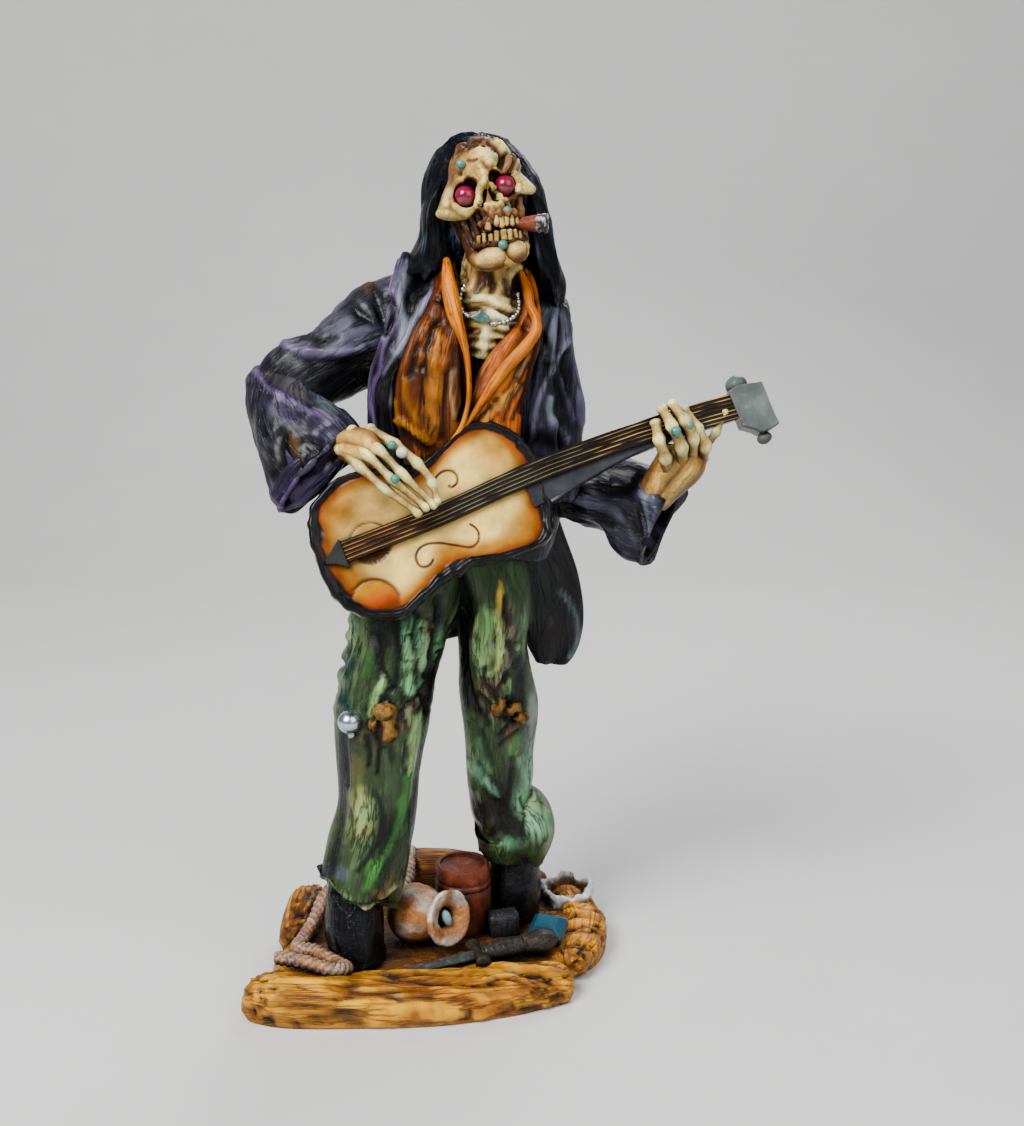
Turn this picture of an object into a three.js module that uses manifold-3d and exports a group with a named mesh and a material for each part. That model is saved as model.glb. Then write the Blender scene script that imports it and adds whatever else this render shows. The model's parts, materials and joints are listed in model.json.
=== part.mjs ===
// A painted resin figurine, 300 mm tall: a skeletal guitarist in a long coat on a carved timber base.
// Millimetres, +Z up, the viewer looks along +Y, and the origin is the middle of the base's flat underside.
// Nearly every form is a limb: oval sections carried along a smooth path, with folds pressed into them.
import * as THREE from "three";
import { mergeVertices } from "three/addons/utils/BufferGeometryUtils.js";
import Module from "manifold-3d";

const wasm = await Module();
wasm.setup();

// Driving sizes
const TOTAL_HEIGHT = 300;
const GROUND = 10; // top of the base where the shoes stand
const SEAT_GAP = 0.3; // air between a glued piece and its seat
const HEAD_ROLL = 0.255; // radians: the crown leans to the viewer's left
const HEAD_YAW = 0.06;
const HEAD_TIP = 0.03;
const HEAD_CENTRE = [22.8, -12.5, 280]; // between the eyes, inside the skull
const EYE_APART = 13.2;
const EYE_RADIUS = 3.4;
const STUD_RADIUS = 1.5;
const BRIDGE = [-25.4, -40, 166]; // where the strings start on the guitar
const NUT = [108.3, -20, 214.2]; // where they end
const FACE_TILT = 0.31; // radians that the guitar's face looks up
const GUITAR_DEPTH = 11;

const TAU = 2 * Math.PI;
const FACING = [0, -1, 0];
const flat = () => 0;

// Vector sums on plain arrays
const plus = (a, b, k = 1) => a.map((x, i) => x + k * b[i]);
const dot = (a, b) => a[0] * b[0] + a[1] * b[1] + a[2] * b[2];
const unit = (a) => a.map((x) => x / Math.hypot(...a));
const cross = (a, b) => [
  a[1] * b[2] - a[2] * b[1],
  a[2] * b[0] - a[0] * b[2],
  a[0] * b[1] - a[1] * b[0],
];
const bump = (x, middle, width) => Math.exp(-(((x - middle) / width) ** 2));

// A smooth curve through rows of numbers: uniform Catmull-Rom, t from 0 to 1.
function through(rows, t, closed = false) {
  const spans = closed ? rows.length : rows.length - 1;
  const at = closed ? (((t % 1) + 1) % 1) * spans : Math.min(Math.max(t, 0), 1) * spans;
  const i = Math.min(Math.floor(at), spans - 1);
  const f = at - i;
  const row = (k) =>
    closed ? rows[(k + spans) % spans] : rows[Math.min(Math.max(k, 0), rows.length - 1)];
  const [p, q, r, s] = [row(i - 1), row(i), row(i + 1), row(i + 2)];
  return q.map(
    (_, k) =>
      0.5 *
      (2 * q[k] +
        (r[k] - p[k]) * f +
        (2 * p[k] - 5 * q[k] + 4 * r[k] - s[k]) * f * f +
        (3 * q[k] - p[k] - 3 * r[k] + s[k]) * f ** 3),
  );
}

// Solids

// Closed triangles as a solid, turned face out if they were wound face in.
function solid(points, faces) {
  let six = 0;
  for (let i = 0; i < faces.length; i += 3)
    six += dot(points[faces[i]], cross(points[faces[i + 1]], points[faces[i + 2]]));
  const triVerts = new Uint32Array(faces);
  if (six < 0)
    for (let i = 0; i < faces.length; i += 3)
      [triVerts[i + 1], triVerts[i + 2]] = [triVerts[i + 2], triVerts[i + 1]];
  const vertProperties = new Float32Array(points.flat());
  return new wasm.Manifold(new wasm.Mesh({ numProp: 3, vertProperties, triVerts }));
}

// A skin over a stack of rings of equal count, closed with a fan at both ends.
function skin(rings) {
  const sides = rings[0].length;
  const points = rings.flat();
  const faces = [];
  for (let row = 0; row + 1 < rings.length; row++)
    for (let side = 0; side < sides; side++) {
      const a = row * sides + side;
      const b = row * sides + ((side + 1) % sides);
      faces.push(a, b, b + sides, a, b + sides, a + sides);
    }
  const last = (rings.length - 1) * sides;
  const middle = (ring) => ring.reduce((sum, p) => plus(sum, p, 1 / sides), [0, 0, 0]);
  points.push(middle(rings[0]), middle(rings.at(-1)));
  for (let i = 0; i < sides; i++) {
    const j = (i + 1) % sides;
    faces.push(j, i, points.length - 2, last + i, last + j, points.length - 1);
  }
  return solid(points, faces);
}

// The frame that a section stands in: along the path, to the side, and to the front.
function frameAt(stations, t, front, level) {
  if (level) return { along: [0, 0, -1], ahead: FACING, side: [1, 0, 0] };
  const step = 0.01;
  const along = unit(
    plus(through(stations, t + step).slice(0, 3), through(stations, t - step), -1),
  );
  const ahead = unit(plus(front, along, -dot(front, along)));
  return { along, ahead, side: cross(along, ahead) };
}

// Oval sections carried along stations of [x, y, z, half width, half depth].
// relief(angle, t) is the height in mm of the folds there, and round is about the height of the domed
// ends. Level sections stay horizontal, and their path runs from the top down.
function limb({
  stations,
  rows,
  sides,
  relief = flat,
  front = FACING,
  round = [0, 0],
  level = false,
}) {
  const ring = (t, scale, shift) => {
    const [x, y, z, wide, deep] = through(stations, t);
    const { along, ahead, side } = frameAt(stations, t, front, level);
    const middle = plus([x, y, z], along, shift);
    return Array.from({ length: sides }, (_, i) => {
      const angle = (TAU * i) / sides;
      const swell = relief(angle, t);
      const across = scale * (wide + swell) * Math.cos(angle);
      const forward = scale * (deep + swell) * Math.sin(angle);
      return plus(plus(middle, side, across), ahead, forward);
    });
  };
  const rings = [];
  // A domed end is one smaller ring, set out from the last section.
  const dome = Math.PI / 3;
  const [first, last] = round.map((height) => height * Math.sin(dome));
  if (first) rings.push(ring(0, Math.cos(dome), -first));
  for (let row = 0; row <= rows; row++) rings.push(ring(row / rows, 1, 0));
  if (last) rings.push(ring(1, Math.cos(dome), last));
  return skin(rings);
}

// An ellipsoid of the given radii.
function blob(at, radii, turn = null, wide = 14, high = 8) {
  const ball = new THREE.SphereGeometry(1, wide, high);
  ball.rotateX(Math.PI / 2);
  ball.scale(...radii);
  if (turn) ball.applyMatrix4(turn);
  ball.translate(...at);
  return fromGeometry(ball);
}

function fromGeometry(geometry) {
  const bare = geometry.index ? geometry.toNonIndexed() : geometry.clone();
  bare.deleteAttribute("normal");
  bare.deleteAttribute("uv");
  const merged = mergeVertices(bare, 1e-4);
  const faces = [];
  const index = merged.index.array;
  for (let i = 0; i < index.length; i += 3) {
    const [a, b, c] = [index[i], index[i + 1], index[i + 2]];
    if (a !== b && b !== c && a !== c) faces.push(a, b, c);
  }
  const spot = merged.attributes.position;
  const points = Array.from({ length: spot.count }, (_, i) => [
    spot.getX(i),
    spot.getY(i),
    spot.getZ(i),
  ]);
  return solid(points, faces);
}

const fuse = (pieces) => pieces.reduce((whole, piece) => whole.add(piece));

// Base: a slab of old timber with a split log along its front and stumps behind

const BASE_OUTLINE = [
  [-54, -38],
  [-46, -41],
  [-22, -42],
  [4, -40.5],
  [27, -35],
  [50, -24],
  [51, -12],
  [62, -2],
  [68, 14],
  [67, 32],
  [56, 47],
  [40, 56],
  [10, 57],
  [-18, 52],
  [-38, 36],
  [-55, 24],
  [-53, 4],
  [-55, -14],
];

function base() {
  const sides = 20;
  const levels = [
    [1, 0],
    [1, 6],
    [0.93, GROUND],
  ];
  const rings = levels.map(([scale, z]) =>
    Array.from({ length: sides }, (_, i) => {
      const [x, y] = through(BASE_OUTLINE, i / sides, true);
      return [x * scale, y * scale, z];
    }),
  );
  return skin(rings);
}

// Grain that runs along a timber: shallow ridges that change along its length.
const grain = (deep) => (angle, t) =>
  deep * Math.sin(4 * angle + 5 * t) + 0.6 * deep * Math.sin(3 * angle - 11 * t);
// Ridges across a timber, as growth rings show on its end.
const ridges = (deep, count) => (angle, t) => deep * Math.sin(TAU * count * t);

// Timbers lie down, so their sections face up
const lying = { front: [0, 0, 1], sides: 7 };

function timbers() {
  const log = limb({
    ...lying,
    stations: [
      [-56, -34, 5, 8.6, 8.6],
      [-44, -36, 5, 10, 10],
      [-20, -36.4, 5, 9.8, 9.4],
      [6, -34.4, 4.6, 10, 9],
      [30, -28.4, 4.6, 9.6, 8.4],
      [49, -22, 4, 7.4, 6.6],
    ],
    rows: 6,
    sides: 8,
    round: [5, 4],
    relief: grain(0.6),
  });
  const leftBlock = limb({
    ...lying,
    stations: [
      [-48.5, 2, 8, 6.5, 7],
      [-48.5, 12, 9, 7.5, 10],
      [-47.5, 22, 9, 7, 12.5],
      [-46, 29, 7, 6, 10],
    ],
    rows: 4,
    round: [2, 2],
    relief: ridges(0.5, 3),
  });
  const rightPlank = limb({
    ...lying,
    stations: [
      [53, -10, 6, 6, 5],
      [58, 4, 7, 7.5, 5.5],
      [60, 22, 7, 7.5, 5.5],
      [54, 42, 7, 8, 6],
    ],
    rows: 4,
    round: [2, 3],
    relief: ridges(0.5, 3),
  });
  const stump = limb({
    ...lying,
    stations: [
      [-26, 44, 9, 7, 8],
      [-14, 47, 13, 9, 11],
      [6, 49, 14, 9, 11],
      [26, 49, 11, 9, 9],
      [42, 46, 9, 8, 8],
    ],
    rows: 4,
    round: [4, 4],
    relief: grain(0.6),
  });
  return [log, leftBlock, rightPlank, stump];
}

// Things lying on the base

const ROPE_PATH = [
  [-38, 24, 21],
  [-40.4, 14, 20.4],
  [-42, 2, 17.6],
  [-44.6, -9, 15.6],
  [-45.5, -16, 15.4],
  [-38.3, -17.5, 14.6],
  [-29.5, -26.5, 14.6],
  [-26.2, -32, 15.4],
  [-31.5, -34.5, 16.4],
  [-41.2, -30, 17],
  [-51, -25.5, 16.4],
];
const REAR_ROPE = [
  [-9.5, 52, 24],
  [-9.3, 41, 24.5],
  [-9, 36, 20],
  [-11.5, 32, 14],
  [-14, 30, 10],
];
const ROPE_RADIUS = 2.3;

const rope = (path) =>
  limb({
    stations: path.map((p) => [...p, ROPE_RADIUS, ROPE_RADIUS]),
    rows: Math.round(path.length * 1.2),
    sides: 5,
    front: [0.1, 0.2, 1],
    round: [1, 1],
  });

const JAR_MIDDLE = [-3.8, 2, 20.4];
const JAR_AXIS = unit([0.74, -0.67, 0.2]);
const JAR_RADIUS = 11;
const JAR_LIP_RADIUS = 10.4;
const JAR_REACH = 18.5; // from the belly's middle to the lip

// A profile of [radius, height] turned about an axis that starts at foot.
function turned(profile, sides, foot, axis) {
  const shape = new THREE.LatheGeometry(
    profile.map(([r, h]) => new THREE.Vector2(r, h)),
    sides,
  );
  const turn = new THREE.Quaternion().setFromUnitVectors(
    new THREE.Vector3(0, 1, 0),
    new THREE.Vector3(...axis),
  );
  return fromGeometry(shape.applyQuaternion(turn).translate(...foot));
}

// The jar lies on its side: a round belly, a narrow neck and a broad dished lip with a small mouth.
const jar = () =>
  turned(
    [
      [0, -JAR_RADIUS],
      [JAR_RADIUS * 0.7, -JAR_RADIUS * 0.72],
      [JAR_RADIUS, -1],
      [JAR_RADIUS * 0.86, 7],
      [6.2, 12.5],
      [JAR_LIP_RADIUS, JAR_REACH - 1.6],
      [JAR_LIP_RADIUS - 0.6, JAR_REACH],
      [4.4, JAR_REACH - 1.6],
      [3.4, JAR_REACH - 6],
      [0, JAR_REACH - 6.5],
    ],
    11,
    JAR_MIDDLE,
    JAR_AXIS,
  );

const BARREL_FOOT = [13.3, 13, GROUND - 1];
const BARREL_RADIUS = 10.6;
const BARREL_HIGH = 27.5;

function barrel() {
  const r = BARREL_RADIUS;
  const h = BARREL_HIGH;
  return turned(
    [
      [0, 0],
      [r * 0.9, 0],
      [r, h * 0.6],
      [r * 0.94, h * 0.68],
      [r, h * 0.75],
      [r * 0.94, h],
      [r * 0.8, h],
      [r * 0.76, h - 1.3],
      [0, h - 1.3],
    ],
    12,
    BARREL_FOOT,
    unit([0, -0.04, 1]),
  );
}

const DAGGER_TIP = [-17, -33.5, 12];
const DAGGER_GUARD = [19.7, -19.5, 14.5];
const DAGGER_END = [49.4, -8.6, 15.8];

function dagger() {
  const run = unit(plus(DAGGER_END, DAGGER_GUARD, -1));
  const across = unit(cross([0, 0, 1], run));
  // Each part is [place along the run, place across it, half width, half depth]
  const part = (rows, count, sides, round) =>
    limb({
      ...lying,
      stations: rows.map(([s, w, wide, deep]) => [
        ...plus(plus(DAGGER_GUARD, run, s), across, w),
        wide,
        deep,
      ]),
      rows: count,
      sides,
      round,
    });
  const blade = limb({
    ...lying,
    stations: [
      [...DAGGER_TIP, 0.8, 0.8],
      [...through([DAGGER_TIP, DAGGER_GUARD], 0.4), 2.4, 1.8],
      [...DAGGER_GUARD, 3, 2.4],
    ],
    rows: 2,
    sides: 6,
  });
  return [
    blade,
    part([[0, -6, 3, 3], [0, 0, 2.4, 3], [0, 6, 3, 3]], 2, 6, [1, 1]),
    part([[1, 0, 3, 3], [9, 0, 3.6, 3.6], [18, 0, 3.2, 3.2]], 2, 7, [0, 0]),
    part([[17, 0, 4.2, 4], [23, 0, 5, 4.4], [29, 0, 3.4, 3]], 2, 7, [0, 1.5]),
  ];
}

// A small knurled block that lies between the dagger and the right shoe
const knurledBlock = () =>
  limb({
    ...lying,
    stations: [
      [22, 2, 12, 4, 5.6],
      [31.5, 4, 12.5, 4, 5.6],
    ],
    rows: 2,
    sides: 6,
    round: [1, 1],
  });

// The open shell at the back right: a torn ring with a hollow middle
const SHELL_AT = [54, 37, 12];
const SHELL_RADIUS = 9;

function tornShell() {
  const around = 12;
  const levels = [
    [1, -4],
    [1.12, 0],
    [1.04, 3.6],
    [0.74, 1.6],
    [0.3, -0.8],
  ];
  const rings = levels.map(([scale, z]) =>
    Array.from({ length: around }, (_, i) => {
      const turn = (TAU * i) / around;
      const torn = 0.7 * Math.sin(5 * turn);
      const r = (SHELL_RADIUS + torn) * scale;
      const high = z + 0.12 * r * Math.sin(turn) + (scale > 1 ? torn : 0);
      return plus(SHELL_AT, [r * Math.cos(turn), 0.95 * r * Math.sin(turn), high]);
    }),
  );
  return skin(rings);
}

// Legs and shoes

const LEFT_LEG = [
  [2, 8, 170, 19, 13],
  [-6, 6, 140, 18, 15.5],
  [-9, 4, 125, 17.2, 15.5],
  [-12, 1, 111, 16.3, 15],
  [-14.7, -2, 95, 16.2, 15.5],
  [-16, -4, 79, 15, 13.5],
  [-17, -6, 64, 14, 13],
  [-20.3, -8, 50, 14.8, 14],
  [-23.3, -9, 37, 15.2, 15],
  [-24, -9.5, 34, 14, 14.5],
];
const RIGHT_LEG = [
  [19, 8, 170, 17, 13],
  [25, 8, 142, 14.6, 15],
  [24.9, 10, 124, 13, 14.5],
  [25.4, 12, 108, 13.3, 14.5],
  [26.4, 14, 94, 14, 15],
  [26.5, 17, 75, 12.6, 13.5],
  [27.6, 20, 58, 11.6, 13],
  [32.6, 22, 47, 16, 15],
  [33, 24, 34, 12.6, 14],
];

// Long folds down the cloth, and a torn hollow over the knee cap.
const trouserFolds = (phase, knee) => (angle, t) =>
  1.0 * Math.sin(3 * angle + phase + 5 * t) +
  0.8 * Math.sin(5 * angle - 7 * t + phase) +
  0.5 * Math.sin(2 * angle + 19 * t) -
  2 * bump(t, knee, 0.05) * bump(angle, Math.PI / 2, 0.4);

function legs() {
  const leg = (stations, phase, knee) =>
    limb({ stations, rows: 10, sides: 10, relief: trouserFolds(phase, knee) });
  const shoe = (stations) => limb({ stations, rows: 2, sides: 9 });
  return [
    leg(LEFT_LEG, 0, 0.45),
    leg(RIGHT_LEG, 2, 0.5),
    shoe([
      [-25.6, -7, 38, 9.6, 9.5],
      [-25.6, -9.6, 24, 10.6, 13],
      [-24, -12, GROUND - 1, 10, 14.5],
    ]),
    shoe([
      [33, 26, 36, 9.2, 9.2],
      [33, 25.2, 22, 10.2, 11],
      [32.8, 25, GROUND - 1, 9.8, 12],
    ]),
  ];
}

// Body, shirt and coat

const CHEST = [
  [25.8, -5, 264, 9, 8.5],
  [25.4, -4, 253, 9.6, 8.5],
  [25.8, -5, 245, 13, 9.5],
  [25.5, -7.5, 237, 12.5, 10],
  [24, -9, 230, 9.5, 7.5],
  [22.5, -9, 226, 7, 4.5],
];
// The buttonless coat from the collar, which rises to the left, down to where its skirt parts
const COAT = [
  [22.6, 7, 256, 17, 9],
  [20.4, 5.5, 247, 25.5, 13],
  [18, 5, 235, 30.5, 16],
  [16.6, 4.5, 217, 33, 17.5],
  [16.2, 4.5, 198, 33.5, 18.5],
  [15.5, 6, 177, 33.5, 18],
  [13, 7, 160, 31, 17],
];
const coatFolds = (angle, t) => 1.1 * Math.sin(5 * angle + 6 * t);

function body() {
  const ribs = limb({
    stations: CHEST,
    rows: 9,
    sides: 9,
    level: true,
    relief: (angle, t) => 0.7 * Math.cos(6 * Math.PI * t) * bump(t, 0.65, 0.35),
  });
  const coat = limb({ stations: COAT, rows: 5, sides: 12, relief: coatFolds });
  return [ribs, coat];
}

// Flat bands of cloth: [x, y, z, half width, half thickness] from the top down
const LEFT_LAPEL = [
  [1.1, 1, 258, 6.4, 3],
  [-0.3, -5, 251, 7.1, 3],
  [-1.8, -10, 245, 6.4, 3],
  [-4.3, -13, 236.2, 5.8, 3],
  [-8.1, -14, 228.3, 4.4, 2.8],
  [-11.4, -14, 220, 3.8, 2.6],
  [-12, -13, 208, 4, 2.6],
  [-11, -11, 192, 5, 2.6],
];
const RIGHT_LAPEL = [
  [44.5, 2, 247, 3.4, 3],
  [42.5, -6, 238, 3.6, 3],
  [41, -10, 226, 4.2, 3],
  [40.5, -11, 212, 5, 3],
  [41, -10, 194, 6, 3],
];
const LEFT_SHIRT = [
  [9.6, -3, 259, 3, 2],
  [10.2, -10, 249.3, 4.3, 2.6],
  [9.8, -14.5, 239.6, 7.3, 3],
  [7.3, -17.5, 229.8, 9.9, 3.4],
  [5.6, -19, 218.5, 11.9, 3.4],
  [5.2, -19, 207, 11.4, 3],
  [6, -17, 193, 10, 2.4],
];
const RIGHT_SHIRT = [
  [37, -5, 253.5, 2, 2],
  [38.3, -11, 244.4, 2.8, 2.4],
  [37, -14, 235.3, 4.9, 2.8],
  [32, -17, 225.9, 7.5, 3],
  [27.6, -19, 216.1, 8.8, 3],
  [25.4, -19, 206, 9.6, 2.6],
  [25, -17, 192, 9.6, 2.4],
];
const RIGHT_TAIL = [
  [35, 16, 170, 12, 6],
  [39.5, 19, 157, 12.4, 4.8],
  [44.6, 23, 143, 12, 3.8],
  [47.2, 25.5, 129, 11.4, 3.2],
  [47.4, 26.5, 118, 9.4, 3],
  [47, 26.5, 111.5, 6, 2.6],
];
const LEFT_TAIL = [
  [4, 18, 162, 27, 7],
  [3, 23, 144, 24, 5],
  [3, 26, 127, 20, 3.4],
  [4, 26, 121, 14, 2.8],
];

// Folds stand out on the side that faces the viewer.
const band = (stations, folds) =>
  limb({
    stations,
    rows: 5,
    sides: 6,
    round: [1.2, 1.2],
    relief: (angle, t) => folds * Math.sin(5 * angle + 9 * t) * Math.max(Math.sin(angle), 0),
  });

function cloth() {
  return [
    band(LEFT_LAPEL, 0.8),
    band(RIGHT_LAPEL, 0.6),
    band(LEFT_SHIRT, 0.8),
    band(RIGHT_SHIRT, 0.6),
    band(RIGHT_TAIL, 0.3),
    band(LEFT_TAIL, 0.4),
  ];
}

// Sleeves: the upper arms, then wide torn cuffs that the hands come out of

const LEFT_UPPER_ARM = [
  [-2, 6, 238, 17, 13],
  [-14, 5, 234, 17, 12.5],
  [-28, 3, 226.6, 12.8, 12],
  [-42, 1, 218.4, 12.2, 12],
  [-51, 0, 212, 9.5, 11],
];
const LEFT_CUFF = [
  [-47, 2, 217, 11.5, 11],
  [-46.6, -4, 209.5, 12.4, 11.5],
  [-41.4, -12, 201, 15.4, 10.5],
  [-34, -19, 194, 19, 8.5],
  [-30.5, -22.5, 190.5, 19.6, 7.6],
];
const RIGHT_UPPER_ARM = [
  [46, 4, 242, 6, 8],
  [47, 2, 234, 6.4, 9],
  [47, 1, 222, 6.8, 9.5],
  [46.8, 1, 208, 8.2, 10.5],
  [47.4, 3, 194, 9.8, 11],
  [49, 5, 180, 10, 10],
];
const RIGHT_CUFF = [
  [48, 9, 181, 9, 9],
  [59, 5, 180, 12.8, 10],
  [69, -2, 177.5, 13, 9.5],
  [77.4, -8.5, 173.7, 15.2, 8.6],
  [83.5, -12.5, 171, 16, 7.8],
];
const sleeveFolds = (angle, t) =>
  0.9 * Math.sin(3 * angle + 9 * t) + 0.5 * Math.sin(4 * angle - 8 * t);

function sleeves() {
  // The opening of a cuff, cut back from its mouth.
  const mouth = (stations) => {
    const wall = 2;
    const [inner, rim] = [stations.at(-2), stations.at(-1)];
    const out = unit(plus(rim.slice(0, 3), inner, -1));
    const row = (back, shrink) => [
      ...plus(rim.slice(0, 3), out, -back),
      (rim[3] - wall) * shrink,
      (rim[4] - wall) * shrink,
    ];
    return limb({ stations: [row(9, 0.5), row(5, 0.85), row(-2, 1)], rows: 2, sides: 8 });
  };
  const upper = (stations) =>
    limb({ stations, rows: 5, sides: 8, round: [4, 4], relief: sleeveFolds });
  const cuff = (stations) =>
    limb({ stations, rows: 4, sides: 11, round: [6, 0], relief: sleeveFolds });
  return [
    upper(LEFT_UPPER_ARM),
    cuff(LEFT_CUFF).subtract(mouth(LEFT_CUFF)),
    upper(RIGHT_UPPER_ARM),
    cuff(RIGHT_CUFF).subtract(mouth(RIGHT_CUFF)),
  ];
}

// Hands: bare finger bones

function finger(path, thick, tip) {
  const knuckles = path.length - 1;
  const radius = (i) => thick + ((tip - thick) * i) / knuckles;
  return limb({
    stations: path.map((p, i) => [...p, radius(i), radius(i)]),
    rows: knuckles,
    sides: 5,
    round: [1, 1],
    front: [0.2, -0.5, 0.8],
  });
}

const LEFT_FINGERS = [
  [[-25, -29.5, 197.5], [-16, -38, 192.5], [-8.8, -42, 187.6], [1.9, -43.2, 180]],
  [[-21.5, -30, 200.6], [-13, -38.5, 196], [-5.5, -42.5, 190.3], [4.5, -43.4, 181]],
  [[-17, -30, 202.5], [-9.5, -38, 197.5], [-2.5, -42, 191.6], [8, -43.4, 181.5]],
  [[-12.5, -30, 203], [-5, -36.5, 199.5], [2.5, -40.5, 195], [6.4, -42.5, 189], [7.6, -43, 184]],
];
const RIGHT_FINGERS = [
  [[84, -21, 190], [82.3, -27.5, 195.5], [80, -29.5, 201.5], [79.1, -27.5, 206.6]],
  [[88.4, -20.5, 191], [87.4, -29, 199], [84, -30.5, 206], [81.3, -27, 211]],
  [[92, -19.5, 192.5], [91, -28.5, 202], [88.2, -30, 207.6], [84.3, -26.5, 212.7]],
  [[95.4, -18, 194], [95.6, -25.5, 199], [92.4, -28, 205], [88.3, -26, 210.6]],
];
const RIGHT_THUMB = [[92, -17, 193], [96.4, -21.5, 198.4], [99.8, -21.5, 203], [102.6, -21, 209.5]];

function hands() {
  const palm = (stations, front) =>
    limb({ stations, rows: 2, sides: 7, front, round: [1, 1] });
  const left = palm(
    [
      [-30, -21, 195, 7.5, 4],
      [-24, -27, 197.5, 7.8, 3.6],
      [-18, -32, 198.5, 8.4, 3.2],
      [-13, -36, 197.5, 7.4, 2.6],
    ],
    [-0.4, -0.8, 0.2],
  );
  const right = palm(
    [
      [80, -11, 179, 6, 5],
      [84.5, -16, 186.5, 7.6, 5],
      [88.4, -20, 192.5, 8.6, 5],
      [89.6, -19.5, 197, 7.6, 3.8],
    ],
    [0.2, -1, 0.1],
  );
  return [
    left,
    right,
    ...LEFT_FINGERS.map((path) => finger(path, 1.9, 1.3)),
    ...RIGHT_FINGERS.map((path) => finger(path, 2.4, 1.8)),
    finger(RIGHT_THUMB, 2.4, 0.9),
  ];
}

// Head: right, up and front of the skull's own frame

const headTurn = new THREE.Matrix4()
  .makeRotationY(-HEAD_ROLL)
  .multiply(new THREE.Matrix4().makeRotationZ(HEAD_YAW))
  .multiply(new THREE.Matrix4().makeRotationX(-HEAD_TIP));

// A point given as right, up and front of the middle of the skull.
function onHead(right, up, front) {
  const spot = new THREE.Vector3(right, -front, up).applyMatrix4(headTurn);
  return plus(HEAD_CENTRE, spot.toArray());
}
// radii are right, up and front
const headBlob = (at, [right, up, front], wide = 10, high = 6) =>
  blob(onHead(...at), [right, front, up], headTurn, wide, high);
// A limb through points of [right, up, front, half width, half depth]
const headLimb = (points, rest) =>
  limb({
    stations: points.map(([r, u, f, wide, deep]) => [...onHead(r, u, f), wide, deep]),
    sides: 6,
    round: [1, 1],
    ...rest,
  });
const onBothSides = (make) => [make(-1), make(1)];

const JAW = [
  [-9.2, -2, -2, 2.4, 3.2],
  [-9.2, -15, 3, 2.2, 3],
  [-4.5, -20.6, 11, 3, 3.6],
  [1.2, -21.4, 13.6, 3.4, 3.6],
  [6.4, -20.6, 11, 2.8, 3.6],
  [8.8, -15, 3, 2.2, 3],
  [9.4, -2, -2, 2.4, 3.2],
];
const UPPER_TEETH = [
  [-4.6, -10.4, 9, 1.5, 2.4],
  [-2.4, -10.9, 13.4, 1.5, 2.4],
  [2.4, -11.2, 15.2, 1.5, 2.4],
  [7, -11.2, 13.4, 1.5, 2.4],
  [9.4, -10.6, 9, 1.5, 2.4],
];
const LOWER_TEETH = UPPER_TEETH.map(([r, u, f, wide, deep]) => [r, u - 4.2, f - 0.9, wide, deep - 0.6]);
const EYE_FRONT = 11.4;

function skull() {
  const bone = [
    headBlob([0.6, 6.2, 0], [11.2, 12.8, 14.6], 11, 7),
    headBlob([0, 9.2, 9], [8, 6.6, 6.2], 7, 5),
    headBlob([0.8, -7, 9], [6, 6, 6.6], 7, 5),
    ...onBothSides((s) => headBlob([s * 8.4, -0.2, 8.4], [6.2, 6.2, 4.6], 8, 5)),
    ...onBothSides((s) =>
      headLimb(
        [
          [s * 6, -4.6, 11, 1.8, 2],
          [s * 12, -4, 9.6, 2, 2.2],
          [s * 15, -2.4, 7.4, 2, 2.2],
          [s * 12.6, 3, 5, 2, 2],
        ],
        { rows: 3 },
      ),
    ),
    headLimb(JAW, { rows: 6, front: [0, 0, 1] }),
    headBlob([-2.8, -21, 13], [4.6, 4.2, 3.6], 7, 4),
    headBlob([5.3, -20.8, 13], [4, 4, 3.6], 7, 4),
    headLimb(UPPER_TEETH, { rows: 4, sides: 4, front: [0, 0, 1] }),
    headLimb(LOWER_TEETH, { rows: 4, sides: 4, front: [0, 0, 1] }),
  ];
  const hollows = [
    ...onBothSides((s) =>
      headBlob([(s * EYE_APART) / 2, 0, EYE_FRONT + 1.6], [4.5, 4.8, 5.4], 8, 5),
    ),
    ...onBothSides((s) => headBlob([0.5 + s * 1.9, -2.6, 15.4], [1, 2.6, 3], 5, 3)),
  ];
  return hollows.reduce((whole, hollow) => whole.subtract(hollow), fuse(bone));
}

const eyeAt = (s) => onHead((s * EYE_APART) / 2, 0, EYE_FRONT);

// Hair, in level sections from the crown down, and a lock in front of each shoulder
const HAIR = [
  [21, 2.5, TOTAL_HEIGHT - 3, 10.5, 9],
  [21.3, 3, 293, 15.4, 12.6],
  [22.2, 4, 285, 20, 15.6],
  [23, 5, 275, 21.8, 16],
  [22.8, 6.5, 266, 22, 14],
  [23, 9.5, 258, 22.6, 11.5],
  [24.5, 12.5, 248, 22.6, 9],
  [25, 16, 236, 21, 7.5],
  [24, 18, 222, 16, 6],
  [23, 18.5, 208, 8, 4],
];
const LEFT_LOCK = [
  [8.6, -2, 286, 2.4, 4.4],
  [5.8, -3.6, 276, 3.8, 7.4],
  [5.8, -4.4, 266, 5, 7.6],
  [6, -5, 259, 7.6, 7],
];
const RIGHT_LOCK = [
  [37, -2, 285, 2, 4],
  [40.4, -4, 275, 3.4, 7.4],
  [42.6, -4, 262, 4.4, 7],
  [45, -3, 252, 4.6, 6],
  [46.6, -2, 245, 2.4, 4],
];
const hairWaves = (angle, t) =>
  0.5 * Math.sin(5 * angle + 5 * t) + 0.4 * Math.sin(4 * angle - 6 * t);

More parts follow.
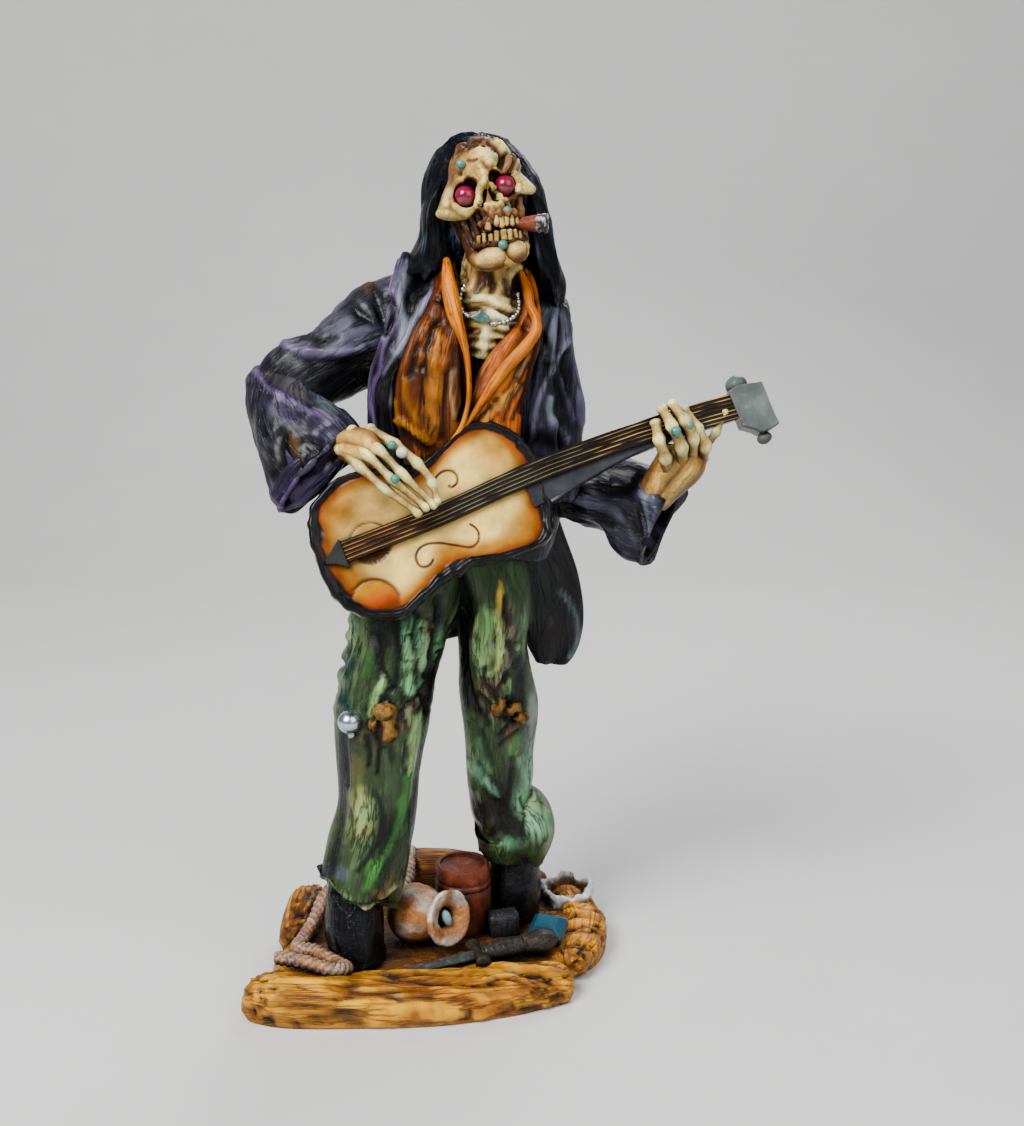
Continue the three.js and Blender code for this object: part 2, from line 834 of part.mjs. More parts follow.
function hair() {
  const lock = (stations) =>
    limb({ stations, rows: 4, sides: 7, round: [3, 2], level: true });
  return [
    limb({
      stations: HAIR,
      rows: 7,
      sides: 13,
      round: [3.46, 2],
      relief: hairWaves,
      level: true,
    }),
    lock(LEFT_LOCK),
    lock(RIGHT_LOCK),
  ];
}

// Guitar: its own axes run along the strings, up across the body, and out of its face

const along = unit(plus(NUT, BRIDGE, -1));
const tilted = [0, -Math.cos(FACE_TILT), Math.sin(FACE_TILT)];
const outward = unit(plus(tilted, along, -dot(tilted, along)));
const upward = cross(outward, along);
// A point given along the strings, up across them, and out from their plane.
const onGuitar = (s, w, h) =>
  plus(plus(plus(BRIDGE, along, s), upward, w), outward, h);

const FACE_DROP = 2.4; // from the strings down to the sound board
const GUITAR_OUTLINE = [
  [57, 24.6],
  [65, 22.2],
  [70, 16.5],
  [72.4, 7],
  [72.4, -4],
  [71, -14],
  [66, -20.4],
  [57, -21.8],
  [46, -21],
  [38, -20],
  [30, -21.2],
  [21, -24.2],
  [12, -26.8],
  [3.5, -24.4],
  [-3.2, -17.4],
  [-6.8, -6],
  [-6.6, 7],
  [-3, 17],
  [5, 22],
  [14, 23.4],
  [23, 21.4],
  [32, 17.8],
  [41, 19],
  [49, 22.6],
];
// The fretboard bows a little: [along, middle, half width]
const FRETBOARD = [
  [2, -0.9, 3.7],
  [36, -0.5, 3.6],
  [58, 1, 3.6],
  [76, 1.7, 3.7],
  [107, 1.2, 3.7],
  [131, -0.7, 4],
  [142, -1.8, 4],
];
const HEAD_START = 141;

// grow swells the whole guitar, for the seat that it leaves in the figure
function guitar(grow = 0) {
  const sides = 28;
  const back = FACE_DROP + GUITAR_DEPTH;
  const middle = [32, -1];
  const rim = 3; // width of the raised rim
  const levels = [
    [-2, -back - grow],
    [0, 2 - back],
    [0, -FACE_DROP - 1],
    [-0.8, -FACE_DROP + 0.8 + grow],
    [0.4 - rim, -FACE_DROP + 0.8 + grow],
    [-rim, -FACE_DROP],
  ];
  const box = levels.map(([inset, h]) =>
    Array.from({ length: sides }, (_, i) => {
      const [s, w] = through(GUITAR_OUTLINE, i / sides, true);
      const reach = Math.hypot(s - middle[0], w - middle[1]);
      const k = 1 + (inset + grow) / reach;
      return onGuitar(middle[0] + (s - middle[0]) * k, middle[1] + (w - middle[1]) * k, h);
    }),
  );
  // A bar of four-sided sections of [along, low, high, back, face].
  const bar = (rows) =>
    skin(
      rows.map(([s, low, high, rear, face], i) => {
        const end = i === 0 ? -grow : i === rows.length - 1 ? grow : 0;
        return [
          onGuitar(s + end, low - grow, rear - grow),
          onGuitar(s + end, high + grow, rear - grow),
          onGuitar(s + end, high + grow, face + grow),
          onGuitar(s + end, low - grow, face + grow),
        ];
      }),
    );
  const knob = (s, w, [long, high, deep]) =>
    limb({
      stations: [-1, 0, 1].map((k) => [
        ...onGuitar(s + k * 0.6 * long, w, -2.4),
        deep + grow,
        high + grow,
      ]),
      rows: 2,
      sides: 6,
      front: upward,
      round: [0.4 * long + grow, 0.4 * long + grow],
    });
  return fuse([
    skin(box),
    bar(FRETBOARD.map(([s, w, half]) => [s, w - half, w + half, -FACE_DROP - 1, 0.2])),
    bar([
      [66, -9.5, 4.5, -9.5, -1.6],
      [80, -7.8, 4.5, -8.5, -1.6],
      [105, -4.4, 4.4, -7, -1.6],
      [HEAD_START, -5.6, 2, -6.5, -1.6],
    ]),
    bar([
      [-4, -2.6, -1.2, -FACE_DROP - 1, -0.6],
      [2.6, -6.4, 3.6, -FACE_DROP - 1, 1],
    ]),
    bar([
      [HEAD_START - 1, -9, 3.6, -6.5, 0.8],
      [HEAD_START + 5, -13.4, 4, -7.5, 1.6],
      [HEAD_START + 10.6, -12.4, 2.8, -7, 0.8],
    ]),
    knob(HEAD_START + 3, 5, [4.6, 3.4, 3.6]),
    knob(HEAD_START + 5, -14.8, [2.6, 2, 2.2]),
  ]);
}

// Stones and beads: [name, place, radius]
const STONES = [
  ["forehead_stud", onHead(-5.5, 9.6, 13.4), STUD_RADIUS],
  ["lip_stud", onHead(5.1, -8.1, 14.8), STUD_RADIUS],
  ["chin_stud", onHead(1, -18, 15.8), STUD_RADIUS],
  ["ring_stone_1", [-5.2, -44.4, 190.4], STUD_RADIUS],
  ["ring_stone_2", [-6.3, -39.2, 200.7], STUD_RADIUS],
  ["ring_stone_3", [85.1, -32.8, 204.4], STUD_RADIUS + 0.3],
  ["ring_stone_4", [89.8, -31, 206.2], STUD_RADIUS - 0.1],
  ["ring_pearl", [-3.2, -39.8, 198.4], STUD_RADIUS + 0.4],
];
const KNEE_BALL_AT = [-25, -15, 100.5];
const KNEE_BALL_RADIUS = 4.2;
const KNEE_CAP_DROP = 4.6;

function kneeBall(grow = 0) {
  const r = KNEE_BALL_RADIUS + grow;
  const cap = plus(KNEE_BALL_AT, [0.6, 0, -KNEE_CAP_DROP]);
  return fuse([
    blob(KNEE_BALL_AT, [r, r, r], null, 10, 6),
    blob(cap, [1.3 + grow, 1.3 + grow, 1.6 + grow], null, 5, 3),
  ]);
}

const GEM_AT = [45.4, -1.4, 15.6];

// A step-cut stone: a broad girdle, a bevel and a flat table, tipped towards the viewer.
function gem(grow = 0) {
  const turn = new THREE.Matrix4()
    .makeRotationZ(-0.35)
    .multiply(new THREE.Matrix4().makeRotationX(0.42));
  const levels = [
    [5.2, 4.2, -4.5],
    [6.6, 5.4, -1],
    [6.6, 5.4, 1.2],
    [4, 3, 4.4],
  ];
  const corners = [
    [-1, -1],
    [1, -1],
    [1, 1],
    [-1, 1],
  ];
  const rings = levels.map(([x, y, z], i) =>
    corners.map(([sx, sy]) => {
      const lift = i === 0 ? -grow : grow;
      const spot = new THREE.Vector3(sx * (x + grow), sy * (y + grow), z + lift);
      return plus(GEM_AT, spot.applyMatrix4(turn).toArray());
    }),
  );
  return skin(rings);
}

const CIGAR_FROM = onHead(6.6, -12.4, 12);
const CIGAR_TO = onHead(16.2, -15, 15);

function cigar(grow = 0) {
  return limb({
    stations: [
      [...CIGAR_FROM, 1.2 + grow, 1.2 + grow],
      [...through([CIGAR_FROM, CIGAR_TO], 0.5), 2.5 + grow, 2.5 + grow],
      [...CIGAR_TO, 2.9 + grow, 2.9 + grow],
    ],
    rows: 3,
    sides: 8,
    front: [0, 0, 1],
    round: [0.5 + grow, 0.5 + grow],
  });
}

const PEBBLE_RADII = [1.7, 1.9, 3.2];
const jarMouth = plus(JAR_MIDDLE, JAR_AXIS, JAR_REACH - 2.2);

function pebble(grow = 0) {
  const turn = new THREE.Matrix4().makeRotationY(-0.35);
  const radii = PEBBLE_RADII.map((r) => r + grow);
  return blob(jarMouth, radii, turn, 6, 4);
}

// Casting and glueing

// A solid as a mesh with its paint.
function mesh(name, made, color, roughness, metalness) {
  const { numProp, numVert, vertProperties, triVerts } = made.getMesh();
  const spots = new Float32Array(numVert * 3);
  for (let i = 0; i < numVert; i++)
    spots.set(vertProperties.subarray(i * numProp, i * numProp + 3), i * 3);
  const geometry = new THREE.BufferGeometry()
    .setAttribute("position", new THREE.BufferAttribute(spots, 3))
    .setIndex(new THREE.BufferAttribute(triVerts, 1));
  geometry.computeVertexNormals();
  const paint = new THREE.MeshStandardMaterial({ color, roughness, metalness });
  const piece = new THREE.Mesh(geometry, paint);
  piece.name = name;
  return piece;
}

const bead = (at, radius, wide = 6, high = 3) =>
  blob(at, [radius, radius, radius], null, wide, high);
const eye = (s) => (grow) => bead(eyeAt(s), EYE_RADIUS + grow, 9, 6);

// What is glued on: [name, solid, colour, roughness, metalness]
const GLUED = [
  ["guitar", guitar, 0xd8a860, 0.4, 0],
  ["eye_left", eye(-1), 0xa01c3c, 0.08, 0],
  ["eye_right", eye(1), 0xa01c3c, 0.08, 0],
  ["cigar", cigar, 0x8c3c1e, 0.6, 0],
  ["knee_ball", kneeBall, 0xb8c8d0, 0.15, 0.9],
  ["base_gem", gem, 0x10505c, 0.15, 0],
  ["jar_pebble", pebble, 0x9cb4b4, 0.3, 0],
  ...STONES.map(([name, at, radius]) => [
    name,
    (grow) => bead(at, radius + grow),
    name === "ring_pearl" ? 0xd8cca8 : 0x3f9890,
    0.25,
    0,
  ]),
];

// The one casting, with a seat cut for each glued piece and a flat underside.
function figure() {
  const cast = fuse([
    base(),
    ...timbers(),
    rope(ROPE_PATH),
    rope(REAR_ROPE),
    jar(),
    barrel(),
    ...dagger(),
    knurledBlock(),
    tornShell(),
    ...legs(),
    ...body(),
    ...cloth(),
    ...sleeves(),
    ...hands(),
    skull(),
    ...hair(),
  ]);
  const seated = GLUED.reduce((whole, [, make]) => whole.subtract(make(SEAT_GAP)), cast);
  const trimmed = seated.trimByPlane([0, 0, 1], 0);
  // The casting itself, without the crumbs that the seats leave in the folds of the shirt
  const bulk = (part) => part.volume();
  return trimmed.decompose().sort((a, b) => bulk(b) - bulk(a))[0];
}

const group = new THREE.Group();
group.add(mesh("figure", figure(), 0x5a5650, 0.5, 0));
for (const [name, make, color, roughness, metalness] of GLUED)
  group.add(mesh(name, make(0), color, roughness, metalness));

export default group;
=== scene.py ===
# %% [markdown]
# # A skeletal guitarist, cast in resin and painted
#
# The real object is a shelf figurine, 300 mm tall. Almost all of it is one resin casting: the base, the
# clothes, the bones, the hair and the small things on the base were carved in clay, moulded and cast
# together. The guitar is a second casting, and a few beads and stones are glued on. This script gives the
# plain CAD model its carving and its paint.

import json
import math

import bpy
import numpy as np
from mathutils import Matrix

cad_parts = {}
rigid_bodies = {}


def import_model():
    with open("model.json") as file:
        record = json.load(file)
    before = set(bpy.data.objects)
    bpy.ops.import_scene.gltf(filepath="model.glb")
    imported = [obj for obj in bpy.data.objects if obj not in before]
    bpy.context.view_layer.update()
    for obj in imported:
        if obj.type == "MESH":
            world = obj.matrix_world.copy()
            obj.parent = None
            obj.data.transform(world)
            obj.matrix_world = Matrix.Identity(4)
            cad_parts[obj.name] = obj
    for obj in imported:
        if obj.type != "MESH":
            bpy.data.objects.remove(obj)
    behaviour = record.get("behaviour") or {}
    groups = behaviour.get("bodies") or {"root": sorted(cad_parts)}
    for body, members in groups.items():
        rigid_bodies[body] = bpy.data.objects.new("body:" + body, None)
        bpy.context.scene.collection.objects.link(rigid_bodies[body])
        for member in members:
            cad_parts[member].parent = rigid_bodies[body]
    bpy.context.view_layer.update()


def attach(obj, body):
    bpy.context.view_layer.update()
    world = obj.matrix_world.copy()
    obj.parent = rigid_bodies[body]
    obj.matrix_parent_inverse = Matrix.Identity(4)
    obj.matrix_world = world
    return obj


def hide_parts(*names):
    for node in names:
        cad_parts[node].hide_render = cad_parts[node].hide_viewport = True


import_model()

MM = 0.001
MM_PER_METRE = 1000
TAU = 2 * math.pi

# %% [markdown]
# ## The camera comes first
#
# A camera that stands where the photographer stood lets every later picture be laid over the photograph.
# The distance was found from how strongly the base spreads below the horizon; the lens then follows from
# the figure's height in the frame. A 36 mm sensor on the long side makes the lens a familiar number.

# %% Camera
CAMERA_PLACE = (0.032, -0.486, 0.2515)
CAMERA_DIP = math.radians(11.3)
LENS_MM = 44.76
SENSOR_MM = 36
NEAREST_SEEN = 0.01


def placed(name, data):
    """A new object that shows the data, put into the scene."""
    made = bpy.data.objects.new(name, data)
    bpy.context.collection.objects.link(made)
    return made


camera = placed("camera", bpy.data.cameras.new("camera"))
camera.location = CAMERA_PLACE
camera.rotation_euler = (math.pi / 2 - CAMERA_DIP, 0, 0)
camera.data.lens = LENS_MM
camera.data.sensor_width = SENSOR_MM
camera.data.clip_start = NEAREST_SEEN
bpy.context.scene.camera = camera
print("camera at", CAMERA_PLACE, "with a lens of", LENS_MM, "mm")

# %% [markdown]
# ## Curves and noise
#
# Carved forms have no straight edges, so two tools do nearly all the work. A Catmull-Rom curve runs
# smoothly through rows of numbers, which may be places and widths at once. Value noise gives the uneven
# hand of the carver: heights hashed from the corners of a lattice, blended between them, and the same on
# every run because nothing is drawn at random.

# %% Smooth steps and curves
def through(rows, t, closed=False):
    """Uniform Catmull-Rom: each value is the cubic blend of its four neighbouring rows, t from 0 to 1."""
    rows = np.asarray(rows, float)
    count = len(rows) if closed else len(rows) - 1
    t = np.asarray(t, float)
    at = (t % 1) * count if closed else np.clip(t, 0, 1) * count
    i = np.minimum(at.astype(int), count - 1)
    f = (at - i)[..., None]

    def row(k):
        return rows[k % len(rows)] if closed else rows[np.clip(k, 0, len(rows) - 1)]

    p, q, r, s = row(i - 1), row(i), row(i + 1), row(i + 2)
    return 0.5 * (
        2 * q + (r - p) * f + (2 * p - 5 * q + 4 * r - s) * f**2 + (3 * q - p - 3 * r + s) * f**3
    )


def step(low, high, x):
    """0 below low, 1 above high, and the curve 3 f² - 2 f³ between."""
    f = np.clip((x - low) / (high - low), 0, 1)
    return f * f * (3 - 2 * f)


def bump(x, middle, width):
    """A bell: e to the power of minus ((x - middle) / width)²."""
    return np.exp(-(((x - middle) / width) ** 2))


print("a quarter of the way up a step:", step(0, 1, 0.25))

# %% Noise
LATTICE_PRIMES = (73856093, 19349663, 83492791)
SEED_STEP = 40503
SEED_START = 977
HASH_MIX = 1274126177
HASH_TOP = 0xFFFF


def noise(points, size, seed=0):
    """Value noise from -1 to 1: hashed corner heights of cubes of that size, blended by smooth steps."""
    q = np.asarray(points, float) / np.asarray(size, float)
    cell = np.floor(q).astype(np.int64)
    f = q - cell
    f = f * f * (3 - 2 * f)
    total = np.zeros(q.shape[:-1])
    for corner in np.ndindex(2, 2, 2):
        x, y, z = np.moveaxis(cell + corner, -1, 0)
        h = (x * LATTICE_PRIMES[0]) ^ (y * LATTICE_PRIMES[1]) ^ (z * LATTICE_PRIMES[2])
        h = h ^ (seed * SEED_STEP + SEED_START)
        h = (h ^ (h >> 13)) * HASH_MIX
        h = ((h ^ (h >> 16)) & HASH_TOP) / (0.5 * HASH_TOP) - 1
        total += h * np.prod(np.where(corner, f, 1 - f), axis=-1)
    return total


def patchy(points, size, seed=0):
    """The same noise carried to the range 0 to 1, to share out two colours."""
    return 0.5 + 0.5 * noise(points, size, seed)


def rough(points, size, seed=0, layers=3):
    """Layers of value noise, each half as coarse and half as high as the one before."""
    size = np.asarray(size, float)
    return sum(noise(points, size / 2**k, seed + k) / 2**k for k in range(layers))


def cracks(points, size, width, seed=0):
    """1 along the thin lines where the noise crosses zero, falling to 0 over the width."""
    return bump(noise(points, size, seed) + 0.4 * noise(points, np.asarray(size) / 3, seed + 9), 0, width)


def unit(a):
    """Vectors scaled to a length of 1."""
    return a / (np.linalg.norm(a, axis=-1, keepdims=True) + 1e-12)


print("noise at one place:", noise([[3, 4, 5]], 7))

# %% Colours and blends
# Undoes the paling of bright paint in the default film curve
FILM = np.array([[1.25, -0.33, 0.04], [-0.09, 1.28, -0.18], [-0.02, -0.23, 1.35]])
FULL_LIGHT = 0.6
DARKEST = 0.0015


def colour(red, green, blue):
    """A colour seen on the screen, 0 to 255, as the paint that shows it: the screen's standard curve gives
    its light, and the brighter that is, the more of the film matrix is added."""
    c = np.array([red, green, blue]) / 255
    light = np.where(c <= 0.04045, c / 12.92, ((c + 0.055) / 1.055) ** 2.4)
    bright = min(1, light.max() / FULL_LIGHT)
    return np.clip(light + bright * (FILM @ light - light), DARKEST, 1)


def between(a, b, share):
    """A blend of two colours or values; share is an array from 0 to 1."""
    share = np.asarray(share)[..., None]
    return a * (1 - share) + b * share


print("a bright red as paint:", colour(200, 30, 30))

# %% [markdown]
# ## Skins
#
# Every surface is a grid: rows along a path and points around it. Its outward direction comes from the
# cross product of the steps along and around, and the carving is a height pressed along it. Three things
# are kept at each point: where it is, the height of the carving, and its paint colour. The painter's
# wash settles where the height is low, and the dry brush catches where it is high, so the paint can
# follow the carving later.

# %% Normals and faces of a grid
def outward(grid):
    """Unit normals: the step along the rows crossed with the step around the ring, turned outwards."""
    around = np.roll(grid, -1, axis=1) - np.roll(grid, 1, axis=1)
    normals = unit(np.cross(np.gradient(grid, axis=0), around))
    away = grid - grid.mean(axis=1, keepdims=True)
    return normals * np.sign((normals * away).sum())


def weave(rows, sides):
    """Four-sided faces of a grid whose last column meets its first."""
    row = np.arange(rows - 1)[:, None] * sides
    here = np.arange(sides)[None, :]
    there = (here + 1) % sides
    return np.stack([row + here, row + there, row + sides + there, row + sides + here], -1).reshape(-1, 4)


def fans(rows, sides):
    """Three-sided faces from the first and last ring to two more points, one at each end."""
    here = np.arange(sides)
    there = (here + 1) % sides
    last = (rows - 1) * sides
    top = np.stack([there, here, np.full(sides, rows * sides)], -1)
    bottom = np.stack([last + here, last + there, np.full(sides, rows * sides + 1)], -1)
    return np.concatenate([top, bottom])


print("faces of a closed grid of 4 rows by 6:", len(weave(4, 6)) + len(fans(4, 6)))

# %% Keeping a skin
# Painted shade and painted light: every skin is darkened on faces that look down and brightened on faces
# that look up
PAINTED_SHADE_BELOW = 0.5  # how bright the paint is left on faces that look down
PAINTED_LIGHT_ABOVE = 0.55  # how much brighter it is on faces that look up
SKIN_SPACING = 31  # mm between the paint patterns of one skin and of the next
casting = []  # one entry for each surface of the casting


def straightened(grid):
    """Where each point would lie if the middle line of its limb were straight and ran along z."""
    middle = grid.mean(axis=1)
    run = np.concatenate([[0], np.cumsum(np.linalg.norm(np.diff(middle, axis=0), axis=-1))])
    reach = np.linalg.norm(grid - middle[:, None], axis=-1)
    angle = np.linspace(0, TAU, grid.shape[1], endpoint=False)
    return np.stack([reach * np.cos(angle), reach * np.sin(angle), run[:, None] + 0 * reach], -1)


def keep(store, grid, paint, tint, relief=0.0, lay=None):
    """Presses the relief (mm) into a grid along its normals and stores it closed, faces out. The lay is
    the place that the paint's streaks are measured in."""
    rows, sides = grid.shape[:2]
    relief = np.broadcast_to(relief, (rows, sides))
    lay = straightened(grid) + [0, 0, SKIN_SPACING * len(store)] if lay is None else lay
    lay = np.concatenate([lay.reshape(-1, 3), lay[:1].mean(1), lay[-1:].mean(1)])
    normals = outward(grid)
    # Painted shade on faces that look down, painted light on faces that look up
    tint = tint * (PAINTED_SHADE_BELOW + PAINTED_LIGHT_ABOVE * step(-0.8, 0.6, normals[..., 2:]))
    grid = grid + normals * relief[..., None]
    ends = np.stack([grid[0].mean(0), grid[-1].mean(0)])
    points = np.concatenate([grid.reshape(-1, 3), ends])
    tints = np.broadcast_to(tint, (rows, sides, 3)).reshape(-1, 3)
    tints = np.concatenate([tints, tints[:1], tints[-1:]])
    reliefs = np.concatenate([relief.ravel(), [relief[0].mean(), relief[-1].mean()]])
    quads = weave(rows, sides)
    tris = fans(rows, sides)
    a, b, c = (points[tris[:, k]] for k in range(3))
    d, e, f, g = (points[quads[:, k]] for k in range(4))
    six = (a * np.cross(b, c)).sum() + (d * (np.cross(e, f) + np.cross(f, g))).sum()
    if six < 0:
        quads, tris = quads[:, ::-1], tris[:, ::-1]
    store.append((points, quads, tris, paint, tints, reliefs, lay))


print("skins kept:", len(casting))

# %% Building a piece
FACET_ANGLE = 0.35
FACETED = ("base_gem_bead",)


def build(name, store):
    """Joins the stored skins into one mesh object, with a material for each paint in it."""
    order = list(dict.fromkeys(skin[3] for skin in store))
    starts = np.cumsum([0] + [len(skin[0]) for skin in store])
    points = np.concatenate([skin[0] for skin in store]) * MM
    points[:, 2] = np.maximum(points[:, 2], 0)
    quads = np.concatenate([skin[1] + start for skin, start in zip(store, starts)])
    tris = np.concatenate([skin[2] + start for skin, start in zip(store, starts)])
    slots = [np.full(len(skin[k]), order.index(skin[3])) for k in (1, 2) for skin in store]
    mesh = bpy.data.meshes.new(name)
    mesh.vertices.add(len(points))
    mesh.vertices.foreach_set("co", points.ravel())
    corners = np.concatenate([quads.ravel(), tris.ravel()])
    mesh.loops.add(len(corners))
    mesh.loops.foreach_set("vertex_index", corners)
    firsts = np.concatenate([np.arange(len(quads)) * 4, len(quads) * 4 + np.arange(len(tris)) * 3])
    mesh.polygons.add(len(firsts))
    mesh.polygons.foreach_set("loop_start", firsts)
    mesh.polygons.foreach_set("material_index", np.concatenate(slots))
    mesh.update(calc_edges=True)
    mesh.shade_smooth()
    tint = mesh.attributes.new("tint", "FLOAT_COLOR", "POINT")
    rgb = np.concatenate([skin[4] for skin in store])
    tint.data.foreach_set("color", np.c_[rgb, np.ones(len(rgb))].ravel())
    relief = mesh.attributes.new("relief", "FLOAT", "POINT")
    relief.data.foreach_set("value", np.concatenate([skin[5] for skin in store]))
    lay = mesh.attributes.new("lay", "FLOAT_VECTOR", "POINT")
    lay.data.foreach_set("vector", (np.concatenate([skin[6] for skin in store]) * MM).ravel())
    if name in FACETED:
        mesh.set_sharp_from_angle(angle=FACET_ANGLE)
    for paint in order:
        mesh.materials.append(paints[paint])
    print(name, "has", 2 * len(quads) + len(tris), "triangles in", len(store), "skins")
    return placed(name, mesh)


print("pieces with sharp facets:", FACETED)

# %% [markdown]
# ## Limbs
#
# A limb carries an oval section along a curve: legs, sleeves, fingers, timbers and lapels are all limbs.
# A station is a place with a half width and a half depth. A high "square" turns the oval into a strap,
# and "bend" bows the strap's edges towards the viewer, as a lapel does.

# %% The limb
FINENESS = 0.845  # scales every limb's rows and sides, to keep the casting under 200,000 triangles
DOME_ROWS = 3


def limb(stations, rows, sides, front=(0, -1, 0), dome=(0, 0), square=2.0, bend=0.0, level=False, crowd=0.5):
    """Rings along a path: middle + side * wide * c + ahead * (deep * s + bend * c²), where c and s are the
    cosine and sine of the angle with their size raised to 2 / square. The angles crowd to the front,
    angle = u + crowd cos u, where the carving is finest. A dome closes an end in a quarter circle of that
    height, and level keeps the rings flat. Returns grid, angle and t."""
    stations = np.asarray(stations, float)
    rows, sides = round(rows * FINENESS), round(sides * FINENESS)
    t = np.linspace(0, 1, rows)
    scale = np.ones(rows)
    shift = np.zeros(rows)
    turns = np.linspace(0.15, 1, DOME_ROWS + 1)[:-1] * math.pi / 2
    if dome[0]:
        t = np.concatenate([np.zeros(DOME_ROWS), t])
        scale = np.concatenate([np.sin(turns), scale])
        shift = np.concatenate([-dome[0] * np.cos(turns), shift])
    if dome[1]:
        t = np.concatenate([t, np.ones(DOME_ROWS)])
        scale = np.concatenate([scale, np.sin(turns[::-1])])
        shift = np.concatenate([shift, dome[1] * np.cos(turns[::-1])])
    here = through(stations, t)
    if level:
        along = np.broadcast_to([0.0, 0, -1], (len(t), 3))
    else:
        along = unit(through(stations, t + 0.01)[:, :3] - through(stations, t - 0.01)[:, :3])
    front = np.asarray(front, float)
    ahead = unit(front - along * (along @ front)[:, None])
    side = np.cross(along, ahead)
    angle = np.linspace(0, TAU, sides, endpoint=False)
    angle = angle + crowd * np.cos(angle)
    c, s = np.cos(angle), np.sin(angle)
    cs = np.sign(c) * np.abs(c) ** (2 / square)
    sn = np.sign(s) * np.abs(s) ** (2 / square)
    across = scale[:, None] * here[:, 3, None] * cs
    forward = scale[:, None] * (here[:, 4, None] * sn + bend * cs**2)
    middle = here[:, :3] + along * shift[:, None]
    grid = middle[:, None] + side[:, None] * across[..., None] + ahead[:, None] * forward[..., None]
    t_grid = np.broadcast_to(t[:, None], across.shape)
    angle_grid = np.broadcast_to(angle[None, :], across.shape)
    return grid, angle_grid, t_grid


print("rows made for every 100 asked for:", round(100 * FINENESS))

# %% Balls, spots and brush strokes
POLE_GAP = 0.06
BRUSH_BLUR = 0.3


def ball(middle, radii, wide, high):
    """An ellipsoid grid: rings of sine of latitude, from just under one pole to just above the other."""
    lat = np.linspace(POLE_GAP, math.pi - POLE_GAP, high)[:, None]
    lon = np.linspace(0, TAU, wide, endpoint=False)[None, :]
    grid = np.stack([np.sin(lat) * np.cos(lon), np.sin(lat) * np.sin(lon), np.cos(lat) + 0 * lon], -1)
    return grid * radii + np.asarray(middle)


def spots(points, places):
    """A mask from named places: the highest of the bells exp(-(distance / radius)²); each place is
    [x, z, radius in x, radius in z] in the picture's plane."""
    x, z = points[..., 0], points[..., 2]
    places = np.reshape(places, (-1, 4))
    masks = [np.exp(-(((x - a) / ra) ** 2) - ((z - b) / rb) ** 2) for a, b, ra, rb in places]
    return np.max(masks, axis=0)


def paint_light_and_shade_strokes(grid, tint, rows, facing=None, dim=1.0):
    """Strokes that carve and colour: dark ones paint shade into creases and pale ones paint highlights on
    folds, beside marks in the paint's own colour. Each row holds red, green, blue, height, half width and
    the two coordinates of each place on the curve. Paint and height both fade from the curve as
    exp(-(distance / (half width + 0.3))³), on the side that faces the viewer."""
    x, z = grid[..., 0, None], grid[..., 2, None]
    seen = step(0.4, -0.25, outward(grid)[..., 1]) if facing is None else facing
    height = np.zeros(grid.shape[:-1])
    for red, green, blue, high, half, *curve in rows:
        dots = through(np.reshape(curve, (-1, 2)), np.linspace(0, 1, 2 * len(curve)))
        (a, b), (c, d) = dots[:-1].T, np.diff(dots, axis=0).T
        k = np.clip(((x - a) * c + (z - b) * d) / (c**2 + d**2), 0, 1)
        gap = np.min(np.hypot(x - a - k * c, z - b - k * d), axis=-1)
        bell = np.exp(-((gap / (half + BRUSH_BLUR)) ** 3)) * seen
        tint = between(tint, colour(red, green, blue) * dim, bell)
        height = height + high * bell
    return tint, height


print("reach of a ball of radius 2:", ball((0, 0, 0), (2, 2, 2), wide=12, high=9).max(axis=(0, 1)))

# %% [markdown]
# ## The base
#
# The base is carved as weathered timber: a slab, a split log along its front, a ridged block on the left,
# a notched plank on the right and stumps behind. A real one would be clay scored with a wire loop. Ridged
# noise, one minus twice its size, gives the same sharp crests when it is drawn out along the grain.

# %% The slab
OCHRE = colour(214, 142, 58)
DARK_OCHRE = colour(146, 82, 34)
BROWN = colour(92, 58, 34)
# A dark brown-grey for cracks and joints, and for painted shade in the jar's mouth and below the ribs
DARK_CRACK_AND_SHADE = colour(34, 28, 26)
GROUND = 10
BASE_OUTLINE = [
    [-54, -38], [-46, -41], [-22, -42], [4, -40.5], [27, -35], [50, -24], [51, -12], [62, -2], [68, 14],
    [67, 32], [56, 47], [40, 56], [10, 57], [-18, 52], [-38, 36], [-55, 24], [-53, 4], [-55, -14],
]


def grain(points, size, seed=0):
    """Carved grain: ridged noise, 1 - 2 |noise|, at two scales; an uneven size draws it out."""
    size = np.asarray(size, float)
    coarse = 1 - 2 * np.abs(noise(points, size, seed))
    fine = 1 - 2 * np.abs(noise(points, size * [0.6, 0.4, 0.4], seed + 5))
    return 0.7 * coarse + 0.3 * fine


def slab():
    """The outline scaled by steps: up the worn edge and in over the top, ending near the middle."""
    rows = 26
    sides = 90
    outline = through(BASE_OUTLINE, np.linspace(0, 1, sides, endpoint=False), closed=True)
    profile = [
        [1, 0], [1, 1.2], [1.004, 4], [0.99, 7.6], [0.945, 9.6], [0.9, GROUND], [0.6, GROUND], [0.3, GROUND],
        [0.03, GROUND],
    ]
    scale, z = through(profile, np.linspace(0, 1, rows)).T
    grid = np.empty((rows, sides, 3))
    grid[..., :2] = outline[None] * scale[:, None, None]
    grid[..., 2] = z[:, None]
    split = cracks(grid, (20, 5, 9), 0.08, 2)
    relief = 0.55 * grain(grid, (14, 3.4, 3), 1) - 0.8 * split
    relief = relief * step(0.3, 3, grid[..., 2])
    inner = step(0.93, 0.8, scale)[:, None] * np.ones((1, sides))
    tint = between(between(DARK_OCHRE, OCHRE, patchy(grid, 9, 3)), BROWN * 0.8, 0.85 * inner)
    tint = between(tint, DARK_CRACK_AND_SHADE * 0.7, 0.8 * split)
    keep(casting, grid, "timber", tint, relief)


slab()
print("with the slab:", len(casting))

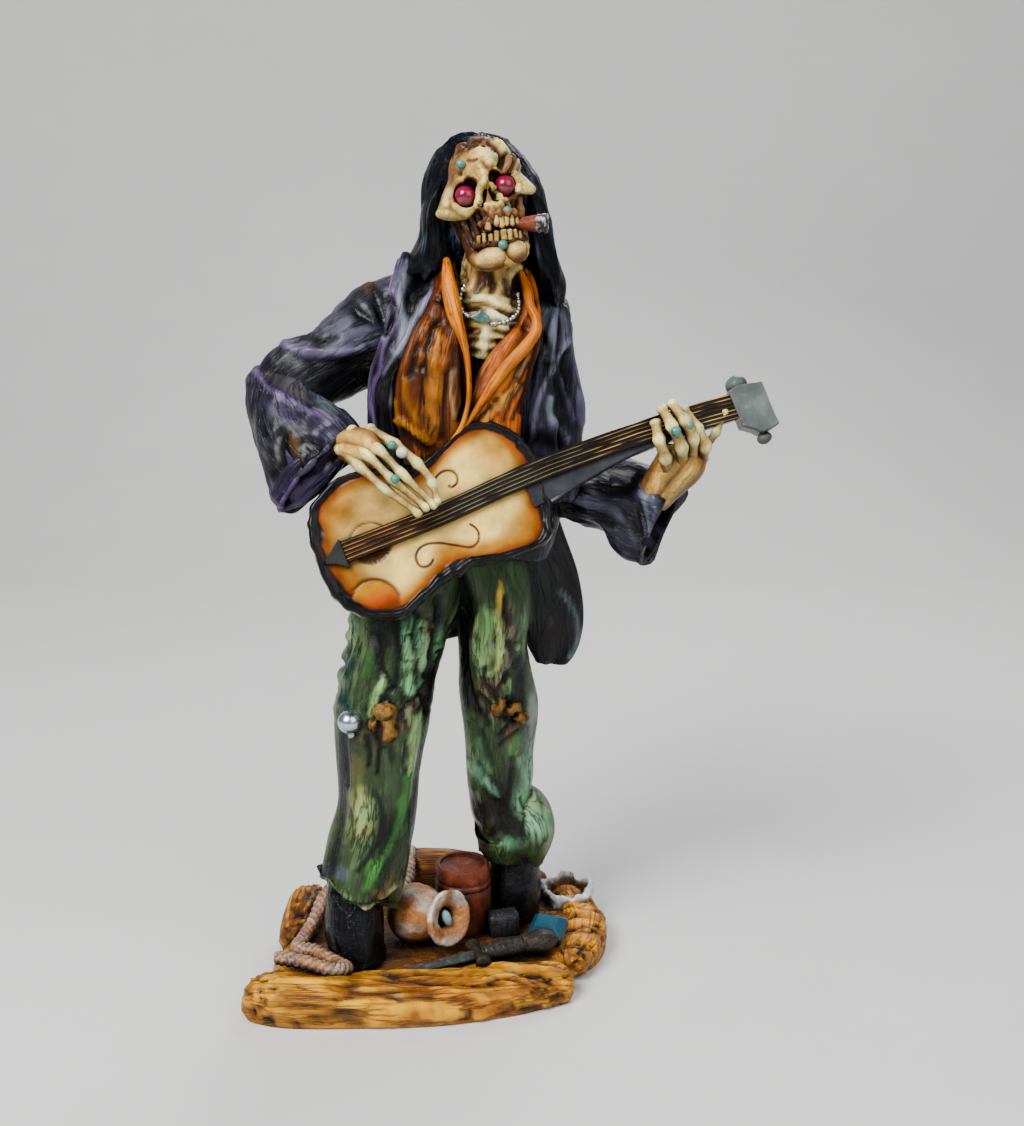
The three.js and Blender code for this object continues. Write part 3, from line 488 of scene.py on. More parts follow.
# %% Timbers
BRIGHT_OCHRE = colour(236, 166, 78)
FRONT_LOG = [
    [-56, -34, 5, 8.6, 8.6], [-44, -36, 5, 10, 10], [-20, -36.4, 5, 9.8, 9.4], [6, -34.4, 4.6, 10, 9],
    [30, -28.4, 4.6, 9.6, 8.4], [49, -22, 4, 7.4, 6.6],
]
LEFT_BLOCK = [[-48.5, 2, 8, 6.5, 7], [-48.5, 12, 9, 7.5, 10], [-47.5, 22, 9, 7, 12.5], [-46, 29, 7, 6, 10]]
RIGHT_PLANK = [[53, -10, 6, 6, 5], [58, 4, 7, 7.5, 5.5], [60, 22, 7, 7.5, 5.5], [54, 42, 7, 8, 6]]
BACK_STUMPS = [
    [-26, 44, 9, 7, 8], [-14, 47, 13, 9, 11], [6, 49, 14, 9, 11], [26, 49, 11, 9, 9], [42, 46, 9, 8, 8],
]


def timber(stations, size, seed, deep, rows, sides=30, dome=(4, 4), tint=None):
    """A lying limb under carved grain: relief = deep (grain + 0.8 steps) - 1.3 splits."""
    grid = limb(stations, rows, sides, front=(0, 0, 1), dome=dome, square=2.6)[0]
    cut = grain(grid, size, seed)
    steps = np.round(2.5 * noise(grid, np.asarray(size) * [1.2, 2, 2], seed + 6)) / 2.5
    split = cracks(grid, np.asarray(size) * 1.6, 0.1, seed + 3)
    relief = deep * (cut + 0.8 * steps) - 1.3 * split
    relief = relief * step(0, 2.5, grid[..., 2])
    worn = patchy(grid, (18, 7, 7), seed + 7)
    tint = between(DARK_OCHRE, OCHRE, worn) if tint is None else between(tint * 0.7, tint, worn)
    tint = between(tint, tint * [0.36, 0.3, 0.26], step(0.2, -0.5, cut))
    tint = between(tint, BRIGHT_OCHRE, 0.6 * step(0.35, 0.8, cut + 0.3 * noise(grid, 4, seed + 9)))
    tint = between(tint * 0.85, DARK_CRACK_AND_SHADE * 0.7, 0.9 * split)
    keep(casting, grid, "timber", tint, relief)


timber(FRONT_LOG, (34, 2.8, 2.4), 11, deep=1.3, rows=100, sides=50, dome=(5, 4))
timber(LEFT_BLOCK, (3, 9, 1.5), 21, deep=0.7, rows=36, dome=(2, 2), tint=colour(134, 80, 46))
timber(RIGHT_PLANK, (11, 2.8, 2), 31, deep=0.9, rows=70, dome=(2, 3))
timber(BACK_STUMPS, (12, 3, 3), 41, deep=0.7, rows=36, sides=26, tint=colour(128, 80, 46))
print("with the timbers:", len(casting))

# %% [markdown]
# ## The small things on the base
#
# Rope is the easiest carving to believe: three strands that wind round each other. Their section is a
# circle with three lobes, and the lobes turn with the distance run. The jar and the barrel are turned
# forms, so a profile of radius and height is all they need.

# %% Rope
TAN = colour(184, 128, 82)
CHALK = colour(236, 232, 224)
ROPE_RADIUS = 2.0
FRONT_ROPE = [
    [-38, 24, 21], [-40.4, 14, 20.4], [-42, 2, 17.6], [-44.6, -9, 15.6], [-45.5, -16, 15.4],
    [-38.3, -17.5, 14.6], [-29.5, -26.5, 14.6], [-26.2, -32, 15.4], [-31.5, -34.5, 16.4], [-41.2, -30, 17],
    [-51, -25.5, 16.4],
]
BACK_ROPE = [[-9.5, 52, 24], [-9.3, 41, 24.5], [-9, 36, 20], [-11.5, 32, 14], [-14, 30, 10]]


def rope(path, turns, bleached):
    """Three winding lobes: relief 0.75 |cos(1.5 (angle - turns * 2 pi t))|, and a fine lay of fibres."""
    path = np.asarray(path, float)
    stations = np.c_[path, np.full((len(path), 2), ROPE_RADIUS)]
    grid, angle, t = limb(stations, 22 * len(path), 12, front=(0.1, 0.2, 1), dome=(1, 1), crowd=0.2)
    wind = angle - turns * TAU * t
    relief = 0.75 * np.abs(np.cos(1.5 * wind)) + 0.08 * np.sin(9 * wind + 300 * t)
    worn = step(0.2, 0.75, np.abs(np.cos(1.5 * wind))) * bleached
    tint = between(BROWN, TAN, patchy(grid, 5, 3))
    tint = between(tint, CHALK, worn * patchy(grid, 7, 8))
    keep(casting, grid, "fibre", tint, relief)


rope(FRONT_ROPE, 13, 0.4)
rope(BACK_ROPE, 6, 1.0)
print("with the rope:", len(casting))

# %% Jar and barrel
TURNED_ROWS = 46
JAR_MIDDLE = np.array([-3.8, 2, 20.4])
JAR_AXIS = np.array([0.74, -0.67, 0.2])
BARREL_FOOT = (13.3, 13, GROUND - 1)
BARREL_AXIS = (0, -0.04, 1)


def turned(profile, foot, axis, sides):
    """A profile of [radius, height] turned about an axis from the foot: r cos, r sin and h."""
    r, h = through(profile, np.linspace(0, 1, TURNED_ROWS)).T
    axis = unit(np.asarray(axis, float))
    side = unit(np.cross(axis, [0.3, 1, 0.2]))
    angle = np.linspace(0, TAU, sides, endpoint=False)
    ring = side * np.cos(angle)[:, None] + np.cross(axis, side) * np.sin(angle)[:, None]
    grid = np.asarray(foot) + ring[None] * np.maximum(r, 0.05)[:, None, None] + axis * h[:, None, None]
    return grid, angle[None, :] + 0 * r[:, None], h[:, None] + 0 * angle[None, :]


def jar():
    """A round belly, a narrow neck and a broad dished lip with a small mouth, pitted all over."""
    profile = [
        [0.3, -11], [7.7, -8], [10.2, -4], [11, -1], [10.4, 4], [9.4, 7], [6.6, 11], [6.4, 13], [9.4, 15.6],
        [10.4, 17.2], [9.8, 18.5], [7.4, 18], [4.8, 16.8], [3.6, 14.4], [3.3, 12.5], [0.3, 12],
    ]
    grid, _, h = turned(profile, JAR_MIDDLE, JAR_AXIS, 44)
    relief = 0.25 * rough(grid, 3.5, 4) - 0.4 * cracks(grid, 5, 0.06, 6)
    chalky = step(-0.2, 0.7, noise(grid, (6, 6, 4), 12) + 0.3 * step(8, 17, h))
    tint = between(colour(176, 120, 78), colour(222, 206, 186), chalky)
    from_axis = np.linalg.norm(np.cross(grid - JAR_MIDDLE, unit(JAR_AXIS)), axis=-1)
    # Painted shade inside the jar's mouth
    tint = between(tint, DARK_CRACK_AND_SHADE, step(14.6, 13, h) * step(4.5, 3.8, from_axis))
    keep(casting, grid, "clay", tint, relief)


def barrel():
    """Staves: shallow grooves at every twelfth of a turn, with two hoops and a lid let into the top."""
    profile = [
        [0.3, 0], [9.5, 0.2], [10.2, 5], [10.6, 12], [10.6, 18.4], [10, 18.9], [10.5, 19.6], [10.5, 21],
        [10, 21.6], [10.2, 23], [10.1, 26.9], [9.7, 27.5], [8.9, 27.5], [8.5, 27.1], [8.3, 26.3],
        [7.5, 26.2], [4, 26.2], [0.3, 26.3],
    ]
    grid, angle, h = turned(profile, BARREL_FOOT, BARREL_AXIS, 48)
    staves = np.abs(np.sin(6 * angle)) < 0.09
    relief = 0.2 * grain(grid, (2, 2, 9), 14) - 0.35 * staves * step(24, 22, h)
    relief = relief - 0.3 * cracks(grid, 4, 0.05, 8)
    tint = between(colour(80, 38, 24), colour(134, 66, 42), patchy(grid, (3, 3, 8), 5))
    tint = between(tint, DARK_CRACK_AND_SHADE, 0.7 * bump(h, 18.9, 0.5) + 0.7 * bump(h, 21.6, 0.5))
    keep(casting, grid, "clay", tint, relief)


jar()
barrel()
print("with the jar and the barrel:", len(casting))

# %% Dagger and knurled block
DAGGER_TIP = np.array([-17, -33.5, 12])
DAGGER_GUARD = np.array([19.7, -19.5, 14.5])
DAGGER_END = np.array([49.4, -8.6, 15.8])
STEEL = colour(66, 66, 64)
OLD_GOLD = colour(50, 42, 34)
# Parts of the dagger: along it, across it, half width and half depth
DAGGER_KNOBS = [[0, -6.4, 3, 3], [0, -3, 2, 2.4], [0, 0, 2.6, 3], [0, 3, 2, 2.4], [0, 6.4, 3, 3]]
DAGGER_GRIP = [[1, 0, 3, 3], [9, 0, 3.7, 3.7], [18, 0, 3.2, 3.2]]
DAGGER_POMMEL = [[17, 0, 4, 3.8], [19, 0, 3.4, 3.4], [23, 0, 5, 4.4], [26.5, 0, 4.4, 4], [29, 0, 3, 2.8]]


def dagger():
    """A blade, a guard with two knobs, a wound grip and a pommel, each a lying limb along one line."""
    run = unit(DAGGER_END - DAGGER_GUARD)
    across = unit(np.cross([0, 0, 1], run))

    def part(rows, ripple, tint, count, sides, dome=(0, 0)):
        stations = [[*(DAGGER_GUARD + run * s + across * w), wide, deep] for s, w, wide, deep in rows]
        grid, angle, t = limb(stations, count, sides, front=(0, 0, 1), dome=dome)
        keep(casting, grid, "pewter", tint, ripple(angle, t))

    middle = 0.6 * DAGGER_TIP + 0.4 * DAGGER_GUARD
    stations = [[*DAGGER_TIP, 0.8, 0.8], [*middle, 2.6, 1.6], [*DAGGER_GUARD, 3.2, 2.2]]
    blade = limb(stations, 26, 14, front=(0, 0, 1), dome=(0.6, 0), square=1.3)[0]
    keep(casting, blade, "pewter", STEEL, 0.15 * rough(blade, 2.5, 3))
    part(DAGGER_KNOBS, lambda a, t: 0.2 * np.sin(40 * t), OLD_GOLD, 20, 14, (1.4, 1.4))
    part(DAGGER_GRIP, lambda a, t: 0.35 * np.abs(np.sin(26 * t + 0.5 * a)) - 0.1, colour(50, 46, 40), 56, 16)
    part(DAGGER_POMMEL, lambda a, t: 0.15 * np.cos(6 * a), OLD_GOLD, 18, 16, (0, 1.5))


def knurled_block():
    """A small block under crossed grooves: 0.4 |sin(1.7 (x + z))| |sin(1.7 (x - z))|."""
    stations = [[24, 6, 13, 4, 5.6], [33.5, 8, 13.5, 4, 5.6]]
    grid = limb(stations, 30, 30, front=(0, 0, 1), dome=(1, 1), square=4)[0]
    a = grid[..., 0] + grid[..., 2]
    b = grid[..., 0] - grid[..., 2]
    relief = 0.4 * np.abs(np.sin(1.7 * a)) * np.abs(np.sin(1.7 * b))
    keep(casting, grid, "pewter", colour(44, 44, 46), relief)


dagger()
knurled_block()
print("with the dagger and the block:", len(casting))

# %% Torn shell
def torn_shell():
    """A ring of radius 9 mm torn by sines of the angle, dished to a hollow in the middle."""
    rows = 26
    sides = 72
    radius = 9
    angle = np.linspace(0, TAU, sides, endpoint=False)
    ring = np.c_[np.cos(angle), np.sin(angle), 0 * angle] * radius
    torn = 0.7 * np.sin(5 * angle) + 0.5 * noise(ring, 2.4, 3)
    profile = [
        [1, -6], [1.06, -4], [1.14, 0], [1.14, 2.6], [1.04, 3.8], [0.9, 3], [0.74, 1], [0.5, -1],
        [0.05, -1.4],
    ]
    scale, z = through(profile, np.linspace(0, 1, rows)).T
    r = (radius + torn)[None] * scale[:, None]
    high = z[:, None] + 0.12 * r * np.sin(angle) + torn * step(0.8, 1.05, scale)[:, None] * (z > -3)[:, None]
    grid = np.stack([54 + r * np.cos(angle), 37 + 0.95 * r * np.sin(angle), 12 + high], -1)
    inside = (step(1.0, 0.8, scale) * (np.arange(rows) > rows // 2 - 1))[:, None] * np.ones(sides)
    keep(casting, grid, "clay", between(CHALK, colour(120, 72, 40), inside), 0.8 * rough(grid, 1.8, 6))


torn_shell()
print("with the small things:", len(casting))

# %% [markdown]
# ## Trousers and shoes
#
# Wide trousers hang in long folds and part over ochre kneecaps. Where the cloth is torn it is carved like
# bark, with black cracks between pale plates. Its paint is laid on in patches, so each patch is named by
# its place and size in the picture's plane, and fades out as a bell curve does.

# %% Where the legs run
LEFT_LEG = [
    [2, 8, 170, 19, 13], [-6, 6, 140, 18, 15.5], [-9, 4, 125, 17.2, 15.5], [-12, 1, 111, 16.3, 15],
    [-14.7, -2, 95, 16.2, 15.5], [-16, -4, 79, 15, 13.5], [-17, -6, 64, 14, 13], [-20.3, -8, 50, 14.8, 14],
    [-23.3, -9, 37, 15.2, 15], [-24, -9.5, 34, 14, 14.5],
]
RIGHT_LEG = [
    [19, 8, 170, 17, 13], [25, 8, 142, 14.6, 15], [24.9, 10, 124, 13, 14.5], [25.4, 12, 108, 13.3, 14.5],
    [26.4, 14, 94, 14, 15], [26.5, 17, 75, 12.6, 13.5], [27.6, 20, 58, 11.6, 13], [33, 22, 49, 16, 15],
    [33, 24, 38, 12.6, 14],
]
OLIVE = colour(66, 84, 52)
# Where the cloth is torn, and where the knees show: x, z, radius in x and radius in z
TORN_PLACES = [[2, 128, 9, 26], [-8, 105, 12, 9], [30, 118, 7, 22], [28, 100, 10, 10]]
KNEE_PLACES = [[-10, 99, 10, 8], [29, 100, 8, 8], [1, 112, 4, 12], [31, 116, 3, 12]]
print("stations of the legs:", len(LEFT_LEG), "and", len(RIGHT_LEG))

# %% Patches of paint on the trousers
# The patches are the cloth's own paint together with its light: the palest greens are partly painted
# highlights and the darkest partly painted shade
# Red, green, blue, then the x, z, radius in x and radius in z of each
LEFT_PAINT = [
    (122, 168, 122, -5.2, 126, 3.1, 10.4, -0.7, 130, 3.1, 10.4, -3, 112, 4.2, 4.9, 6, 126, 1.7, 10.4),
    (96, 78, 58, 1.8, 130, 2.1, 14, 2.3, 115.5, 1.7, 4.9, -4.6, 106, 3.5, 2.8, -10, 99, 2.8, 4.2),
    (56, 96, 46, -17.9, 121, 2.1, 4.9, -13.9, 112.7, 2.1, 5.6),
    (20, 44, 46, -26, 130, 3.4, 12, -27, 117, 3.4, 10.5, -28, 104, 2.6, 5),
    (150, 176, 120, -1, 94, 3.2, 6.3, -3.3, 85, 2.1, 6.3, -14.5, 107, 2, 6),
    (78, 128, 66, -4.6, 80, 2.1, 5.6, -6.1, 71, 2.1, 5.6, -8.4, 61.5, 2.1, 5, -12, 54, 2.5, 4.3, -16.5,
     47, 3.2, 4.3),
    (98, 92, 50, -22.9, 83.5, 3.5, 6.3, -22.5, 72, 4.2, 7.1, -20.5, 63, 3.5, 5.7, -20.5, 96, 3.2, 2.8),
    (84, 88, 96, -34.9, 46, 3.2, 3.6, -29, 46, 3.4, 3.6),
    (16, 16, 14, 4.2, 130, 1, 10.4, 5.7, 140, 1, 5.5),
]
RIGHT_PAINT = [
    (150, 180, 122, 21.4, 128, 4.6, 7.8, 23.6, 133.5, 3.5, 6.3, 20, 122.6, 3.5, 4.9, 23, 115, 3.2, 2.1),
    (246, 200, 110, 27.8, 142, 1.1, 6.3),
    (120, 102, 76, 30.9, 133, 1.8, 8.5, 31.3, 120.5, 2.1, 7.8, 28.8, 113, 2.1, 5),
    (112, 140, 92, 35.5, 127.6, 2.5, 10.6, 33.4, 113, 3.2, 7.8, 32.4, 84, 2.2, 7.2),
    (96, 72, 48, 23.5, 109.8, 4.3, 5, 27.7, 100.5, 3.6, 4.3, 31.3, 93, 3.2, 4.3),
    (16, 18, 20, 14.8, 109, 2.5, 13, 17.7, 105, 2.9, 7.2),
    (26, 24, 22, 21.8, 59, 4.4, 13, 24, 68, 3.6, 7.3),
    (50, 72, 62, 21, 80, 4.4, 5.8),
    (112, 146, 116, 21.8, 72.4, 2, 1.8, 24.6, 68.4, 2, 1.8, 19.6, 76.2, 1.8, 1.6),
    (116, 152, 120, 36.8, 64.3, 5.2, 8.1, 40.5, 52.6, 5.9, 6.7, 33.1, 46.6, 5.2, 4.5, 44.2, 54.5, 3, 3.7,
     38.6, 80, 2.9, 11),
    (112, 116, 112, 39.3, 95, 2.2, 14.6),
]


def painted_patches(grid, base, patches):
    """The base colour under each patch in turn: share = spots, sharpened and broken up by noise."""
    tint = np.broadcast_to(base, grid.shape).copy()
    facing = step(0.25, -0.45, outward(grid)[..., 1])
    wander = grid + 1.6 * np.stack([noise(grid, 5, 31), 0 * grid[..., 0], noise(grid, 7, 33)], -1)
    for red, green, blue, *places in patches:
        share = spots(wander, places) + 0.18 * noise(grid, (2, 2, 5), 35)
        tint = between(tint, colour(red, green, blue), step(0.22, 0.75, share) * facing)
    return tint


print("patches:", len(LEFT_PAINT) + len(RIGHT_PAINT))

# %% Strokes on the trousers
# Red, green, blue, height, half width, then the x and z of each place on the curve
# Dark rows paint shade into the creases and pale rows paint highlights on the folds; the rest are the
# paint's own colour
LEFT_LEG_STROKES = [
    (16, 16, 14, -1.6, 0.8, 6, 142, 6, 138, 5, 130.5, 3.5, 125.5, 2.5, 120, 2, 115.5),
    (18, 16, 14, -1.2, 0.5, -1.5, 142, -2, 136, -3, 130.5, -2.5, 125.5, -1.5, 120.5, -2, 116.5, -1.5, 112,
     0.5, 109),
    (20, 18, 14, -0.9, 0.4, -3, 130.5, -5, 130.5, -6.5, 128, -6.5, 121.5),
    (22, 16, 12, -1.2, 0.5, -6.5, 112.5, -7, 107.5, -3.5, 108, 0, 108.5, 1.5, 103.5, 2, 100.5),
    (150, 176, 120, 0.8, 1.2, -17, 103.5, -16.5, 107.5, -15, 112, -12.5, 115),
    (140, 180, 140, 0.7, 1.2, -5.5, 129, -4.5, 125.5, -5, 120.5),
    (132, 176, 136, 0.7, 1, 0, 130, 0, 123.5, 1, 118.5),
    (112, 160, 120, 0.5, 1, -5.5, 113.5, -3.5, 110.5, -2, 112.5),
    (190, 206, 150, 0.7, 1, -1, 101, -2.5, 96.5, -3.5, 89, -4.5, 82.5),
    (88, 142, 74, 0.6, 1.2, -4.5, 81.5, -5.5, 72.5, -7.5, 64, -10.5, 56.5, -14.5, 49.5, -19.5, 42),
    (34, 26, 16, -1, 0.5, -8, 104, -5.5, 106, -3, 107),
    (34, 26, 16, -1, 0.5, -11, 94, -8.5, 99, -6.5, 103.5),
    (44, 26, 12, -0.7, 0.4, -16.5, 100.5, -15, 103.5, -14, 107, -12.5, 108),
    (60, 34, 14, -0.6, 0.3, -15.5, 101.5, -12, 102, -8, 102.5),
    (30, 20, 12, -0.9, 0.5, -16.5, 100.5, -15, 96, -13.5, 92.5, -11, 91),
    (20, 16, 12, -1, 0.5, -19, 95.5, -18, 90, -18.5, 85),
    (20, 16, 12, -1, 0.5, -14.5, 91.5, -15, 85.5, -15.5, 82.5),
    (24, 20, 14, -0.8, 0.4, -10, 92.5, -10.5, 86.5),
    (24, 20, 14, -0.8, 0.4, -5.5, 94, -6.5, 87, -6, 82),
    (20, 20, 14, -0.7, 0.3, -5, 122, -2.5, 120.5, -2, 116.5),
    (22, 30, 20, -0.6, 0.7, -16.5, 130.5, -15, 125.5, -14, 120, -11, 115),
    (20, 30, 22, -0.8, 1, -9.5, 140.5, -8, 130.5, -8, 121.5, -9, 112.5),
    (28, 36, 24, -0.6, 0.8, -16, 76, -13.5, 66.5, -15.5, 57.5, -22.5, 48),
    (24, 28, 22, -0.8, 0.7, -28.5, 94.5, -28, 85.5, -27, 76),
    (90, 96, 60, 0.4, 0.8, -24.5, 76, -25.5, 66.5, -27, 57.5),
    (190, 180, 140, 0.8, 0.6, -24, 34, -19, 34, -15, 36, -10, 40),
    (96, 70, 40, 0.8, 0.8, -17, 40, -14, 38, -11, 44),
]
# Dark rows paint shade into the creases and pale rows paint highlights on the folds; the rest are the
# paint's own colour
RIGHT_LEG_STROKES = [
    (14, 14, 16, -1.3, 0.7, 14, 138, 14, 127.5, 15, 118.5, 17, 109, 19, 100.5),
    (16, 14, 12, -1.3, 0.7, 29.5, 142.5, 29.5, 137.5, 30.5, 134),
    (20, 16, 12, -1.1, 0.5, 30, 127.5, 32, 123, 33.5, 119, 32, 115.5, 28.5, 112, 26.5, 108),
    (20, 16, 12, -1.2, 0.7, 22.5, 118, 22, 112.5, 24, 109, 26.5, 105.5),
    (22, 16, 12, -1.1, 0.7, 20.5, 106.5, 24, 103, 27.5, 99, 30.5, 97),
    (22, 16, 12, -1, 0.5, 27.5, 91, 30, 94, 32.5, 97, 31.5, 101.5),
    (22, 16, 12, -0.9, 0.5, 27.5, 87, 30.5, 90, 34, 91.5),
    (24, 18, 12, -0.8, 0.4, 33, 105, 35, 103, 35, 100, 37.5, 97),
    (200, 214, 160, 0.5, 0.9, 20, 135.5, 18, 128, 19, 123, 21.5, 119),
    (214, 214, 140, 0.6, 0.7, 26.5, 139, 27.5, 131, 27.5, 123.5, 26.5, 117),
    (160, 196, 130, 0.7, 0.9, 34.5, 123, 32.5, 114.5, 31, 106.5),
    (96, 144, 84, 0.6, 0.9, 34, 89.5, 33, 84, 31.5, 78),
    (120, 160, 130, 0.7, 0.9, 17, 79, 20.5, 73.5, 24, 69, 27, 64.5),
    (16, 16, 16, -0.8, 1.2, 18, 65, 20, 56, 19, 47.5),
    (18, 18, 16, -1, 1, 32, 81, 31.5, 73, 30, 63, 27, 53.5, 24, 47.5),
    (128, 164, 130, 0.7, 1.6, 35.5, 79, 38, 70.5, 42, 63),
    (50, 60, 44, -0.6, 0.3, 35, 63, 36.5, 56, 35.5, 49),
    (50, 60, 44, -0.6, 0.3, 39, 66.5, 42, 59.5, 42.5, 53.5),
    (70, 60, 40, -0.6, 0.3, 45, 59, 46.5, 54.5, 44.5, 52),
    (40, 70, 44, -0.5, 0.9, 20.5, 92, 22.5, 85.5, 24, 79.5),
    (90, 120, 84, 0.5, 0.7, 19.5, 88.5, 21, 82, 24, 76),
]
print("strokes:", len(LEFT_LEG_STROKES) + len(RIGHT_LEG_STROKES))

# %% Trousers
def trouser(stations, phase, patches, cuts, seed, slant=0.0, fringe=None):
    """Long folds 0.8 sin(3a + 5t) + 0.6 sin(5a - 7t) + 0.5 sin(2a + 19t), bark where torn, then strokes."""
    grid, angle, t = limb(stations, 128, 60, crowd=0.6)
    folds = 0.8 * np.sin(3 * angle + phase + 5 * t) + 0.6 * np.sin(5 * angle - 7 * t + phase)
    folds = folds + 0.5 * np.sin(2 * angle + 19 * t)
    torn = step(0.1, 0.9, spots(grid, TORN_PLACES))
    bark = cracks(grid, (3.4, 3.4, 12), 0.14, seed)
    relief = folds + (0.12 + 0.4 * torn) * grain(grid, (2.8, 2.8, 16), seed + 4) - (0.1 + 0.9 * torn) * bark
    if fringe is not None:
        relief = relief + fringe(grid, angle, t)
    hem = noise(np.stack([np.cos(angle), np.sin(angle), 0 * t], -1) * 6, 2, seed)
    ragged = step(0.93, 1, t) * (2.6 * hem - 0.4)
    ragged = ragged + slant * step(0.75, 1, t) * np.maximum(np.cos(angle), 0)
    grid = grid + np.stack([0 * ragged, 0 * ragged, ragged], -1)
    tint = painted_patches(grid, OLIVE * 0.8, patches)
    knees = spots(grid, KNEE_PLACES) + 0.4 * noise(grid, 4, seed + 2)
    plates = step(0, 0.5, rough(grid, (3, 3, 5), seed + 8) + 0.2)
    tint = between(tint, colour(74, 52, 34), 0.75 * step(0.2, 0.8, knees) * plates)
    tint = between(tint, DARK_CRACK_AND_SHADE * 0.5, (0.1 + 0.9 * torn) * bark)
    tint, cut = paint_light_and_shade_strokes(grid, tint, cuts, dim=0.85)
    keep(casting, grid, "trousers", tint, relief + cut)


def tattered_edge(grid, angle, t):
    """A ragged fringe down the outer seam of the left leg above the knee."""
    seam = bump(np.cos(angle), 1, 0.12) * step(0.05, 0.15, t) * step(0.47, 0.4, t)
    return seam * (1.1 + 0.5 * np.sin(grid[..., 2] * 0.9) + 1.2 * noise(grid, (9, 9, 2.6), 17))


trouser(LEFT_LEG, 0, LEFT_PAINT, LEFT_LEG_STROKES, 50, 6.0, tattered_edge)
trouser(RIGHT_LEG, 2, RIGHT_PAINT, RIGHT_LEG_STROKES, 60)
print("with the trousers:", len(casting))

# %% Shoes and kneecaps
# Places and radii of the lumps of bone in the torn knees
KNEE_CAPS = [
    ((-12.6, -15.6, 104), (4.4, 3.2, 3.2)), ((-11.6, -15.8, 98), (3.8, 3.2, 5.4)),
    ((-15.4, -15, 100), (2.8, 2.6, 3.4)), ((27.4, -1.2, 102), (2.4, 2.6, 3.2)),
    ((32.6, -1.2, 101), (3.4, 2.4, 2.2)), ((35.4, -1, 98), (2.4, 2.2, 2.2)),
]


def shoe(stations, seed):
    """A blunt boot, glossy black and faintly dented, with a sole line."""
    grid = limb(stations, 24, 32, square=2.3)[0]
    relief = 0.35 * rough(grid, (5, 5, 5), seed) - 0.5 * bump(grid[..., 2], GROUND + 3.2, 0.5)
    keep(casting, grid, "boot", colour(13, 13, 16), relief)


shoe([[-25.6, -7, 38, 9.6, 9.5], [-25.6, -9.6, 24, 10.6, 13], [-24, -12, GROUND - 1, 10, 14.5]], 71)
shoe([[33, 26, 36, 9.2, 9.2], [33, 25.2, 22, 10.2, 11], [32.8, 25, GROUND - 1, 9.8, 12]], 72)
for place, radii in KNEE_CAPS:
    cap = ball(place, radii, wide=26, high=16)
    cut = grain(cap, (2.4, 2.4, 3.2), 5)
    shade = between(colour(52, 32, 18), colour(178, 128, 66), step(-0.2, 0.6, cut + 0.4 * noise(cap, 3, 8)))
    keep(casting, cap, "clay", 0.45 * shade, 1.2 * cut - 0.4)
print("with the legs:", len(casting))

# %% [markdown]
# ## Ribs and coat
#
# The body is a stack of level ovals with ribs pressed in as a wave that runs round it. The coat is one
# closed limb in its own folds. Both stay closed, because a casting is solid under its clothes.

# %% Ribs
CHEST = [
    [25.8, -5, 264, 9, 8.5], [25.4, -4, 253, 9.6, 8.5], [25.8, -5, 245, 13, 9.5],
    [25.5, -7.5, 237, 12.5, 10], [24, -9, 230, 9.5, 7.5], [22.5, -9, 226, 7, 4.5],
]
BONE = colour(214, 168, 104)
PALE_RIB = colour(250, 210, 142)
# Dark rows paint shade into the creases and pale rows paint highlights on the ribs and folds
CHEST_STROKES = [
    (206, 172, 122, 1, 0.8, 34.5, 257, 31.5, 254.5, 30.5, 250.5),
    (196, 158, 108, 0.8, 0.6, 27.5, 256.5, 28, 251.5, 27, 247.5),
    (44, 26, 16, -1, 0.5, 29.5, 252.5, 30.5, 247.5),
    (36, 22, 14, -1.1, 0.7, 32.5, 252.5, 32.5, 246, 33, 240),
    (44, 26, 16, -0.9, 0.5, 24.5, 256, 25.5, 251, 24.5, 247.5),
    (190, 150, 100, 0.8, 0.7, 16, 258.5, 15.5, 254, 17, 249.5),
    (40, 24, 14, -1, 1.4, 21.5, 256.5, 21.5, 252.5, 20.5, 248.5),
    (252, 230, 172, 1.2, 1, 14.5, 245, 19.5, 246.5, 24.5, 246.5, 29.5, 245, 33.5, 243),
    (120, 84, 44, -0.7, 0.3, 14, 244, 19.5, 245, 25, 244, 29.5, 241.5, 32.5, 239),
    (120, 84, 44, -0.7, 0.3, 14.5, 242, 20.5, 243, 25.5, 241, 29.5, 238.5),
    (255, 244, 200, 0.6, 1.4, 25.5, 242, 28.5, 240, 30.5, 237.5),
    (255, 240, 190, 0.9, 1.7, 23.5, 235.5, 22.5, 231.5, 22.5, 228.5),
    (236, 206, 146, 0.7, 0.6, 26.5, 234.5, 30.5, 233.5, 33.5, 231.5),
    (236, 206, 146, 0.7, 0.6, 26.5, 231.5, 29.5, 230.5, 32, 228.5),
    (60, 34, 18, -1, 0.5, 27.5, 233, 30.5, 232, 33, 230.5),
    (60, 34, 18, -1, 0.5, 27, 230, 29.5, 228.5, 30.5, 227.5),
    (50, 28, 16, -1.1, 1.2, 32, 236.5, 34, 235),
    (230, 200, 140, 0.6, 0.6, 29, 236.5, 31.5, 235.5),
    (70, 40, 20, -0.8, 0.4, 17.5, 236, 19.5, 235, 21.5, 235.5),
    (70, 42, 22, -0.9, 0.8, 18.5, 225.5, 23, 226, 28, 226.5),
]


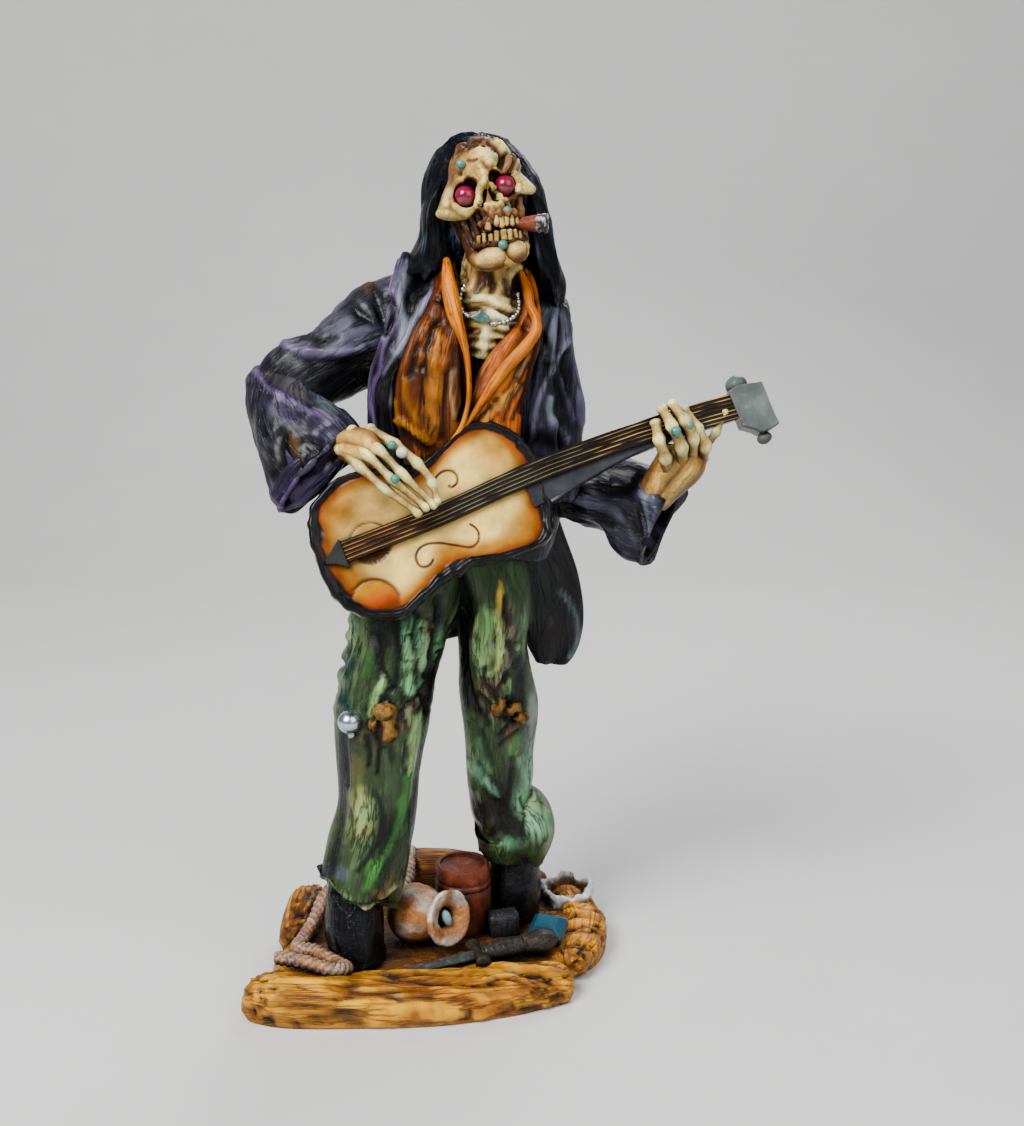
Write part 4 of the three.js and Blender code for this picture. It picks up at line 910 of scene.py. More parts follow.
def ribs():
    """Bands that sag from the breastbone: cos(2 pi (z + 0.018 x² + 0.16 x) / 3.5) below the collar."""
    grid = limb(CHEST, 76, 54, level=True)[0]
    x, z = grid[..., 0] - 25, grid[..., 2]
    band = np.cos(TAU * (z + 0.018 * x**2 + 0.16 * x + 0.5 * noise(grid, 6, 2)) / 3.5)
    middle = bump(x, -1.5, 2.6)
    chest = step(248, 246, z)
    relief = chest * (0.75 * band * (1 - 0.7 * middle) + 0.5 * middle)
    strand = grain(grid, (1.9, 1.9, 11), 4)
    tendons = strand * step(246, 250, z)
    relief = relief + 1.1 * tendons + 0.2 * rough(grid, 2.2, 7)
    tint = between(BONE * 0.8, PALE_RIB, chest)
    tint = between(tint, colour(78, 46, 26), step(245, 249, z) * step(0.7, 0.1, tendons))
    # Browner in the grooves between the ribs: a wash and painted shade
    tint = between(tint, colour(120, 78, 40), 0.7 * step(0.1, -0.7, band) * chest)
    # Near black below the ribs: painted shade in the hollow of the belly
    tint = between(tint, DARK_CRACK_AND_SHADE * 0.5, step(232, 227, z))
    tint, cut = paint_light_and_shade_strokes(grid, tint, CHEST_STROKES)
    keep(casting, grid, "bone", tint, relief + cut)


ribs()
print("with the ribs:", len(casting))

# %% Coat
COAT = [
    [22.6, 7, 256, 17, 9], [20.4, 5.5, 247, 25.5, 13], [18, 5, 235, 30.5, 16], [16.6, 4.5, 217, 33, 17.5],
    [16.2, 4.5, 198, 33.5, 18.5], [15.5, 6, 177, 33.5, 18], [13, 7, 160, 31, 17],
]
COAT_BLACK = colour(24, 25, 32)
PLUM = colour(54, 42, 78)


def coat():
    """The coat's closed body: 1.1 sin(5a + 6t) with creases across and a torn lower edge."""
    grid, angle, t = limb(COAT, 56, 60)
    relief = 1.1 * np.sin(5 * angle + 6 * t) + 0.7 * rough(grid, (7, 7, 16), 81)
    relief = relief + 0.35 * grain(grid, (3, 3, 11), 83)
    share = patchy(grid, (12, 12, 24), 84)
    keep(casting, grid, "coat", 0.6 * between(COAT_BLACK, PLUM, 0.5 * share), relief)


coat()
print("with the coat:", len(casting))

# %% [markdown]
# ## Lapels, shirt and tails
#
# Sheets of cloth could be folded from a plane, but a casting has no thin sheets. A strap is a limb with a
# high "square", bowed like a lapel, and each kind of cloth brings its own paint and folds. A rolled bead
# along the edge of the shirt catches the light, as a sculptor's rolled clay edge does.

# %% Straps of cloth
ORANGE = colour(206, 112, 36)
DARK_SHIRT = colour(80, 38, 18)


def strap(
    stations, paint, tint, folds, seed, rows=60, sides=28, edge=0.9, bend=1.5, extra=None, cuts=()
):
    """A thick band whose long folds stand out in front, with a raised bead along both edges. Extra gives
    its own tint and relief, and cuts are strokes."""
    grid, angle, t = limb(stations, rows, sides, dome=(1.2, 1.2), square=2.6, bend=bend)
    front = np.maximum(np.sin(angle), 0)
    rims = bump(np.abs(np.cos(angle)), 1, 0.22)
    relief = front * (folds * np.sin(5 * angle + 9 * t) + 0.5 * rough(grid, (4, 4, 12), seed)) + edge * rims
    relief = relief + 0.3 * front * grain(grid, (2.4, 2.4, 14), seed + 4)
    if extra is not None:
        tint, more = extra(grid, angle, t)
        relief = relief + more
    if cuts:
        dim = 0.36 if paint == "coat" else 0.5
        tint, more = paint_light_and_shade_strokes(grid, np.broadcast_to(tint, grid.shape), cuts, dim=dim)
        relief = relief + more
    keep(casting, grid, paint, tint, relief)


def shirt_paint(dark, seed):
    """Orange cloth that is darker the higher dark is, with painted highlights on the crests of its folds
    that face the front.
    """

    def paint(grid, angle, t):
        deep_fold = grain(grid, (2.6, 2.6, 22), seed)
        share = step(-0.2, 0.5, deep_fold) * np.maximum(np.sin(angle), 0)
        tint = between(DARK_SHIRT * 0.65, ORANGE, (1 - dark) * (0.3 + 0.7 * share) + 0.1 * share * dark)
        return tint, 0.9 * share * np.maximum(np.sin(angle), 0)

    return paint


def lapel_paint(seed):
    """Coat cloth that turns lilac at the straps' edges and along some of its grain."""

    def paint(grid, angle, t):
        rims = bump(np.abs(np.cos(angle)), 1, 0.16)
        streak = grain(grid, (2.2, 2.2, 16), seed)
        tint = between(COAT_BLACK, colour(98, 90, 118), 0.5 * rims + 0.3 * step(0.1, 0.8, streak))
        tint = between(tint, PLUM * 1.4, 0.4 * step(0, 1, noise(grid, (6, 6, 18), seed + 3)))
        return 0.75 * tint, 0.3 * streak

    return paint


print("orange cloth:", ORANGE)

# %% Lapels
LEFT_LAPEL = [
    [1.1, 1, 258, 6.4, 3], [-0.3, -5, 251, 7.1, 3], [-1.8, -10, 245, 6.4, 3], [-4.3, -13, 236.2, 5.8, 3],
    [-8.1, -14, 228.3, 4.4, 2.8], [-11.4, -14, 220, 3.8, 2.6], [-12, -13, 208, 4, 2.6],
    [-11, -11, 192, 5, 2.6],
]
RIGHT_LAPEL = [
    [44.5, 2, 247, 3.4, 3], [42.5, -6, 238, 3.6, 3], [41, -10, 226, 4.2, 3], [40.5, -11, 212, 5, 3],
    [41, -10, 194, 6, 3],
]
# Dark rows paint shade into the creases and pale rows paint highlights on the folds; the rest are the
# paint's own colour
LEFT_LAPEL_STROKES = [
    (52, 46, 54, -1.2, 1.7, 2.5, 255, 1, 251, -1.5, 246, -2, 242.5),
    (182, 184, 192, 0.6, 1.3, -3, 257.5, -5, 252.5, -5.5, 246, -4, 239.5, -4.5, 233, -6.5, 228.5),
    (200, 200, 208, 0.7, 1, 3.5, 246, 0, 240.5, -1.5, 234.5, -3.5, 230, -7, 226, -10, 222),
    (154, 132, 180, 0.8, 0.5, -6, 258.5, -7.5, 252.5, -7, 246, -6.5, 239.5, -8.5, 234.5, -10.5, 230, -12,
     223, -14, 218.5, -15, 211.5, -14, 204.5),
    (204, 196, 218, 0.8, 0.6, 7.5, 257.5, 7, 252.5, 5.5, 248.5, 3.5, 245, 2, 241),
    (12, 12, 14, -1.6, 0.8, -8, 246.5, -6.5, 242.5, -7.5, 239, -9.5, 235.5),
    (52, 48, 56, -0.9, 2.2, -5, 224.5, -8.5, 221, -10.5, 216.5, -11, 210, -10.5, 202.5),
    (160, 160, 160, 0.6, 0.5, -5.5, 220, -7.5, 216.5, -9, 211.5),
    (14, 13, 14, -1.2, 0.8, 7, 246, 4.5, 240.5, 1.5, 234.5, -1.5, 229.5, -4, 225),
    (70, 60, 60, 0.5, 0.5, 5.5, 242, 3, 237, 0.5, 232.5),
]
# Dark rows paint shade into the creases and pale rows paint highlights on the folds; the rest are the
# paint's own colour
RIGHT_COAT_STROKES = [
    (168, 172, 184, 0.4, 3.7, 45.5, 240, 45.5, 234.5, 45, 229.5),
    (10, 10, 13, -1.5, 1, 43.5, 225, 43.5, 221, 42, 217, 40.5, 211.5, 39.5, 205),
    (188, 184, 202, 1, 0.6, 50.5, 232, 47, 226, 44.5, 221.5, 42, 216, 40, 209.5, 39, 202),
    (44, 46, 56, -1.3, 2, 46, 220, 46, 214.5, 45, 209),
    (180, 188, 196, 0.9, 0.8, 45, 213.5, 44.5, 209, 47, 203.5, 51, 199),
    (136, 126, 160, 0.8, 0.7, 49, 220, 51, 213.5, 53, 206),
    (178, 172, 198, 0.8, 0.6, 53, 238, 54, 226, 54.5, 213, 55.5, 203.5),
    (16, 18, 26, -0.6, 2.7, 41.5, 200.5, 45, 198.5),
    (14, 14, 16, -1, 0.5, 50.5, 229.5, 49, 225.5, 50, 221, 52, 216),
    (60, 60, 70, -0.6, 0.8, 43, 233, 44, 229, 43, 225.5),
]
strap(
    LEFT_LAPEL, "coat", None, 0.4, 91, rows=96, sides=38, edge=0.6, bend=2.2, extra=lapel_paint(92),
    cuts=LEFT_LAPEL_STROKES,
)
strap(
    RIGHT_LAPEL, "coat", None, 0.4, 95, rows=72, sides=34, extra=lapel_paint(97), cuts=RIGHT_COAT_STROKES,
)
print("with the lapels:", len(casting))

# %% Open shirt
LEFT_SHIRT = [
    [9.6, -3, 259, 3, 2], [10.2, -10, 249.3, 4.3, 2.6], [9.8, -14.5, 239.6, 7.3, 3],
    [7.3, -17.5, 229.8, 9.9, 3.4], [5.6, -19, 218.5, 11.9, 3.4], [5.2, -19, 207, 11.4, 3],
    [6, -17, 193, 10, 2.4],
]
RIGHT_SHIRT = [
    [37, -5, 253.5, 2, 2], [38.3, -11, 244.4, 2.8, 2.4], [37, -14, 235.3, 4.9, 2.8],
    [32, -17, 225.9, 7.5, 3], [27.6, -19, 216.1, 8.8, 3], [25.4, -19, 206, 9.6, 2.6],
    [25, -17, 192, 9.6, 2.4],
]
# Dark rows paint shade into the creases and pale rows paint highlights on the folds; the rest are the
# paint's own colour
LEFT_SHIRT_STROKES = [
    (16, 8, 6, -1, 0.4, 6.5, 246, 11, 244, 13.5, 241.5, 15.5, 237, 16.5, 233.5, 17, 229.5),
    (14, 10, 8, -1.3, 0.8, 8, 239, 6, 236, 5.5, 233, 4, 230.5, 4.5, 227.5, 2.5, 224.5),
    (196, 122, 60, 1, 0.7, 7.5, 236.5, 7, 231.5, 5.5, 227, 6.5, 222, 7, 215.5, 7, 208.5, 8, 203),
    (214, 170, 130, 0.8, 0.5, 12.5, 223, 12, 217, 12.5, 212, 13, 208.5),
    (200, 128, 66, 0.8, 0.7, -3, 220.5, -3, 215.5, -1.5, 210.5, 0.5, 206.5),
    (16, 8, 6, -1.2, 0.7, 16.5, 230, 16, 220.5, 16.5, 213, 15, 207.5),
    (30, 14, 8, -1, 0.8, 10.5, 223, 9.5, 213.5, 9, 206.5, 8.5, 201.5),
    (36, 18, 10, -0.7, 1, 3, 224, 2.5, 218.5, 3, 212, 5, 205),
    (28, 20, 16, -0.8, 1, 1, 231.5, -0.5, 227, -2, 221.5),
    (176, 88, 34, 0.5, 0.7, 9.5, 234, 10.5, 229.5, 9.5, 224),
    (236, 150, 70, 1.3, 0.7, -8, 207, -4, 206, 0, 203.5, 4.5, 200),
    (16, 10, 8, -1.2, 1, -4, 202.5, 0, 200, 3.5, 197.5),
    (210, 130, 60, 0.4, 0.8, -7, 213, -6.5, 209.5, -4.5, 207),
    (120, 60, 24, 0.4, 0.7, 13.5, 231.5, 14.5, 226, 14, 218.5),
]
# Dark rows paint shade into the creases and pale rows paint highlights on the folds; the rest are the
# paint's own colour
RIGHT_SHIRT_STROKES = [
    (92, 42, 16, -0.8, 0.4, 36.5, 230.5, 34.5, 225, 32.5, 221, 30, 217, 27, 213.5, 23.5, 210.5, 20.5,
     207),
    (86, 40, 16, -0.8, 0.4, 37.5, 226, 35, 221, 32.5, 216.5, 29.5, 212.5, 27, 209, 25, 206),
    (86, 40, 16, -0.7, 0.4, 35.5, 219, 32.5, 214.5, 30.5, 210.5, 29, 207),
    (96, 46, 18, -0.6, 0.3, 27.5, 214.5, 25, 211.5, 22.5, 208),
    (80, 36, 14, -0.7, 0.4, 36, 215.5, 33.5, 210.5, 32, 207),
    (255, 206, 150, 0.6, 0.5, 36, 231, 36, 227, 34, 222),
    (246, 180, 110, 0.5, 0.5, 33.5, 218.5, 30.5, 214.5, 28, 210.5),
    (240, 170, 100, 0.5, 0.5, 29.5, 215, 26.5, 212, 24, 208.5),
    (60, 30, 16, -0.9, 0.7, 41, 235, 39, 227.5, 37, 218.5, 35, 209.5),
]
strap(
    LEFT_SHIRT, "shirt", None, 0.4, 101, rows=92, sides=44, edge=0.2, bend=0.6,
    extra=shirt_paint(0.95, 102), cuts=LEFT_SHIRT_STROKES,
)
strap(
    RIGHT_SHIRT, "shirt", None, 0.3, 105, rows=84, sides=38, edge=0.2, bend=0.6,
    extra=shirt_paint(0.25, 106), cuts=RIGHT_SHIRT_STROKES,
)
print("with the shirt:", len(casting))

# %% Rolled edges of the shirt
BRIGHT_ORANGE = colour(240, 150, 56)
LEFT_ROLL = [
    [10.4, -12, 258.4, 1.3, 2], [10.9, -16, 253.8, 2.2, 2], [11.8, -19, 247.7, 2.8, 2.2],
    [13.8, -21.4, 239.7, 2.4, 2.2], [16.4, -22.8, 231.7, 1.3, 2], [17.8, -23.5, 222, 0.9, 2],
    [17.6, -23.5, 213.2, 0.9, 2], [15.6, -23, 205.5, 0.9, 2], [12.2, -22, 200.4, 0.9, 2],
]
RIGHT_ROLL = [
    [35.3, -10, 254.2, 1.1, 2.4], [37, -14, 249.3, 1.6, 2.6], [37.9, -17, 244.5, 1.6, 2.6],
    [39.9, -19, 239.7, 1.6, 2.6], [39.6, -20.5, 235.5, 1.8, 2.6], [36.4, -22, 231, 2.1, 2.6],
    [31.8, -23, 226.2, 2.2, 2.6], [27.6, -23.5, 221, 2, 2.4], [23.6, -23.5, 215.4, 1.7, 2.2],
    [19.8, -23, 209.8, 1.3, 2], [16.6, -22, 205.4, 1, 2],
]


def rolled_edge(stations, seed):
    """A smooth bright bead of cloth along the shirt's opening."""
    grid = limb(stations, 64, 16, dome=(1, 1))[0]
    light = 0.6 + 0.4 * noise(grid, 8, seed)
    keep(casting, grid, "shirt", 0.85 * between(ORANGE, BRIGHT_ORANGE, light), 0.15 * noise(grid, 4, seed))


rolled_edge(LEFT_ROLL, 111)
rolled_edge(RIGHT_ROLL, 112)
print("with the rolled edges:", len(casting))

# %% Coat tails
RIGHT_TAIL = [
    [31, 12, 192, 9, 6], [34, 16, 174, 12, 6], [39.5, 19, 157, 12.4, 4.8], [44.6, 23, 143, 12, 3.8],
    [47.2, 25.5, 129, 11.4, 3.2], [47.4, 26.5, 118, 9.4, 3], [47, 26.5, 111.5, 6, 2.6],
]
BACK_TAIL = [
    [8, 11, 190, 22, 8], [5, 16, 168, 27, 7.4], [3, 23, 144, 24, 5], [3, 26, 127, 20, 3.4],
    [4, 26, 121, 14, 2.8],
]
# Pale rows paint highlights; the rest are the paint's own colour
TAIL_STROKES = [
    (176, 190, 190, 1, 0.7, 49.5, 140, 53.5, 135, 56, 128, 56, 120, 53.5, 114),
    (120, 170, 112, 0.4, 0.7, 36.5, 151.5, 37.5, 140, 38.5, 128),
    (52, 30, 20, 0.3, 2.9, 48.5, 128, 50.5, 121),
    (46, 62, 54, 0.3, 2.5, 41.5, 148, 44, 142),
]
strap(RIGHT_TAIL, "coat", COAT_BLACK * 0.6, 0.3, 121, sides=36, edge=0.3, cuts=TAIL_STROKES)
strap(BACK_TAIL, "coat", between(COAT_BLACK, PLUM, 0.3) * 0.6, 0.4, 125, rows=48, sides=40, edge=0.3)
print("with the torso:", len(casting))

# %% [markdown]
# ## Sleeves and hands
#
# A cuff is a tube with a wall: rows run out along the outside, over the rim, and back up the inside. The
# hands are bare bones, so every finger swells at each joint and thins between them.

# %% The sleeve
CUFF_WALL = 1.8
CUFF_DEPTH = 0.45  # the share of the sleeve from which the inside of the cuff is made


def sleeve(stations, seed, sides, rows=60, mouth=False, patches=(), cuts=()):
    """Folds 0.9 sin(3a + 9t) + 0.5 sin(4a - 8t) and carved grain; a mouth adds the inside of the cuff."""
    grid, angle, t = limb(stations, rows, sides, dome=(5, 0 if mouth else 4))
    relief = 0.9 * np.sin(3 * angle + 9 * t) + 0.5 * np.sin(4 * angle - 8 * t)
    relief = relief + 0.6 * rough(grid, (9, 9, 9), seed)
    streak = grain(straightened(grid), (3.4, 3.4, 14), seed + 3)
    relief = relief + 0.45 * streak + 0.5 * bump(t, 0.97, 0.03) * mouth
    tint = between(COAT_BLACK * 0.8, PLUM, 0.7 * step(-0.3, 0.9, noise(grid, (11, 11, 11), seed + 5)))
    tint = between(tint, colour(74, 76, 88), 0.4 * step(0.2, 0.9, streak))
    seen = step(0.2, -0.3, outward(grid)[..., 1])
    for red, green, blue, *places in patches:
        share = step(0.3, 0.8, spots(grid, places) + 0.2 * noise(grid, 2, 7))
        tint = between(tint, colour(red, green, blue), share * seen)
    tint, cut = paint_light_and_shade_strokes(grid, 0.6 * tint, cuts, dim=0.3)
    relief = relief + cut
    if mouth:
        back = np.asarray(stations, float)
        back[:, 3:] -= CUFF_WALL
        inside, _, t_in = limb(back, rows // 2, sides)
        inside = inside[t_in[:, 0] > CUFF_DEPTH][::-1]
        grid = np.concatenate([grid, inside])
        relief = np.concatenate([relief, 0.4 * noise(inside, 4, seed)])
        light = step(0, 0.8, grain(straightened(inside), (4, 4, 12), 6))
        # Near black inside the cuff: painted shade, with lilac on the crests of its grain
        shaded_inside = between(colour(26, 22, 24), colour(78, 68, 92), light)
        tint = np.concatenate([tint, shaded_inside])
    keep(casting, grid, "coat", tint, relief)


print("wall of a cuff in mm:", CUFF_WALL)

# %% Left sleeve
LEFT_UPPER_SLEEVE = [
    [-2, 6, 238, 17, 13], [-14, 5, 234, 17, 12.5], [-28, 3, 226.6, 12.8, 12], [-42, 1, 218.4, 12.2, 12],
    [-51, 0, 212, 9.5, 11],
]
LEFT_CUFF = [
    [-47, 2, 217, 11.5, 11], [-46.6, -4, 209.5, 12.4, 11.5], [-41.4, -12, 201, 15.4, 10.5],
    [-34, -19, 194, 19, 8.5], [-30.5, -22.5, 190.5, 19.6, 7.6],
]
LEFT_CUFF_PATCHES = [(96, 70, 36, -41.5, 197, 5.2, 5.6), (34, 28, 26, -41, 198, 2.4, 3)]
SLEEVE_PATCHES = [
    (104, 78, 44, -16, 250.5, 3, 2.3),
    (88, 74, 116, -32, 238.5, 3.3, 2.3, -26, 243.5, 2.7, 2.3),
    (92, 96, 106, -27.5, 237, 5.4, 4, -39, 231, 4.7, 1.7),
    # Painted shade low on the upper sleeve
    (12, 13, 18, -22.5, 220, 8.8, 4.4),
]
# Dark rows paint shade into the creases and pale rows paint highlights on the folds; the rest are the
# paint's own colour
UPPER_SLEEVE_STROKES = [
    (14, 15, 20, -1.3, 2.7, -33.5, 225, -24, 225, -15, 226),
    (12, 13, 18, -0.4, 4.4, -31, 219, -24.5, 219.5, -16.5, 221.5),
    (164, 152, 184, 1.2, 1, -45, 230, -39, 229, -32.5, 228, -25, 228.5, -18.5, 230),
    (120, 122, 130, 0.8, 2, -31.5, 238, -27.5, 240, -23.5, 239),
    (12, 12, 16, -1.2, 0.5, -21.5, 243.5, -20, 241, -16, 239.5),
    (16, 16, 20, -1, 0.7, -38, 233, -33, 232.5, -27, 233),
    (110, 96, 140, 0.7, 0.9, -35.5, 235, -34, 238, -31, 240.5, -26.5, 244),
    (60, 62, 68, 0.6, 1.2, -44, 231.5, -40, 233, -36, 232),
    (24, 24, 30, -1, 1, -15.5, 251, -13.5, 246, -12, 239.5),
    (90, 94, 102, 0.7, 0.9, -20.5, 246, -17.5, 244, -15, 241),
]
# Dark rows paint shade into the creases and pale rows paint highlights on the folds; the rest are the
# paint's own colour
CUFF_STROKES = [
    (104, 98, 104, 0.3, 2.7, -50.5, 221.5, -45, 219, -38.5, 215.5),
    (78, 68, 106, 0.3, 3, -46.5, 211, -38.5, 207.5, -28.5, 204),
    (134, 144, 146, 0.5, 2, -32.5, 214, -30, 211, -28, 208),
    (158, 142, 186, 1.2, 0.5, -54.5, 221.5, -51, 217.5, -46.5, 215, -40, 212, -33.5, 209.5, -26, 206.5),
    (12, 12, 14, -1.6, 0.8, -51, 229.5, -48, 228.5, -44.5, 226.5, -41, 225.5),
    (176, 166, 200, 1, 0.6, -46.5, 230.5, -46, 227.5, -44.5, 223.5),
    (176, 166, 200, 1, 0.6, -37, 226.5, -37, 222, -36, 218, -34, 215),
    (88, 68, 124, 0.2, 2.2, -42, 223.5, -38.5, 223),
    (36, 30, 26, -0.9, 0.5, -35, 225, -34, 221, -32, 215.5),
    (18, 16, 16, -1.8, 1.3, -44, 201.5, -44, 197, -42, 193, -39.5, 191),
    (14, 13, 14, -1.4, 1.5, -35.5, 200, -32, 198, -31, 195),
    (206, 204, 200, 0.6, 0.4, -45, 201, -46, 197, -45.5, 193.5),
    (190, 184, 170, 0.5, 0.3, -36.5, 200, -37, 196),
    (110, 74, 32, 0.6, 1.3, -40.5, 202, -40, 198, -39, 194),
    (146, 126, 184, 1, 0.6, -39, 189, -41.5, 184, -44, 180.5, -45, 177.5),
    (134, 124, 152, 0.9, 0.7, -23.5, 200, -28.5, 197.5, -32.5, 194, -36.5, 190),
    (36, 34, 42, -0.8, 2.3, -31.5, 191.5, -27.5, 192, -24, 193.5),
    (30, 30, 36, -0.4, 2, -50, 208.5, -48.5, 200, -47, 190),
    (96, 88, 112, 0.4, 1.3, -36, 184, -32.5, 187, -29, 188),
]
sleeve(
    LEFT_UPPER_SLEEVE, 131, rows=66, sides=48, patches=SLEEVE_PATCHES, cuts=UPPER_SLEEVE_STROKES,
)
sleeve(
    LEFT_CUFF, 135, rows=76, sides=54, mouth=True, patches=LEFT_CUFF_PATCHES, cuts=CUFF_STROKES,
)
print("with the left sleeve:", len(casting))

# %% Right sleeve and the flap of the left cuff
RIGHT_UPPER_SLEEVE = [
    [46, 4, 242, 6, 8], [47, 2, 234, 6.4, 9], [47, 1, 222, 6.8, 9.5], [46.8, 1, 208, 8.2, 10.5],
    [47.4, 3, 194, 9.8, 11], [49, 5, 180, 10, 10],
]
RIGHT_CUFF = [
    [48, 9, 181, 9, 9], [59, 5, 180, 12.8, 10], [69, -2, 177.5, 13, 9.5], [77.4, -8.5, 173.7, 15.2, 8.6],
    [83.5, -12.5, 171, 16, 7.8],
]
# Dark rows paint shade into the creases and pale rows paint highlights on the folds; the rest are the
# paint's own colour
RIGHT_CUFF_STROKES = [
    (128, 128, 142, 0.8, 1, 47, 176, 53, 177.5, 60, 178, 65.5, 176.5, 70, 172, 74, 166),
    (18, 18, 22, -0.9, 1, 47.5, 173.5, 54.5, 174, 61, 174, 66, 171),
    (90, 90, 104, 0.6, 0.7, 50, 172, 58.5, 172, 65, 169, 70, 164.5),
    (14, 14, 18, -0.6, 4, 53, 184, 61.5, 184.5, 70.5, 184.5),
    (138, 142, 154, 0.9, 0.8, 76, 184, 77, 178.5, 78, 171.5, 79.5, 164.5),
    (12, 12, 14, -1.3, 0.6, 75, 177.5, 76.5, 171.5, 77.5, 164.5),
    (106, 116, 134, 0.6, 1.3, 80.5, 181.5, 80.5, 175, 81, 169),
    (40, 33, 32, -0.8, 2.7, 84.5, 182.5, 85, 176, 84.5, 170),
    (176, 178, 190, 0.8, 0.5, 87.5, 167, 83.5, 163, 80.5, 160),
]
LEFT_CUFF_FLAP = [
    [-24, -20, 201, 4, 3], [-31, -22, 193.5, 6, 3.4], [-39, -23, 186, 6.4, 3], [-45, -22, 180, 3.4, 2],
]
sleeve(RIGHT_UPPER_SLEEVE, 139, sides=34, cuts=RIGHT_COAT_STROKES)
sleeve(RIGHT_CUFF, 143, sides=48, mouth=True, cuts=RIGHT_CUFF_STROKES)
strap(LEFT_CUFF_FLAP, "coat", PLUM * 0.55, 0.5, 147, rows=40, sides=26, edge=0.5)
print("with both sleeves:", len(casting))

# %% Hands
LEFT_PALM = [
    [-23.6, -26, 199, 4.6, 3], [-20.4, -29.6, 199.6, 6, 2.8], [-16, -33.4, 198.6, 6.4, 2.4],
    [-12, -36.4, 196.4, 4.6, 1.8],
]
RIGHT_PALM = [
    [80, -11, 179, 6, 5], [84.5, -16, 186.5, 7.6, 5], [88.4, -20, 192.5, 8.6, 5],
    [89.6, -19.5, 197, 7.6, 3.8],
]
LEFT_FINGERS = [
    [[-24.2, -28.5, 198], [-17, -36.5, 193.4], [-8.8, -41.4, 187], [1.9, -43.2, 179.4]],
    [[-22.4, -28.5, 201.2], [-14.4, -37, 197], [-6.2, -42, 190], [4.5, -43.4, 181.2]],
    [[-20.5, -28, 204], [-10.8, -37, 198.8], [-3, -42, 191.6], [7, -43.4, 182]],
    [[-14.5, -28.5, 204.5], [-6, -36, 200.6], [1.6, -40.5, 195], [6.4, -42.5, 189], [8, -43, 183.4]],
]
RIGHT_FINGERS = [
    [[84, -21, 190], [82.3, -27.5, 195.5], [80, -29.5, 201.5], [79.1, -27.5, 206.6]],
    [[88.4, -20.5, 191], [87.4, -29, 199], [84, -30.5, 206], [81.3, -27, 211]],
    [[92, -19.5, 192.5], [91, -28.5, 202], [88.2, -30, 207.6], [84.3, -26.5, 212.7]],
    [[95.4, -18, 194], [95.6, -25.5, 199], [92.4, -28, 205], [88.3, -26, 210.6]],
]
RIGHT_THUMB = [[92, -17, 193], [96.4, -21.5, 198.4], [99.8, -21.5, 203], [102.6, -21, 209.5]]


def finger(path, thick, tip):
    """Bones in a row: the radius shrinks to the tip, and swells by 0.6 cos⁶(pi joints t) at each joint."""
    path = np.asarray(path, float)
    joints = len(path) - 1
    radius = thick + (tip - thick) * np.linspace(0, 1, joints + 1)
    stations = np.c_[path, radius, radius]
    grid, angle, t = limb(stations, 10 * joints, 11, front=(0.2, -0.7, 0.6), dome=(1, 1), crowd=0.3)
    swell = 0.6 * np.cos(math.pi * joints * t) ** 6
    relief = swell - 0.2 + 0.1 * rough(grid, 1.6, 3)
    # Paler on the joints and towards the front: painted light. Browner on the side away from the front:
    # painted shade
    tint = between(BONE, colour(250, 226, 164), step(0.0, 0.5, swell + 0.3 * np.sin(angle)))
    tint = between(tint, colour(84, 48, 22), 0.8 * step(-0.1, -0.8, np.sin(angle)))
    keep(casting, grid, "bone", tint, relief)


def palm(stations, front, seed):
    """The back of a hand: long bones raised as 0.8 |sin(4 cos a + 0.4)| across it."""
    grid, angle, _ = limb(stations, 24, 26, front=front, dome=(1, 1))
    bones = np.abs(np.sin(4 * np.cos(angle) + 0.4)) * np.maximum(np.sin(angle), 0)
    # Brown between the raised bones and round the back of the hand: painted shade
    tint = between(colour(140, 96, 54), BONE, step(0.1, 0.7, bones))
    keep(casting, grid, "bone", tint, 0.8 * bones + 0.15 * rough(grid, 2, seed))


palm(LEFT_PALM, (-0.4, -0.8, 0.2), 4)
palm(RIGHT_PALM, (0.2, -1, 0.1), 5)
for path in LEFT_FINGERS:
    finger(path, 1.9, 1.3)
for path in RIGHT_FINGERS:
    finger(path, 2.4, 1.8)
finger(RIGHT_THUMB, 2.4, 0.9)
print("with the hands:", len(casting))

# %% [markdown]
# ## The skull
#
# The face is a sheet laid over listed depths. Points across a polar grid, spreading from the root of
# the nose to the outline, get their depth from a thin-plate spline through the named heights: brow,
# cheekbones, nose and jaw. The sockets, the nose slits and the cracks are then pressed in. The head leans
# to the viewer's left, so all of it is made upright in its own frame, and turned at the end.

# %% The head's own frame
HEAD_CENTRE = np.array([22.8, -12.5, 280])
HEAD_LEAN = Matrix.Rotation(-0.255, 3, "Y")
HEAD_TURN = np.array(HEAD_LEAN @ Matrix.Rotation(0.06, 3, "Z") @ Matrix.Rotation(-0.03, 3, "X"))


def on_head(points):
    """Points given as right, up and front of the middle of the skull, in the row frame."""
    points = np.asarray(points, float)
    return HEAD_CENTRE + np.stack([points[..., 0], -points[..., 2], points[..., 1]], -1) @ HEAD_TURN.T


print("root of the nose:", on_head([0.5, 0, 15]))

# %% Outline and depths of the face
SPLINE_SLACK = 1.5
SKULL_OUTLINE = [
    [13.2, 4.6], [12.8, 7.2], [11, 10.8], [8.5, 15], [4, 18.4], [-0.5, 18.9], [-4.4, 17], [-7.6, 13.2],
    [-9.8, 8.4], [-10.8, 6], [-13.2, 3], [-16, -1], [-16.7, -2.8], [-15, -4.8], [-11.4, -6], [-8, -6.2],
    [-4.6, -5.8], [-3, -7.6], [-3.2, -9.6], [-2.6, -11.4], [2.5, -12.2], [7.6, -11.4], [8.4, -8],
    [9.4, -5.6], [11.6, -4.6], [16, -3], [15.4, 0], [13.4, 2.6],
]
